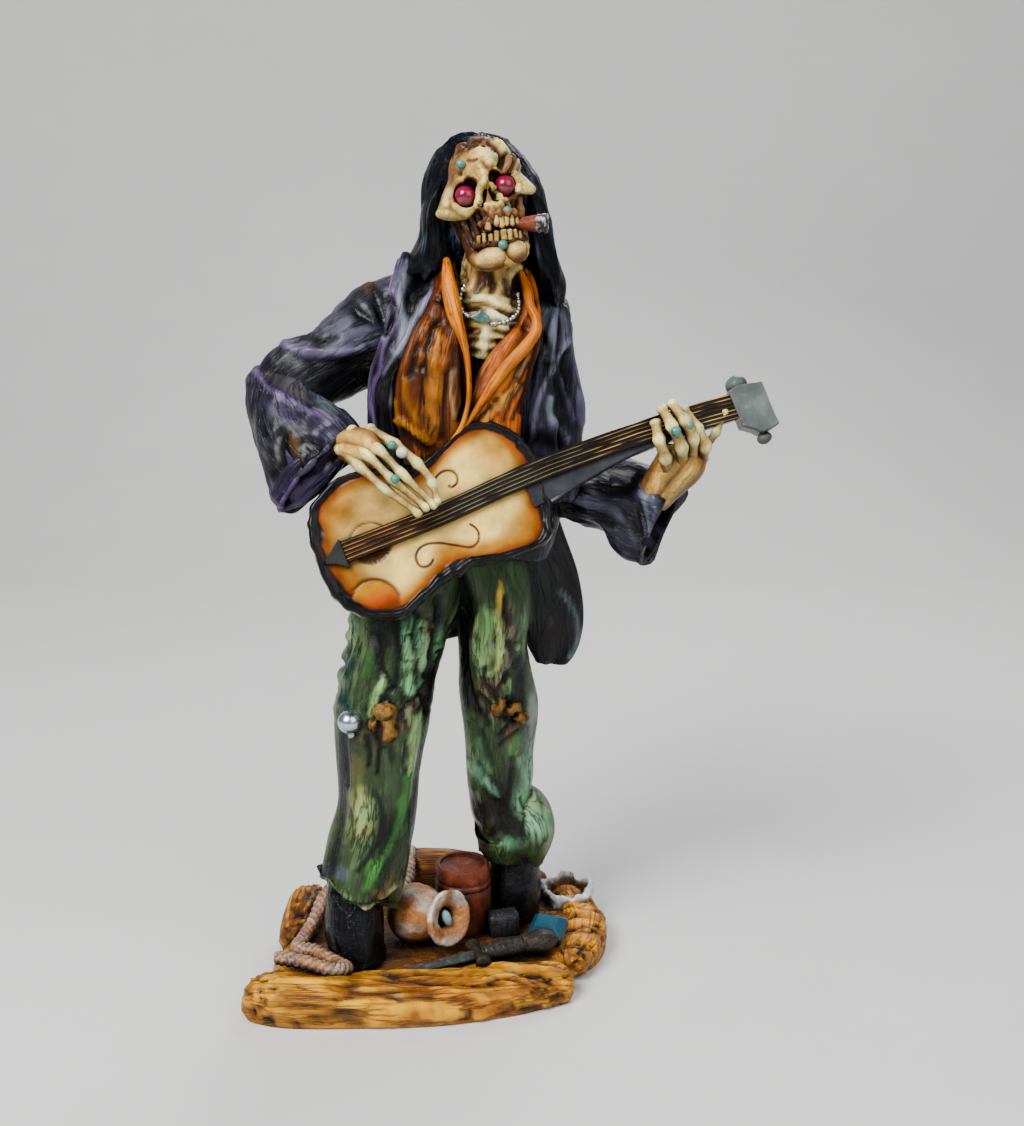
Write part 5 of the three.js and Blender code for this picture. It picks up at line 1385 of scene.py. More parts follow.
# Depths of the face: right, up, front
SKULL_DEPTHS = [
    [-0.5, 18.6, 3], [-6, 15.8, 4], [6, 16.6, 4], [-3, 14, 11], [3, 14.5, 11], [-8.6, 11, 7.5],
    [-5, 9.5, 12.4], [0, 10, 14.4], [4.5, 9.4, 13.6], [8.6, 10.5, 8], [-10.6, 7, 6], [11, 6, 6],
    [-6.5, 5.4, 13.2], [0, 5, 14.8], [6.5, 5.6, 13.2], [-9.6, 4.6, 10], [10, 4, 10], [0.3, 1.6, 15.4],
    [-2, 0, 14], [2.6, 0, 14], [-12.4, 1.5, 9], [12.6, 1.6, 9], [-16.4, -2.6, 5.5], [15.8, -2.6, 5.5],
    [-13, -3.5, 10], [13, -3.5, 10], [-9, -4.8, 12.2], [9, -4.8, 12.2], [-6.6, -5.5, 13], [6.6, -5.5, 13],
    [-5, -8, 12.6], [0.5, -7, 16], [-2, -9.5, 15.4], [3, -9.6, 15.6], [6.6, -8, 12.8], [0.6, -11.6, 15],
    [-5, -11.5, 11.5], [7.6, -11, 11.6], [-11.4, -6.2, 8.5], [-8, -6.6, 10.5], [10.7, -5.6, 8.5],
    [8.6, -6.4, 10.5],
]


def drape(depths, x, y):
    """A thin-plate spline: a plane plus a weight times r² log r from each named depth."""
    a, b, height = np.array(depths, float).T

    def sag(square):
        return 0.5 * square * np.log(square + 1e-9)

    count = len(a)
    flat = np.c_[np.ones(count), a, b]
    system = np.zeros((count + 3, count + 3))
    apart = (a[:, None] - a) ** 2 + (b[:, None] - b) ** 2
    system[:count, :count] = sag(apart) + SPLINE_SLACK * np.eye(count)
    system[:count, count:] = flat
    system[count:, :count] = flat.T
    weights = np.linalg.solve(system, np.r_[height, 0, 0, 0])
    far = (x[..., None] - a) ** 2 + (y[..., None] - b) ** 2
    return sag(far) @ weights[:count] + weights[count] + weights[count + 1] * x + weights[count + 2] * y


print("named depths:", len(SKULL_DEPTHS))

# %% Sockets, nose and crown
EYE_SPREAD = 6.6
# Sockets: side, half width and half height, and the half width of each one's inner corner
SOCKETS = [(-1, 3.5, 4.2, 2.3), (1, 3.4, 3.6, 2.0)]
# Holes rotted through the crown: right, up
CROWN_HOLES = [
    (-1.2, 17.8), (0, 16.6), (0.8, 14.6), (3, 13.6), (5.2, 14.4), (-1.9, 14.6), (-2.3, 16.3), (2.4, 16),
]
HOLE_RADIUS = 0.85


def lump(r, u, place, radii):
    """A bell over an oval place on the face."""
    return np.exp(-(((r - place[0]) / radii[0]) ** 2) - ((u - place[1]) / radii[1]) ** 2)


def groove(r, u, top, foot, wide, taper):
    """1 inside a straight slit from top to foot that widens downwards, falling to 0 at its edge."""
    (a, b), (c, d) = top, foot
    k = np.clip(((r - a) * (c - a) + (u - b) * (d - b)) / ((c - a) ** 2 + (d - b) ** 2), 0, 1)
    gap = np.hypot(r - a - k * (c - a), u - b - k * (d - b))
    return step(1.3, 0.6, gap / (wide * (1 - taper + taper * k)))


def sockets(r, u):
    """A mask of the sockets and the height of their rims: each is the nearer of a main oval and a small one
    at its inner corner, and the rim is a bell 1.3 radii out."""
    hollow = np.zeros_like(r)
    rims = np.zeros_like(r)
    for side, wide, high, corner_wide in SOCKETS:
        main = np.hypot((r - side * EYE_SPREAD) / wide, (u + 0.1) / high)
        corner = np.hypot((r - side * 4.2) / corner_wide, (u - 2.6) / 2.4)
        ring = np.minimum(main, corner)
        hollow = np.maximum(hollow, step(1.06, 0.84, ring))
        rims += 0.7 * bump(ring, 1.3, 0.16)
    return hollow, rims


def nose_slits(r, u):
    """A mask of the two slits of the nose, wider at their feet."""
    left = groove(r, u, (0.0, -0.3), (-2.1, -3.9), 0.95, 0.5)
    right = groove(r, u, (1.8, -0.5), (2.8, -3.9), 1.25, 0.35)
    return np.maximum(left, right)


def crown_pits(r, u):
    """Bells over the holes in the crown, added and held below 1.1."""
    return np.minimum(sum(lump(r, u, place, (HOLE_RADIUS, HOLE_RADIUS)) for place in CROWN_HOLES), 1.1)


print("holes in the crown:", len(CROWN_HOLES))

# %% Relief and paint of the bone
# Lumps of bone: how high, where (right, up), and the radii
FACE_LUMPS = [
    (0.9, (2.8, 9.6), (3.6, 3.0)), (0.7, (6.1, 14.2), (2.4, 1.8)), (0.6, (9, 11.5), (1.8, 2.6)),
    (0.8, (0.6, 4.2), (1.1, 3.2)),
]


def face_relief(spot, rims):
    """Rims and lumps, ridges on the broken bone beside the teeth, and a crumbled, pitted crown."""
    r = spot[..., 0]
    u = spot[..., 2]
    relief = rims.copy()
    for high, place, radii in FACE_LUMPS:
        relief += high * lump(r, u, place, radii)
    broken = step(-4.8, -6.2, u) * step(-4.6, -3, r)
    ridges = 0.45 * np.cos(TAU * (r + 0.1 * u) / 1.9) * step(-9.5, -7, u)
    relief += broken * (ridges + 0.5 * rough(spot, 1.7, 3))
    relief += 0.14 * rough(spot, (3, 3, 3), 8) - 1.7 * crown_pits(r, u)
    relief -= 0.7 * cracks(spot, 2.2, 0.12, 12) * step(11.6, 14, u)
    relief += 0.5 * rough(spot, 2.4, 14) * step(11.6, 14.6, u)
    return relief


def face_paint(spot, relief, rho):
    """Bone that is cream where it stands out, and brown in patches, in cracks and over the crown. The brown
    round the sockets and the dark in the pits are painted shade."""
    r = spot[..., 0]
    u = spot[..., 2]
    tint = between(BONE, colour(252, 212, 146), step(0.1, 0.9, relief))
    tint = between(tint, colour(142, 92, 50), 0.85 * step(0.0, 0.5, rough(spot, (4, 4, 3.4), 21)))
    split = 0.8 * cracks(spot, (3, 3, 3), 0.07, 23) * step(0.2, -0.1, relief - 0.5)
    tint = between(tint, colour(84, 50, 28), split)
    outer = 0.7 * step(-4.8, -6.6, u) + 0.7 * step(0.8, 1, rho) * step(-2, 2, u)
    tint = between(tint, colour(112, 68, 36), outer)
    # Painted shade round the sockets
    round_eyes = lump(r, u, (-5.4, 1.6), (5.2, 5.6)) + lump(r, u, (5.6, 2.4), (5.0, 5.0))
    tint = between(tint, colour(112, 66, 34), 0.75 * np.minimum(round_eyes, 1))
    # Painted shade in the pits of the crown
    tint = between(tint, colour(70, 40, 18), np.minimum(0.9 * crown_pits(r, u), 1))
    return between(tint, colour(96, 58, 28), 0.95 * step(11, 14.6, u) * step(0.4, -0.1, rough(spot, 2, 5)))


print("lumps of bone:", len(FACE_LUMPS))

# %% Strokes on the face
# Red, green, blue, height, half width, then the right and up of each place on the curve
# Brown rows paint shade into the grooves and pale rows paint highlights on the ridges of bone
FACE_STROKES = [
    (62, 34, 16, -1.2, 0.45, 6.2, 13.4, 7, 11.6, 7.6, 9.4, 7.2, 7.6, 6, 5.8),
    (62, 34, 16, -0.8, 0.35, 4.8, 14.6, 5.2, 13, 5.8, 11.2),
    (62, 34, 16, -1.1, 0.45, 9.4, 9.2, 8.2, 7.2, 6.8, 5),
    (62, 34, 16, -1, 0.4, 11.8, 7.2, 10.2, 5.4, 9, 3.6),
    (92, 56, 26, -0.8, 0.4, 5.2, 8, 4, 6.2, 3.4, 4, 3.4, 1.2),
    (120, 78, 40, -0.4, 0.7, 1.2, 8.8, 2, 6.8, 2.2, 4.6, 2, 2.4),
    (104, 62, 28, -0.5, 0.8, -4.6, -3.8, -3, -6.4, -1, -8),
    (96, 56, 26, -0.6, 0.7, 7.6, -3.2, 10.6, -4.4, 14.8, -6),
    (100, 60, 28, -0.4, 0.9, 7.4, -4.6, 7.8, -7, 8.6, -9.4),
    (150, 104, 52, -0.2, 1, -6.4, 15.8, -8.2, 12.4, -9.6, 8.8),
    (150, 104, 52, -0.2, 0.9, -9.2, 5.2, -10.4, 2.2, -10.8, -1.6),
    (62, 34, 16, -0.7, 0.3, -6.6, 7.4, -6.4, 6.8),
    (62, 34, 16, -0.5, 0.25, -3.2, 10.4, -1.8, 9.6, -0.2, 9.6),
    (186, 160, 108, 0.9, 0.7, 10.8, 8.2, 9.4, 6.6, 7.8, 5),
    (190, 166, 112, 0.9, 0.65, 13.2, 6.2, 11.8, 4.4, 10.2, 2.8),
    (226, 196, 134, 0.8, 0.8, 7.8, 14.4, 9.4, 12.2, 10.4, 9.8),
    (244, 216, 150, 0.5, 1, -15.6, -2.8, -12.4, -4.6, -7.6, -5.8),
    (240, 210, 146, 0.4, 0.9, -11.2, 3, -13.2, -0.4),
    (232, 198, 132, 0.5, 0.7, -10.4, -2.4, -7.8, -4.2, -4.6, -3.2),
    (246, 216, 148, 0.5, 1, 10.2, -2.2, 13, -3, 15.6, -2.6),
    (236, 202, 132, 0.4, 1, 12.4, 1.2, 13.8, -0.8, 15.2, -2.8),
    (238, 210, 146, 0.5, 1.4, 1.6, 12.6, 2.8, 10.2, 4.4, 8.2),
    (240, 206, 138, 0.7, 0.6, 1.2, 5.4, 0.2, 2.8, -1.4, 1, -2.6, -1.4, -3.6, -4),
    (236, 200, 130, 0.7, 0.5, 2.2, 1.2, 3, -0.4, 4, -2.2, 3.8, -4.4),
    (232, 196, 128, 0.6, 0.5, -1, -4.6, 1.6, -5, 3.2, -5),
]
print("strokes on the face:", len(FACE_STROKES))

# %% The face
FACE_ROOT = np.array([0.5, 0.0])
CASE_MIDDLE = np.array([0.5, 6.0])
SOCKET_DEPTH = 5.2
SLIT_DEPTH = 3.6


def brain_case(rim, front_edge):
    """Rows that draw in from the outline to the oval of the brain case, and run back to close it."""
    q = np.linspace(0, 1, 9)[1:, None]
    away = np.arctan2(rim[:, 1] - CASE_MIDDLE[1], rim[:, 0] - CASE_MIDDLE[0])
    case = CASE_MIDDLE + np.stack([10.6 * np.cos(away), 12.2 * np.sin(away)], -1)
    draw = step(0, 0.45, q)[..., None]
    back = rim[None] * (1 - draw) + case[None] * draw
    shrink = (1 - 0.75 * step(0.45, 1, q) ** 2)[..., None]
    back = CASE_MIDDLE + (back - CASE_MIDDLE) * shrink
    depth = front_edge[None] * (1 - q) - 13 * q
    return np.concatenate([back, depth[..., None]], -1), q


def face():
    """Depth = drape - sockets - slits, under the relief; behind the outline the brain case closes it."""
    rings = 70
    spokes = 134
    rho = np.linspace(0.012, 1, rings)[:, None]
    rim = through(SKULL_OUTLINE, np.linspace(0, 1, spokes, endpoint=False), closed=True)
    spread = FACE_ROOT + (rim - FACE_ROOT)[None] * rho[..., None]
    r = spread[..., 0]
    u = spread[..., 1]
    hollow, rims = sockets(r, u)
    slits = nose_slits(r, u)
    front = drape(SKULL_DEPTHS, r, u) - 2.2 * step(0.86, 1, rho) ** 2
    front = front - SOCKET_DEPTH * hollow - SLIT_DEPTH * slits
    spot = np.stack([r, front, u], -1)
    relief = face_relief(spot, rims)
    tint = face_paint(spot, relief, rho)
    tint, cut = paint_light_and_shade_strokes(np.stack([r, 0 * r, u], -1), tint, FACE_STROKES, 1)
    # Near black in the sockets and the nose slits: painted shade
    tint = between(tint, colour(24, 14, 10), np.maximum(hollow, slits))
    # Brown at the inner corner of the right socket: painted shade
    shaded_socket_corner = step(2.2, 0.8, np.hypot(r - 4, u - 2.8)) * hollow
    tint = between(tint, colour(104, 56, 26), 0.8 * shaded_socket_corner)
    relief = relief + cut * (1 - hollow)
    back, q = brain_case(rim, front[-1])
    grid = np.concatenate([np.stack([r, u, front], -1), back])
    relief = np.concatenate([relief, relief[-1][None] * (1 - q)])
    tint = np.concatenate([tint, np.broadcast_to(BONE * 0.5, (len(q), spokes, 3))])
    keep(casting, on_head(grid), "bone", tint, relief, grid)


face()
print("with the face:", len(casting))

# %% [markdown]
# ## Jaw and teeth
#
# The jaw, the gums and the teeth stand free of the face, as they do on a real skull, so they are limbs
# again. Every tooth is a short one, set on a parabola that follows the arch of the gums.

# %% Neck, jaw and chin
NECK_TOP = [[-3, -4, 1, 6.4, 5], [-3, -9, 2.4, 6.8, 5.4], [-1.4, -14, 4, 7.4, 6], [0.6, -19, 5, 6.6, 6]]
JAW = [
    [-9.6, -2, -2, 2, 2.8], [-9.7, -9, 0.5, 1.4, 2.4], [-9, -15, 4, 1.5, 2.4], [-8.2, -19.6, 7, 2, 2.6],
    [-4.5, -21.6, 10.4, 2.7, 2.8], [0.8, -22, 12, 2.6, 3], [5.6, -21.4, 10.8, 2.6, 2.8],
    [8.4, -17, 5, 1.7, 2.6], [9.2, -8, 0, 1.6, 2.4], [9.4, -2, -2, 2.2, 2.8],
]
# The chin's two lobes: place, radii, the side of the cleft between them, and a seed
CHIN_LOBES = [((-3.1, -21.3, 12.2), (6.1, 3.9, 3.8), 1, 3), ((4.6, -21, 12.7), (3.9, 3.7, 4.1), -1, 6)]


def head_limb(points, rows, sides, tint, relief, front=(0, -1, 0), dome=(1, 1)):
    """A limb through points of [right, up, front, half width, half depth] on the head. The tint may be a
    function of angle and t, and the relief is one of grid and t."""
    points = np.asarray(points, float)
    stations = np.c_[on_head(points[:, :3]), points[:, 3:]]
    grid, angle, t = limb(stations, rows, sides, front=front, dome=dome)
    paint = tint(angle, t) if callable(tint) else tint
    keep(casting, grid, "bone", paint, relief(grid, t))


def jaw_paint(_, t):
    """Dark brown cheeks, their own brown deepened with painted shade, and cream bone along the chin."""
    return between(colour(62, 36, 22), BONE, step(0.3, 0.42, t) * step(0.82, 0.72, t))


def bone_strands(grid, _):
    """Fine grain that runs along the bone."""
    return 0.5 * grain(straightened(grid), (1.4, 1.4, 7), 5) + 0.2 * rough(grid, 1.5, 4)


def chin_lobe(place, radii, cleft, seed):
    """An ellipsoid of cream bone with painted light on its upper front, painted shade below and round its
    edge, and reddish painted shade in the cleft.
    """
    right, up, ahead = radii
    lobe = ball((0, 0, 0), (right, ahead, up), wide=34, high=22)
    # Painted light on the upper front of the lobe, painted shade below
    painted_light = step(-0.5, 0.9, outward(lobe)[..., 2] - 0.6 * outward(lobe)[..., 1])
    tint = between(colour(120, 72, 36), colour(250, 208, 142), painted_light)
    edge = (lobe[..., 0] / right) ** 2 + (lobe[..., 2] / up) ** 2
    tint = between(tint, colour(150, 92, 44), 0.5 * step(0.7, 0.98, edge))
    tint = between(tint, colour(110, 40, 20), bump(lobe[..., 0], cleft * right, 1.5))
    keep(casting, lobe @ HEAD_TURN.T + on_head(place), "bone", tint, 0.2 * rough(lobe, 3, seed))


head_limb(NECK_TOP, 30, 40, colour(50, 28, 14), bone_strands)
head_limb(JAW, 90, 20, jaw_paint, bone_strands, front=(0, 0, 1))
for place, radii, cleft, seed in CHIN_LOBES:
    chin_lobe(place, radii, cleft, seed)
print("with the jaw:", len(casting))

# %% Gums and teeth
STAINED = colour(236, 192, 128)
UPPER_GUM = [
    [-3.4, -9.6, 11, 1.2, 1.2], [-0.6, -8.6, 14.2, 1.6, 1.3], [2.6, -8.2, 15.2, 1.7, 1.3],
    [5.6, -9, 14, 1.6, 1.2], [8.2, -10.2, 10, 1.2, 1.2],
]
LOWER_GUM = [
    [-6.4, -15.6, 8, 1.6, 1.4], [-3.8, -16.4, 11.4, 1.8, 1.5], [1.6, -17.2, 13.4, 1.9, 1.6],
    [6.4, -17.4, 11.6, 1.8, 1.5], [8.4, -17, 6, 1.6, 1.4],
]
# The teeth: the places of the top and foot of each as [right, up], and a half width
UPPER_TEETH = [
    ([-1.4, -9.4], [-2.3, -12.2], 1.0), ([1.3, -8.4], [0.7, -11.5], 0.85), ([2.7, -8.8], [2.2, -12.4], 0.8),
    ([4.4, -9.2], [3.8, -12.2], 0.85), ([5.9, -9.6], [5.5, -12.6], 0.8), ([7.4, -10.6], [7.0, -12.5], 0.7),
]
LOWER_TEETH = [
    ([-5.4, -13.2], [-5.9, -15], 0.75), ([-3.7, -13.1], [-4.2, -15.5], 0.8),
    ([-1.8, -13.7], [-2.2, -15.6], 0.85), ([0.2, -13.5], [-0.5, -16.1], 0.85),
    ([2.3, -13.6], [1.9, -16.1], 0.95), ([4.2, -14.1], [3.9, -16.8], 0.85),
    ([5.9, -14.4], [5.6, -16.6], 0.8), ([7.4, -15], [7.1, -16.9], 0.7),
]
# The rows of teeth: how far in front, and how much each tooth leans
TOOTH_ROWS = [(UPPER_TEETH, 15.4, 0.2), (LOWER_TEETH, 14.8, -0.2)]


def upper_gum(grid, t):
    """A swelling over each of six roots: 0.5 cos(2 pi 6 t)."""
    return 0.5 * np.cos(TAU * 6 * t) + 0.5 * rough(grid, 1.8, 4)


def lower_gum(grid, t):
    """A swelling over each of eight roots: 0.45 cos(2 pi 8 t)."""
    return 0.45 * np.cos(TAU * 8 * t) + 0.2 * rough(grid, 1.6, 4)


def tooth_paint(angle, _):
    """Cream in front, and darker at the sides where one tooth meets the next: painted shade between the
    teeth.
    """
    return between(STAINED, colour(84, 50, 28), 0.9 * step(0.55, 0.95, np.abs(np.cos(angle))))


def tooth_relief(grid, _):
    """An uneven surface."""
    return 0.3 * rough(grid, 1.5, 3)


def tooth(top, foot, half, ahead, lean):
    """A short limb on the arch of the teeth: front = ahead - 0.075 (right - 1.8)²."""
    out = ahead - 0.075 * (top[0] - 1.8) ** 2
    points = [[*top, out - lean, half * 1.2, 0.9], [*foot, out + lean, half * 1.25, 1.1]]
    head_limb(points, 12, 13, tooth_paint, tooth_relief, dome=(0.4, 0.6))


head_limb(UPPER_GUM, 50, 14, colour(134, 86, 48), upper_gum, front=(0, 0, 1))
head_limb(LOWER_GUM, 56, 14, colour(92, 56, 28), lower_gum, front=(0, 0, 1))
for row, ahead, lean in TOOTH_ROWS:
    for top, foot, half in row:
        tooth(top, foot, half, ahead, lean)
print("with the teeth:", len(casting))

# %% Brow and cheeks
DULL_BONE = colour(160, 124, 82)
SHADED_BONE = colour(96, 60, 32)
SHADED_DARK_BONE = colour(52, 30, 18)
BROW_RIDGES = [
    (DULL_BONE, [[9.9, 7.8, 11, 1.2, 1.4], [8.8, 5.8, 12.8, 1.1, 1.2], [7.4, 4.2, 13.2, 0.8, 0.9]]),
    (DULL_BONE, [[12.6, 6.6, 6.6, 1.0, 1.2], [11.6, 4.9, 9.4, 1.2, 1.3], [10, 3.4, 11.2, 0.8, 0.9]]),
    (SHADED_BONE, [[11.4, 8.2, 7, 1.4, 1.6], [10.4, 5.6, 9.4, 1.3, 1.5], [8.8, 3.8, 11.2, 0.8, 1]]),
]
# The first three strands, on the left cheek, are painted shade beside the jaw
CHEEK_STRANDS = [
    (SHADED_DARK_BONE, [[-8.6, -5, 7, 1.2, 1], [-8.6, -10, 6.5, 0.9, 0.8], [-8, -15, 7, 1, 0.9]]),
    (SHADED_DARK_BONE, [[-6.2, -5.6, 9, 1, 0.9], [-5.8, -9.6, 9, 0.8, 0.8], [-5.6, -13, 9.4, 0.8, 0.8]]),
    (SHADED_DARK_BONE, [[-4.0, -6, 10, 0.8, 0.8], [-4.0, -9.6, 9.6, 0.7, 0.7], [-3.6, -13, 10.6, 0.7, 0.8]]),
    (colour(140, 98, 52), [[10, -4.6, 8, 1.6, 1.2], [9.6, -8, 8.6, 1.5, 1.1], [9, -12.5, 9, 1.2, 1]]),
]


def brow_relief(grid, _):
    """The same at half the height."""
    return 0.15 * rough(grid, 1.5, 3)


for paint, points in BROW_RIDGES:
    head_limb(points, 20, 14, paint, brow_relief)
for paint, points in CHEEK_STRANDS:
    head_limb(points, 22, 11, paint, bone_strands)
print("with the skull:", len(casting))

# %% [markdown]
# ## Hair
#
# Long hair is a mass first and strands second. The mass is a stack of level ovals, and the strands are
# ridges that run down it and wander a little: the same sine of the angle at every level, pushed sideways
# by slow noise. Finer strands are left to the paint's bump map.

# %% Hair
INK = colour(13, 16, 24)
HAIR = [
    [21, 2.5, 297, 10.5, 9], [21.3, 3, 293, 15.4, 12.6], [22.2, 4, 285, 20, 15.6], [23, 5, 275, 21.8, 16],
    [22.8, 6.5, 266, 22, 14], [23, 9.5, 258, 22.6, 11.5], [24.5, 12.5, 248, 22.6, 9],
    [25, 16, 236, 21, 7.5], [24, 18, 222, 16, 6], [23, 18.5, 208, 8, 4],
]
LEFT_LOCK = [
    [8.6, -2, 286, 2.4, 4.4], [5.8, -3.6, 276, 3.8, 7.4], [5.8, -4.4, 266, 5, 7.6], [5, -5, 259, 7.6, 7],
    [2, -5, 255, 5, 5],
]
RIGHT_LOCK = [
    [37, -2, 285, 2, 4], [40.4, -4, 275, 3.4, 7.4], [42.6, -4, 262, 4.4, 7], [45, -3, 252, 4.6, 6],
    [46.6, -2, 245, 2.4, 4],
]


def tresses(stations, strands, rows, sides, dome, seed):
    """Ridges 0.38 (1 - 1.6 |sin(strands * angle / 2 + wander)|) over broad waves, so it lies in locks."""
    grid, angle, t = limb(stations, rows, sides, dome=dome, level=True, crowd=0.2)
    wander = 2.6 * noise(grid, (12, 12, 26), seed) + 0.8 * np.sin(5 * t + 3 * angle)
    strand = 1 - 1.6 * np.abs(np.sin(0.5 * strands * angle + wander))
    waves = 0.5 * np.sin(5 * angle + 5 * t) + 0.4 * np.sin(4 * angle - 6 * t)
    relief = waves + 0.38 * strand + 0.25 * grain(grid, (2.2, 2.2, 24), seed + 3)
    # Lighter along the raised strands: dry brush, and painted highlights
    tint = between(INK * 0.5, INK * 1.7, step(0.4, 1.2, strand + 0.5 * noise(grid, (3, 3, 20), seed + 5)))
    keep(casting, grid, "hair", tint, relief)


tresses(HAIR, 34, 76, 96, (3.46, 2), 151)
tresses(LEFT_LOCK, 12, 44, 30, (3, 2), 155)
tresses(RIGHT_LOCK, 12, 50, 28, (3, 2), 159)
print("all skins of the casting:", len(casting))

# %% [markdown]
# ## The guitar
#
# The second casting has its own three directions: along the strings, up across the body, and out of its
# face. Its body is rings of the outline: in over the back, up the side, over a raised rim, and in across
# the sound board. The scrolls are painted as distances to a curve, so they stay smooth at any size.

# %% The guitar's three directions
BRIDGE = np.array([-25.4, -40, 166])
NUT = np.array([108.3, -20, 214.2])
FACE_TILT = 0.31
GUITAR_ALONG = unit(NUT - BRIDGE)
TILTED = np.array([0, -math.cos(FACE_TILT), math.sin(FACE_TILT)])
GUITAR_OUT = unit(TILTED - GUITAR_ALONG * (TILTED @ GUITAR_ALONG))
GUITAR_UP = np.cross(GUITAR_OUT, GUITAR_ALONG)
guitar_skins = []


def on_guitar(s, w, h):
    """A point given along the strings, up across them, and out from their plane."""
    s, w, h = np.broadcast_arrays(s, w, h)
    return BRIDGE + s[..., None] * GUITAR_ALONG + w[..., None] * GUITAR_UP + h[..., None] * GUITAR_OUT


print("bridge to nut in mm:", np.linalg.norm(NUT - BRIDGE))

# %% Outline and rows of the body
FACE_DROP = 2.4
GUITAR_DEPTH = 11
BODY_SIDES = 250
BODY_MIDDLE = (32, -1)
BOARD_ROWS = 70
GUITAR_OUTLINE = [
    [57, 24.6], [65, 22.2], [70, 16.5], [72.4, 7], [72.4, -4], [71, -14], [66, -20.4], [57, -21.8],
    [46, -21], [38, -20], [30, -21.2], [21, -24.2], [12, -26.8], [3.5, -24.4], [-3.2, -17.4], [-6.8, -6],
    [-6.6, 7], [-3, 17], [5, 22], [14, 23.4], [23, 21.4], [32, 17.8], [41, 19], [49, 22.6],
]


def guitar_rows():
    """Share of the reach, further inset in mm and height of every row: out over the back, up the side, over
    the raised rim, and in across the sound board."""
    back = -FACE_DROP - GUITAR_DEPTH
    rows = [[share, 0, back] for share in np.linspace(0.03, 0.9, 12)]
    rows += [[1, -2, back], [1, -0.6, back + 0.6], [1, 0, back + 2]]
    rows += [[1, 0.25 * math.sin(up), back + up] for up in np.linspace(2.6, GUITAR_DEPTH - 2, 8)]
    rim = [[0, -0.6], [-0.2, 0.2], [-0.8, 0.75], [-1.5, 0.85], [-2.2, 0.6], [-2.8, 0.15], [-3.2, 0]]
    rows += [[1, inset, -FACE_DROP + up] for inset, up in rim]
    rows += [[share, -3.4 * share, -FACE_DROP] for share in np.linspace(0.985, 0.02, BOARD_ROWS)]
    return np.array(rows).T


print("rows of the body:", guitar_rows().shape[1])

# %% Paint of the sound board
CREAM = colour(248, 206, 136)
AMBER = colour(218, 142, 22)
# Ovals on the sound board: place and radii
GLOWING_OVAL = ((5.9, -21.6), (8.6, 9.6))
SOUND_HOLE = ((11.6, -1), (6.8, 6.8))
CURVE_PLACES = 160
SCROLLS = [
    [[44.3, -6.8], [45.6, -8.7], [45.7, -11.2], [44.2, -13.5], [41.5, -13.9], [37.2, -11.5], [32.9, -9.1],
     [28.8, -7.9], [25.8, -8.5], [23.9, -10.6], [23.9, -13.4], [25.5, -14.7], [27.7, -14.5], [28.7, -13.5]],
    [[37.4, 10.1], [39.9, 12], [42.6, 12.8], [45.1, 11.8], [46, 9.7], [45.2, 7.5], [43.2, 6.8], [42.4, 7.5]],
]


def away_from(curve, s, w):
    """The distance from points to a smooth curve, taken to the nearest of many places on it."""
    dots = through(curve, np.linspace(0, 1, CURVE_PLACES))
    return np.min(np.hypot(s[..., None] - dots[:, 0], w[..., None] - dots[:, 1]), axis=-1)


def oval_share(s, w, place, radii):
    """1 on the outline of an oval, less inside it and more outside."""
    return np.hypot((s - place[0]) / radii[0], (w - place[1]) / radii[1])


def dark_lines(s, w):
    """A mask of the scrolls, the arc over the glowing oval and the ring round the sound hole."""
    lines = np.zeros_like(s)
    for curve in SCROLLS:
        lines = np.maximum(lines, step(0.55, 0.2, away_from(curve, s, w)))
    lines = np.maximum(lines, bump(oval_share(s, w, *GLOWING_OVAL), 1.0, 0.07) * step(-22.5, -20, w))
    return np.maximum(lines, 0.8 * bump(oval_share(s, w, *SOUND_HOLE), 1.0, 0.05))


def burst(spot, depth):
    """Cream wood that turns amber and then burnt near the pitch; depth is the distance in from it."""
    s = spot[..., 0]
    w = spot[..., 1]
    warm = step(12, 1.5, depth + 4 * noise(spot, (12, 12, 12), 5))
    warm = np.maximum(warm, lump(s, w, (5, 13), (12, 8)))
    warm = np.maximum(warm, 0.9 * lump(s, w, (62, 14), (8, 9)))
    tint = between(CREAM * 0.8, AMBER * 0.43, 0.95 * warm)
    tint = between(tint, 0.5 * colour(166, 74, 16), 0.85 * step(4.5, 0.5, depth + noise(spot, 4, 6)))
    return between(tint, colour(150, 112, 66), 0.5 * lump(s, w, (20, 8), (10, 7)))


def glow(tint, s, w, face):
    """A flame of orange over brown inside the oval at the lower edge."""
    inside = step(1.0, 0.9, oval_share(s, w, *GLOWING_OVAL)) * face
    flame = between(colour(242, 172, 70), colour(206, 100, 14), step(-13, -20, w))
    tint = between(tint, 0.5 * flame, inside)
    return between(tint, colour(96, 40, 10), inside * step(-18.6, -23, w))


print("scrolls:", len(SCROLLS))

# %% Guitar body
PITCH = colour(18, 18, 20)


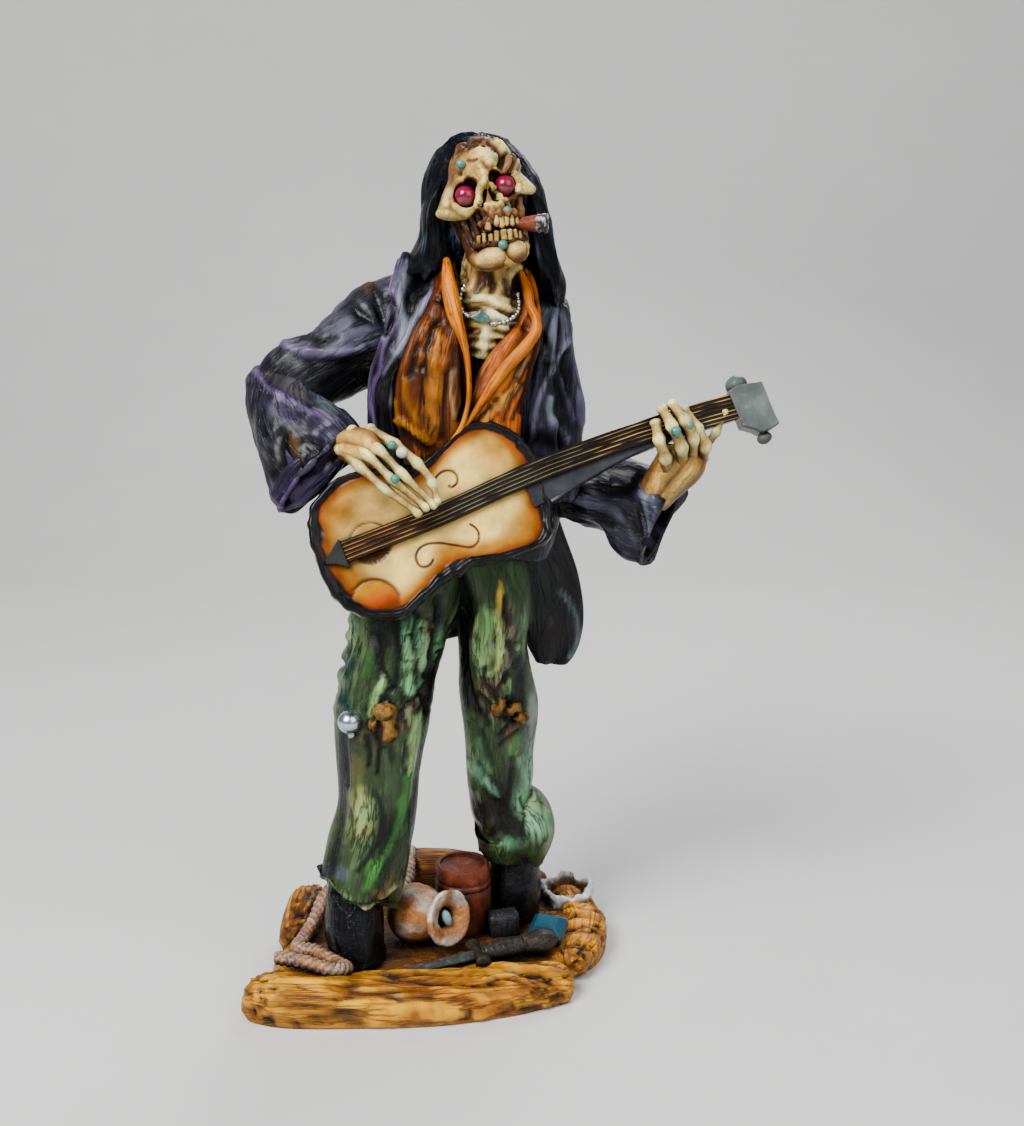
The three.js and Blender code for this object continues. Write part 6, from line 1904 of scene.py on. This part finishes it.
def guitar_body():
    """Rings of the outline: scale is how far out from the middle, and h the height off the strings. The
    pitch on the rim reaches in by 3.5 mm, uneven and with two chips."""
    s_rim, w_rim = through(GUITAR_OUTLINE, np.linspace(0, 1, BODY_SIDES, endpoint=False), closed=True).T
    s_mid, w_mid = BODY_MIDDLE
    reach = np.hypot(s_rim - s_mid, w_rim - w_mid)
    share, inset, h = guitar_rows()
    edge = np.stack([s_rim, w_rim, 0 * s_rim], -1)
    wavy = 0.8 * noise(edge, 7, 4) + 0.35 * noise(edge, 2.5, 9)
    scale = share[:, None] + (inset[:, None] + wavy * step(0.9, 1, share)[:, None]) / reach
    s = s_mid + (s_rim - s_mid) * scale
    w = w_mid + (w_rim - w_mid) * scale
    face = (np.arange(len(h)) >= len(h) - BOARD_ROWS)[:, None] & np.ones(s.shape, bool)
    h = h[:, None] + 0 * s
    spot = np.stack([s, w, h], -1)
    chips = 1.6 * lump(s, w, (-3.3, 7.6), (3, 3)) + 1.4 * lump(s, w, (66, -10), (3, 6))
    depth = reach * (1 - scale) - (3.5 + 0.9 * noise(spot, (9, 9, 9), 3) + chips)
    pitch = np.maximum(step(0.5, -0.5, depth), ~face)
    lines = dark_lines(s, w) * face
    carved = step(1.0, 0.92, oval_share(s, w, *SOUND_HOLE)) * (w < BODY_MIDDLE[1]) * face
    tint = glow(burst(spot, depth), s, w, face)
    tint = between(tint, colour(96, 66, 36), carved)
    tint = between(tint, colour(84, 36, 14), lines)
    tint = between(tint, PITCH, pitch)
    scales = 0.4 * carved * np.sin(3.4 * (s + w)) * np.sin(2.6 * (s - w))
    relief = -0.45 * lines - 0.5 * carved + scales
    relief = relief + 0.10 * rough(spot, 4, 7) + 0.3 * pitch * rough(spot, 3, 8)
    keep(guitar_skins, on_guitar(s, w, h), "lacquer", tint, relief, spot)


guitar_body()
print("skins of the body:", len(guitar_skins))

# %% [markdown]
# ## Neck and strings
#
# The strings touch the fretboard all along on a casting, so they are ridges on it and no free wires. The
# board, the neck, the tail piece and the headstock are bars whose four edges change from row to row.

# %% Neck, strings and headstock
HEAD_START = 141
# Bars: along, low edge, high edge, back and face
FRETBOARD = [
    [2, -4.6, 2.8, -3.4, 0.2], [36, -4.1, 3.1, -3.4, 0.2], [58, -2.6, 4.6, -3.4, 0.2],
    [76, -2, 5.4, -3.4, 0.2], [107, -2.5, 4.9, -3.4, 0.2], [131, -4.7, 3.3, -3.4, 0.2],
    [142, -5.8, 2.2, -3.4, 0.2],
]
NECK = [
    [66, -9.5, 4.5, -9.5, -1.6], [80, -7.8, 4.5, -8.5, -1.6], [105, -4.4, 4.4, -7, -1.6],
    [HEAD_START, -5.6, 2, -6.5, -1.6],
]
TAIL_PIECE = [[-4, -2.6, -1.2, -3.4, -0.6], [-1, -3.8, 0.8, -3.4, 0.1], [2.6, -6.4, 3.6, -3.4, 1]]
HEADSTOCK = [
    [HEAD_START - 1, -9, 3.6, -6.5, 0.8], [HEAD_START + 2, -11, 4.2, -7, 1.3],
    [HEAD_START + 5, -13.4, 4, -7.5, 1.6], [HEAD_START + 10.6, -12.4, 2.8, -7, 0.8],
]


def bar(rows, count, on_face, tint, relief=None):
    """A four-cornered bar of [along, low, high, back, face]: most of a ring's points lie on its face."""
    s, low, high, rear, face = through(rows, np.linspace(0, 1, count)).T[..., None]
    front = np.linspace(0.97, -0.97, on_face)
    edge = np.array([0.93, 0.4, -0.4, -0.93])
    back = np.linspace(-0.97, 0.97, 6)
    c = np.concatenate([front, -np.ones(4), back, np.ones(4)])
    n = np.concatenate([np.ones(on_face), edge, -np.ones(6), edge[::-1]])
    w = 0.5 * (low + high) + 0.5 * (high - low) * c
    h = 0.5 * (rear + face) + 0.5 * (face - rear) * n
    s = s + 0 * w
    height = 0.0 if relief is None else relief(s, w, h)
    paint = tint(s, w, h) if callable(tint) else tint
    keep(guitar_skins, on_guitar(s, w, h), "lacquer", paint, height, np.stack([s, w, h], -1))


def strings(s, w, h):
    """Six raised strings on the face of the board: |cos| ridges across its width."""
    along, low, high = np.array(FRETBOARD).T[:3]
    middle = np.interp(s, along, 0.5 * (low + high))
    top = h > -0.25
    return top * (np.abs(np.cos(math.pi * (w - middle) / 1.35)) ** 4 * 0.5 - 0.25)


def board_tint(s, w, h):
    """Near-black wood with tan strings, browner towards the tail."""
    raised = step(0, 0.22, strings(s, w, h))
    dark = between(colour(22, 24, 22), colour(44, 27, 14), step(44, 14, s) * 0.8)
    light = between(colour(112, 108, 84), colour(176, 128, 74), step(46, 20, s))
    light = between(light, colour(196, 160, 112), step(84, 100, s))
    worn = step(-0.7, 0.3, noise(np.stack([s, w, h], -1), (6, 1.4, 2), 3))
    return between(dark, light, raised * worn * 0.85)


def knob(s, w, size):
    """A tuning knob: a short oval lying along the strings."""
    long, high, deep = size
    grid = ball((0, 0, 0), (0.6 * long + 1, high, deep), wide=28, high=18)
    axes = np.stack([GUITAR_ALONG, GUITAR_UP, GUITAR_OUT])
    grid = grid @ axes + on_guitar(s, w, -2.4)
    keep(guitar_skins, grid, "lacquer", colour(84, 90, 86), 0.2 * rough(grid, 2, 3))


def rough_wood(size, seed, high):
    """Makes a relief: layers of noise on the place along, across and out of the guitar."""
    return lambda s, w, h: high * rough(np.stack([s, w, h], -1), size, seed)


bar(FRETBOARD, 96, 72, board_tint, strings)
bar(NECK, 60, 24, colour(52, 56, 60), rough_wood((12, 3, 3), 4, 0.2))
bar(TAIL_PIECE, 24, 20, colour(40, 42, 40))
bar(HEADSTOCK, 40, 40, colour(96, 102, 98), rough_wood(4, 6, 0.35))
knob(HEAD_START + 3, 5, (4.6, 3.4, 3.6))
knob(HEAD_START + 5, -14.8, (2.6, 2, 2.2))
print("guitar skins:", len(guitar_skins))

# %% [markdown]
# ## Beads, stones and the cigar
#
# What is glued on stays separate, so it can take glass and metal of its own. Each stone follows its CAD
# node's place and size. The pendant and its string of silvered beads hang on the ribs and are small
# enough that the CAD model leaves them out.

# %% Eyes
EYE_RADIUS = 3.3
EYE_DEPTH = 11.4
CRIMSON = colour(126, 20, 48)
glued = {}


def glue(name, grid, paint, tint, relief=0.0):
    """Stores one skin under a piece's name."""
    keep(glued.setdefault(name, []), grid, paint, tint, relief)


def eye(name, side):
    """A red bead with pale streaks: step(0.2, 0.8, noise drawn out upwards)."""
    bead = ball(on_head([side * EYE_SPREAD, 0, EYE_DEPTH]), (EYE_RADIUS,) * 3, wide=56, high=36)
    streaks = step(0.2, 0.8, noise(bead + side, (1.6, 1.6, 5), 4))
    glue(name, bead, "glass", between(CRIMSON, colour(206, 84, 116), 0.5 * streaks))


eye("eye_left", -1)
eye("eye_right", 1)
print("eyes:", list(glued))

# %% Studs and pearl
STUD_RADIUS = 1.5
TURQUOISE = colour(74, 136, 126)
PEARL_PLACE = (-3.2, -39.8, 198.4)
STONES = {
    "forehead_stud": (on_head([-5.5, 9.6, 13.4]), STUD_RADIUS),
    "lip_stud": (on_head([5.1, -8.1, 14.8]), STUD_RADIUS),
    "chin_stud": (on_head([1, -18, 15.8]), STUD_RADIUS),
    "ring_stone_1": ((-5.2, -44.4, 190.4), STUD_RADIUS),
    "ring_stone_2": ((-6.3, -39.2, 200.7), STUD_RADIUS),
    "ring_stone_3": ((85.1, -32.8, 204.4), STUD_RADIUS + 0.3),
    "ring_stone_4": ((89.8, -31, 206.2), STUD_RADIUS - 0.1),
}


def stud(name, place, radius):
    """A round stone with dark veins: step(0.35, 0.7, noise)."""
    stone = ball(place, (radius,) * 3, wide=28, high=18)
    vein = step(0.35, 0.7, noise(stone, 1.1, 6))
    tint = between(TURQUOISE, colour(40, 70, 66), 0.6 * vein)
    glue(name, stone, "stone", tint, 0.05 * noise(stone, 0.8, 3))


for name, (place, radius) in STONES.items():
    stud(name, place, radius)
pearl = ball(PEARL_PLACE, (STUD_RADIUS + 0.4,) * 3, wide=32, high=20)
glue("ring_pearl", pearl, "pearl", colour(236, 224, 194))
print("with the stones:", len(glued))

# %% Knee ball, pebble and gem
KNEE_BALL = (-25, -15, 100.5)
KNEE_BALL_CAP = (-24.4, -15, 95.9)
PEBBLE_HEIGHT = 16.3
GEM_PLACE = [45.4, -1.4, 15.6]
GEM_SQUARE = 0.16


def knee_ball():
    """A silvered ball, and under it a small cap with eight ribs: relief 0.15 sin(8 angle)."""
    sides = 20
    glue("knee_ball", ball(KNEE_BALL, (4.2, 4.2, 4.2), wide=48, high=30), "mirror", colour(214, 224, 226))
    cap = ball(KNEE_BALL_CAP, (1.3, 1.3, 1.6), wide=sides, high=14)
    ribs = np.sin(8 * np.linspace(0, TAU, sides, endpoint=False))
    glue("knee_ball", cap, "mirror", colour(190, 196, 196), 0.15 * ribs[None])


def jar_pebble():
    """A long pebble, leaning, that sits in the jar's mouth."""
    lean = np.array(Matrix.Rotation(-0.35, 3, "Y"))
    pebble = ball((0, 0, 0), (1.7, 1.9, 3.2), wide=28, high=20) @ lean.T
    pebble = pebble + JAR_MIDDLE + unit(JAR_AXIS) * PEBBLE_HEIGHT
    glue("jar_pebble", pebble, "stone", colour(150, 176, 174), 0.08 * noise(pebble, 1.4, 3))


def base_gem():
    """A step-cut stone: square rings with short corners, from the girdle in to a flat table."""
    sides = 48
    turn = np.array(Matrix.Rotation(-0.35, 3, "Z") @ Matrix.Rotation(0.42, 3, "X"))
    # Half width, half depth and height of each ring
    profile = [
        [5.2, 4.2, -4.5], [6.5, 5.3, -1.1], [6.6, 5.4, -0.9], [6.6, 5.4, 1.1], [6.5, 5.3, 1.3], [4, 3, 4.4],
    ]
    angle = np.linspace(0, TAU, sides, endpoint=False)
    c = np.cos(angle)
    s = np.sin(angle)
    cut = np.stack([np.sign(c) * np.abs(c) ** GEM_SQUARE, np.sign(s) * np.abs(s) ** GEM_SQUARE], -1)
    rings = [np.c_[cut * [x, y], np.full(sides, z)] for x, y, z in profile]
    grid = np.stack(rings) @ turn.T + GEM_PLACE
    # Painted light on the facets that face up, painted shade on those that face down
    level = step(-0.5, 0.9, outward(grid)[..., 2])
    glue("base_gem", grid, "gem", between(colour(8, 26, 38), colour(22, 74, 92), level))


knee_ball()
jar_pebble()
base_gem()
print("with the gem:", len(glued))

# %% Cigar
CIGAR_FROM = on_head([6.6, -12.4, 12])
CIGAR_TO = on_head([16.2, -15, 15])


def cigar():
    """Wrapped leaf with a slow spiral seam, and a crumbling grey ash over its last third."""
    middle = 0.5 * (CIGAR_FROM + CIGAR_TO)
    stations = [[*CIGAR_FROM, 1.2, 1.2], [*middle, 2.5, 2.5], [*CIGAR_TO, 2.9, 2.9]]
    grid, angle, t = limb(stations, 70, 44, front=(0, 0, 1), dome=(0.5, 0.5))
    ash = step(0.66, 0.72, t + 0.03 * noise(grid, 1.5, 3))
    seam = bump((angle / TAU + 1.6 * t) % 1, 0.5, 0.03)
    wrapped = 0.1 * noise(grid, (6, 1.2, 1.2), 3) - 0.2 * seam
    crumbs = rough(grid, 1.1, 5)
    leaf = between(colour(96, 44, 28), colour(146, 76, 48), patchy(grid, (5, 1.5, 1.5), 4))
    soot = between(colour(60, 52, 50), colour(206, 198, 196), step(-0.2, 0.5, crumbs))
    glue("cigar", grid, "cigar leaf", between(leaf, soot, ash), (1 - ash) * wrapped + ash * 0.35 * crumbs)


cigar()
print("length of the cigar in mm:", np.linalg.norm(CIGAR_TO - CIGAR_FROM))

# %% Pendant and necklace
BEAD_RADIUS = 0.8
PENDANT_PLACE = np.array([21.6, -18.9, 240.3])
SHORT_STRING = [
    [16.4, -15.6, 250.6], [15, -17, 247.6], [14.6, -18, 244.6], [15.6, -18.4, 242.4], [17.4, -18.6, 241],
]
LONG_STRING = [
    [25.3, -18, 238.2], [29.1, -17.6, 238.8], [32.2, -16.6, 240.2], [34.2, -15, 242.6],
    [34.4, -13.4, 245.6], [34, -12.4, 248],
]


def pendant():
    """A turquoise plate of five uneven corners, with a flat face and bevelled edges."""
    places = 12
    corners = np.array([[-4.0, 0.4], [0.2, 2.9], [3.0, 0.6], [3.4, -1.6], [-0.8, -1.5]])
    edges = [np.linspace(a, b, places, endpoint=False) for a, b in zip(corners, np.roll(corners, -1, 0))]
    outline = np.concatenate(edges)
    # Share of the outline, and how far behind the plate's middle
    profile = [[0.05, 1.2], [0.9, 1.2], [1, 0.6], [1, 0], [0.86, -0.9], [0.8, -1], [0.05, -1.1]]
    rings = [np.c_[outline[:, 0] * k, np.full(len(outline), y), outline[:, 1] * k] for k, y in profile]
    grid = np.stack(rings) + PENDANT_PLACE
    veins = step(0, 0.6, noise(grid, 1.4, 3))
    glue("pendant", grid, "stone", between(colour(84, 122, 108), colour(52, 80, 72), veins))


def necklace(path, count):
    """Beads along a curve: one ball for each of the places, growing and shrinking a little."""
    for k, place in enumerate(through(path, np.linspace(0, 1, count))):
        radius = BEAD_RADIUS * (1 + 0.25 * math.sin(2.4 * k))
        glue("necklace", ball(place, (radius,) * 3, wide=12, high=8), "mirror", colour(206, 204, 200))


pendant()
necklace(SHORT_STRING, 10)
necklace(LONG_STRING, 15)
print("glued pieces:", len(glued))

# %% [markdown]
# ## Paint
#
# A painted casting has three coats: the colour itself, a dark wash that stays in the hollows, and a pale
# dry brush that only touches the ridges. The wash here follows two things, the carved height kept on
# each point and the light that fails to reach a hollow, which Cycles finds as ambient occlusion; that
# second part is painted shade, and it also darkens the colour itself in the hollows.

# %% Shader nodes
def blank(name):
    """A new material, its node tree and its shader."""
    material = bpy.data.materials.new(name)
    material.use_nodes = True
    return material, material.node_tree, material.node_tree.nodes["Principled BSDF"]


def node(tree, kind, inputs=(), **settings):
    """A shader node with its options set, and its inputs given as values or as other outputs."""
    made = tree.nodes.new(kind)
    for key, value in settings.items():
        setattr(made, key, value)
    for key, value in dict(inputs).items():
        if isinstance(value, bpy.types.NodeSocket):
            tree.links.new(value, made.inputs[key])
        else:
            made.inputs[key].default_value = value
    return made


def settle(made, values):
    """Sets the sockets that hold one value throughout."""
    for key, value in values.items():
        made.inputs[key].default_value = value


def mix(tree, share, a, b):
    """A colour blend of a and b. The node keeps its colours at sockets 6 and 7 and gives one at 2."""
    inputs = {0: share, 6: a, 7: b}
    return node(tree, "ShaderNodeMix", inputs, data_type="RGBA", clamp_factor=True).outputs[2]


def stored(tree, name, output):
    """What keep() stored at each point under that name."""
    return node(tree, "ShaderNodeAttribute", attribute_name=name).outputs[output]


def shade_by(tree, tint, level):
    """A colour multiplied by a value."""
    inputs = {0: tint, 1: level}
    return node(tree, "ShaderNodeVectorMath", inputs, operation="MULTIPLY").outputs["Vector"]


def remap(tree, value, low, high, to_low=0.0, to_high=1.0):
    """A value carried from one range to another, clamped at both ends."""
    inputs = {"Value": value, "From Min": low, "From Max": high, "To Min": to_low, "To Max": to_high}
    return node(tree, "ShaderNodeMapRange", inputs).outputs["Result"]


def fuzz(tree, size, stretch=(1, 1, 1), detail=4.0):
    """Noise on Object coordinates, with features of that size in mm, drawn out by the stretch."""
    place = node(tree, "ShaderNodeTexCoord").outputs["Object"]
    scaled = node(tree, "ShaderNodeMapping", {"Vector": place, "Scale": stretch}).outputs["Vector"]
    inputs = {"Vector": scaled, "Scale": MM_PER_METRE / size, "Detail": detail, "Roughness": 0.6}
    return node(tree, "ShaderNodeTexNoise", inputs).outputs["Fac"]


def worked(tree, a, b, operation="MULTIPLY"):
    """Two values multiplied, or put through another operation."""
    return node(tree, "ShaderNodeMath", {0: a, 1: b}, operation=operation).outputs["Value"]


print("noise scale for features of 2 mm:", MM_PER_METRE / 2)

# %% Painted resin
def painted(
    name, wash, dry, wash_share=0.85, dry_share=0.5, gloss=(0.32, 0.5), size=1.0, stretch=0.2, cut_mm=0.3,
    bump_mm=0.12, varnish=0.1, cut_wash=0.9, sheen=0.16, deep=0.4,
):
    """Colour from the tint, wash in the lows of the carving and its fine cuts, painted shade in the hollows
    that ambient occlusion finds, dry brush on the highs. Lows start at the height deep; wash and dry are
    given as screen colours."""
    material, tree, shader = blank(name)
    tint = stored(tree, "tint", "Color")
    relief = stored(tree, "relief", "Fac")
    lay = stored(tree, "lay", "Vector")
    along = node(tree, "ShaderNodeMapping", {"Vector": lay, "Scale": (1, 1, stretch)}).outputs["Vector"]
    inputs = {"Vector": along, "Scale": MM_PER_METRE / (2.4 * size), "Detail": 4.0, "Roughness": 0.55}
    strand = node(tree, "ShaderNodeTexNoise", inputs).outputs["Fac"]
    # Where the noise crosses its middle value runs one thin cut along the limb
    apart = worked(tree, worked(tree, strand, 0.5, "SUBTRACT"), 0.0, "ABSOLUTE")
    crest = remap(tree, apart, 0.0, 0.07)
    fine = fuzz(tree, 0.9 * size)
    broad = fuzz(tree, 7 * size, (1, 1, 0.6), 2.0)
    shifted = worked(tree, relief, worked(tree, fine, 0.8), "ADD")
    # Painted shade: ambient occlusion adds to the wash in the hollows
    open_sky = node(tree, "ShaderNodeAmbientOcclusion", {"Distance": 0.007}, samples=6, only_local=True)
    occlusion_shade = remap(tree, open_sky.outputs["AO"], 0.92, 0.35)
    cut = worked(tree, remap(tree, crest, 0.7, 0.0), remap(tree, broad, 0.35, 0.6, 0.2 * cut_wash, cut_wash))
    low = worked(tree, worked(tree, remap(tree, shifted, deep, deep - 0.9), occlusion_shade, "MAXIMUM"), cut, "MAXIMUM")
    colours = mix(tree, worked(tree, low, wash_share), tint, (*colour(*wash), 1))
    mottle = remap(tree, worked(tree, broad, strand, "ADD"), 0.75, 1.25, 0.6, 1.4)
    # Painted shade: the colour itself darkens where ambient occlusion finds a hollow
    mottle = worked(tree, mottle, remap(tree, occlusion_shade, 0.0, 1.0, 1.0, 0.55))
    shaded = shade_by(tree, colours, mottle)
    ridge = remap(tree, worked(tree, shifted, crest, "ADD"), 1.7, 2.7)
    high = worked(tree, ridge, remap(tree, broad, 0.4, 0.62))
    final = mix(tree, worked(tree, high, dry_share), shaded, (*colour(*dry), 1))
    tree.links.new(final, shader.inputs["Base Color"])
    tree.links.new(remap(tree, broad, 0.3, 0.7, gloss[0], gloss[1]), shader.inputs["Roughness"])
    height = worked(tree, worked(tree, crest, cut_mm), worked(tree, fine, bump_mm), "ADD")
    carved = node(tree, "ShaderNodeBump", {"Height": height, "Strength": 0.8, "Distance": MM})
    tree.links.new(carved.outputs["Normal"], shader.inputs["Normal"])
    settle(shader, {"Coat Weight": varnish, "Coat Roughness": 0.2, "Specular IOR Level": sheen})
    return material


print("a wash of brown:", colour(70, 38, 18))

# %% Glass and stone
def glassy(name, roughness, coat, metallic=0.0, size=1.2, bump_mm=0.02):
    """A hard bright stone or bead: its tint under a clear coat, with the least unevenness."""
    material, tree, shader = blank(name)
    tint = stored(tree, "tint", "Color")
    cloud = fuzz(tree, size, detail=3.0)
    level = remap(tree, cloud, 0.3, 0.7, 0.75, 1.15)
    shaded = shade_by(tree, tint, level)
    tree.links.new(shaded, shader.inputs["Base Color"])
    inputs = {"Height": cloud, "Strength": 0.4, "Distance": bump_mm * MM}
    tree.links.new(node(tree, "ShaderNodeBump", inputs).outputs["Normal"], shader.inputs["Normal"])
    settle(shader, {"Roughness": roughness, "Metallic": metallic})
    settle(shader, {"Coat Weight": coat, "Coat Roughness": 0.04})
    return material


print("materials before any is mixed:", len(bpy.data.materials))

# %% The paints
# Wash and dry brush as screen colours, how much of each, the range of roughness, the size of the noise in
# mm, how far it is drawn out along the limb, and the depth of the fine cuts in mm
PAINTED = {
    "bone": ((70, 38, 18), (255, 224, 160), 0.95, 0.5, (0.3, 0.46), 1.3, 0.6, 0.12),
    "timber": ((44, 24, 12), (238, 176, 88), 0.95, 0.6, (0.35, 0.55), 1.1, 0.1, 0.5),
    "fibre": ((50, 26, 14), (226, 200, 164), 0.95, 0.4, (0.5, 0.65), 0.6, 0.4, 0.15),
    "clay": ((48, 24, 12), (240, 214, 182), 0.85, 0.45, (0.4, 0.6), 1.1, 0.5, 0.15),
    "pewter": ((6, 6, 6), (206, 190, 160), 0.9, 0.6, (0.28, 0.45), 0.8, 0.6, 0.15),
    "boot": ((4, 4, 6), (120, 128, 140), 0.6, 0.08, (0.14, 0.28), 1.8, 0.6, 0.2),
    "trousers": ((12, 13, 8), (176, 190, 140), 0.95, 0.4, (0.28, 0.42), 1.6, 0.26, 0.25),
    "coat": ((5, 5, 8), (140, 136, 158), 0.9, 0.25, (0.28, 0.42), 1.5, 0.16, 0.28),
    "shirt": ((36, 14, 7), (240, 160, 84), 0.95, 0.3, (0.28, 0.4), 1.4, 0.12, 0.14),
    "hair": ((2, 3, 5), (96, 112, 132), 0.95, 0.6, (0.3, 0.42), 0.5, 0.05, 0.4),
    "lacquer": ((60, 30, 12), (252, 232, 180), 0.6, 0.2, (0.2, 0.34), 3.0, 0.5, 0.0),
    "cigar leaf": ((50, 20, 10), (232, 226, 222), 0.9, 0.4, (0.5, 0.7), 0.8),
}
# Where a paint differs from the usual varnish, sheen, fine bumps and depth of the wash
SPECIAL = {
    "bone": {"bump_mm": 0.1, "cut_wash": 0.55, "deep": 0.7},
    "clay": {"cut_wash": 0.5},
    "boot": {"varnish": 0.12},
    "trousers": {"cut_wash": 1.0},
    "shirt": {"varnish": 0.05, "cut_wash": 0.95, "sheen": 0.12},
    "hair": {"sheen": 0.1},
    "lacquer": {"bump_mm": 0.05, "varnish": 0.05, "cut_wash": 0.0, "sheen": 0.12},
}
paints = {name: painted(name, *row, **SPECIAL.get(name, {})) for name, row in PAINTED.items()}
paints.update({
    "glass": glassy("red glass", 0.2, 0.4),
    "stone": glassy("turquoise", 0.3, 0.4, bump_mm=0.05),
    "pearl": glassy("pearl", 0.22, 0.6),
    "mirror": glassy("silvered glass", 0.26, 0.3, metallic=1.0, size=2.2, bump_mm=0.08),
    "gem": glassy("teal glass", 0.45, 0.1),
})
print("paints mixed:", len(paints))

# %% [markdown]
# ## Joining it all
#
# The casting is one physical piece, so its skins are joined into one object, and that object takes the
# place of the CAD figure. Every glued piece does the same for its own node.

# %% Pieces on the frame
SLOTS = {
    "eye_left": "red_glass", "eye_right": "red_glass", "cigar": "cigar_paint", "knee_ball": "silvered_glass",
    "base_gem": "teal_glass", "jar_pebble": "pebble_stone", "ring_pearl": "pearl",
    "pendant": "turquoise", "necklace": "silvered_glass",
}
NO_NODE = ("pendant", "necklace")
pieces = {
    "figure": (build("figurine", casting), "painted_resin"),
    "guitar": (build("six_stringed_guitar", guitar_skins), "guitar_paint"),
}
for name, skins in glued.items():
    pieces[name] = (build(name + "_bead", skins), SLOTS.get(name, "turquoise"))
for name, (piece, slot) in pieces.items():
    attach(piece, "root")
    if name not in NO_NODE:
        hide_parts(name)
print("pieces:", len(pieces))

# %% [markdown]
# ## Floor and light
#
# A pale floor that curves up behind the object gives a quiet background. The photograph's light is a soft
# overcast sky from the upper left with a bright window's width to it, so one broad lamp does most of the
# work and a second, weaker one opens the shadows.

# %% Backdrop
FLOOR_COLUMNS = 24
FLOOR_ROWS = 16
WALL_ROWS = 6
FLOOR_END = 0.7
CURVE_RADIUS = 0.5


def backdrop():
    """A sheet that runs back along the floor and rises behind in a quarter circle."""
    x = np.linspace(-1.6, 1.6, FLOOR_COLUMNS)
    turn = np.linspace(0, math.pi / 2, 20)[1:]
    flat = np.linspace(-1.2, FLOOR_END, FLOOR_ROWS)
    wall = FLOOR_END + CURVE_RADIUS
    y = np.concatenate([flat, FLOOR_END + CURVE_RADIUS * np.sin(turn), np.full(WALL_ROWS, wall)])
    rising = np.linspace(0.6, 1.8, WALL_ROWS)
    z = np.concatenate([0 * flat, CURVE_RADIUS - CURVE_RADIUS * np.cos(turn), rising])
    across = np.repeat(x[None], len(y), 0)
    points = np.stack([across, y[:, None] + 0 * across, z[:, None] + 0 * across], -1)
    here = (np.arange(len(y) - 1)[:, None] * FLOOR_COLUMNS + np.arange(FLOOR_COLUMNS - 1)[None]).ravel()
    faces = np.stack([here, here + 1, here + 1 + FLOOR_COLUMNS, here + FLOOR_COLUMNS], -1)
    mesh = bpy.data.meshes.new("floor")
    mesh.from_pydata(points.reshape(-1, 3).tolist(), [], faces.tolist())
    mesh.shade_smooth()
    material, tree, shader = blank("pale floor")
    cloud = fuzz(tree, 60, detail=3.0)
    pale = mix(tree, cloud, (0.76, 0.75, 0.73, 1), (0.82, 0.81, 0.79, 1))
    tree.links.new(pale, shader.inputs["Base Color"])
    settle(shader, {"Roughness": 0.8})
    mesh.materials.append(material)
    return placed("floor", mesh)


print("the wall stands at y =", FLOOR_END + CURVE_RADIUS, "m")

# %% Lamps and sky
LIT_POINT = (0, 0, 0.17)


def lamp(name, place, aim, size, power, warmth=(1, 1, 1)):
    """A square area lamp that faces a point."""
    light = bpy.data.lights.new(name, "AREA")
    light.size = size
    light.energy = power
    light.color = warmth
    made = placed(name, light)
    back = unit(np.array(place) - np.array(aim))
    side = unit(np.cross([0, 0, 1], back))
    turn = np.stack([side, np.cross(back, side), back], 1)
    made.matrix_world = Matrix.Translation(place) @ Matrix(turn.tolist()).to_4x4()
    return made


backdrop()
lamp("window", (-0.55, -0.75, 0.95), LIT_POINT, 0.6, 25)
lamp("sky", (0.6, -0.6, 0.7), LIT_POINT, 0.8, 5, (0.9, 0.95, 1))
lamp("back light", (0.3, 0.7, 0.8), (0, 0, 0.2), 0.5, 5)
world = bpy.data.worlds.new("overcast")
world.use_nodes = True
overcast = world.node_tree.nodes["Background"]
settle(overcast, {"Color": (0.85, 0.88, 0.93, 1), "Strength": 0.25})
bpy.context.scene.world = world
print("lamps:", len(bpy.data.lights))
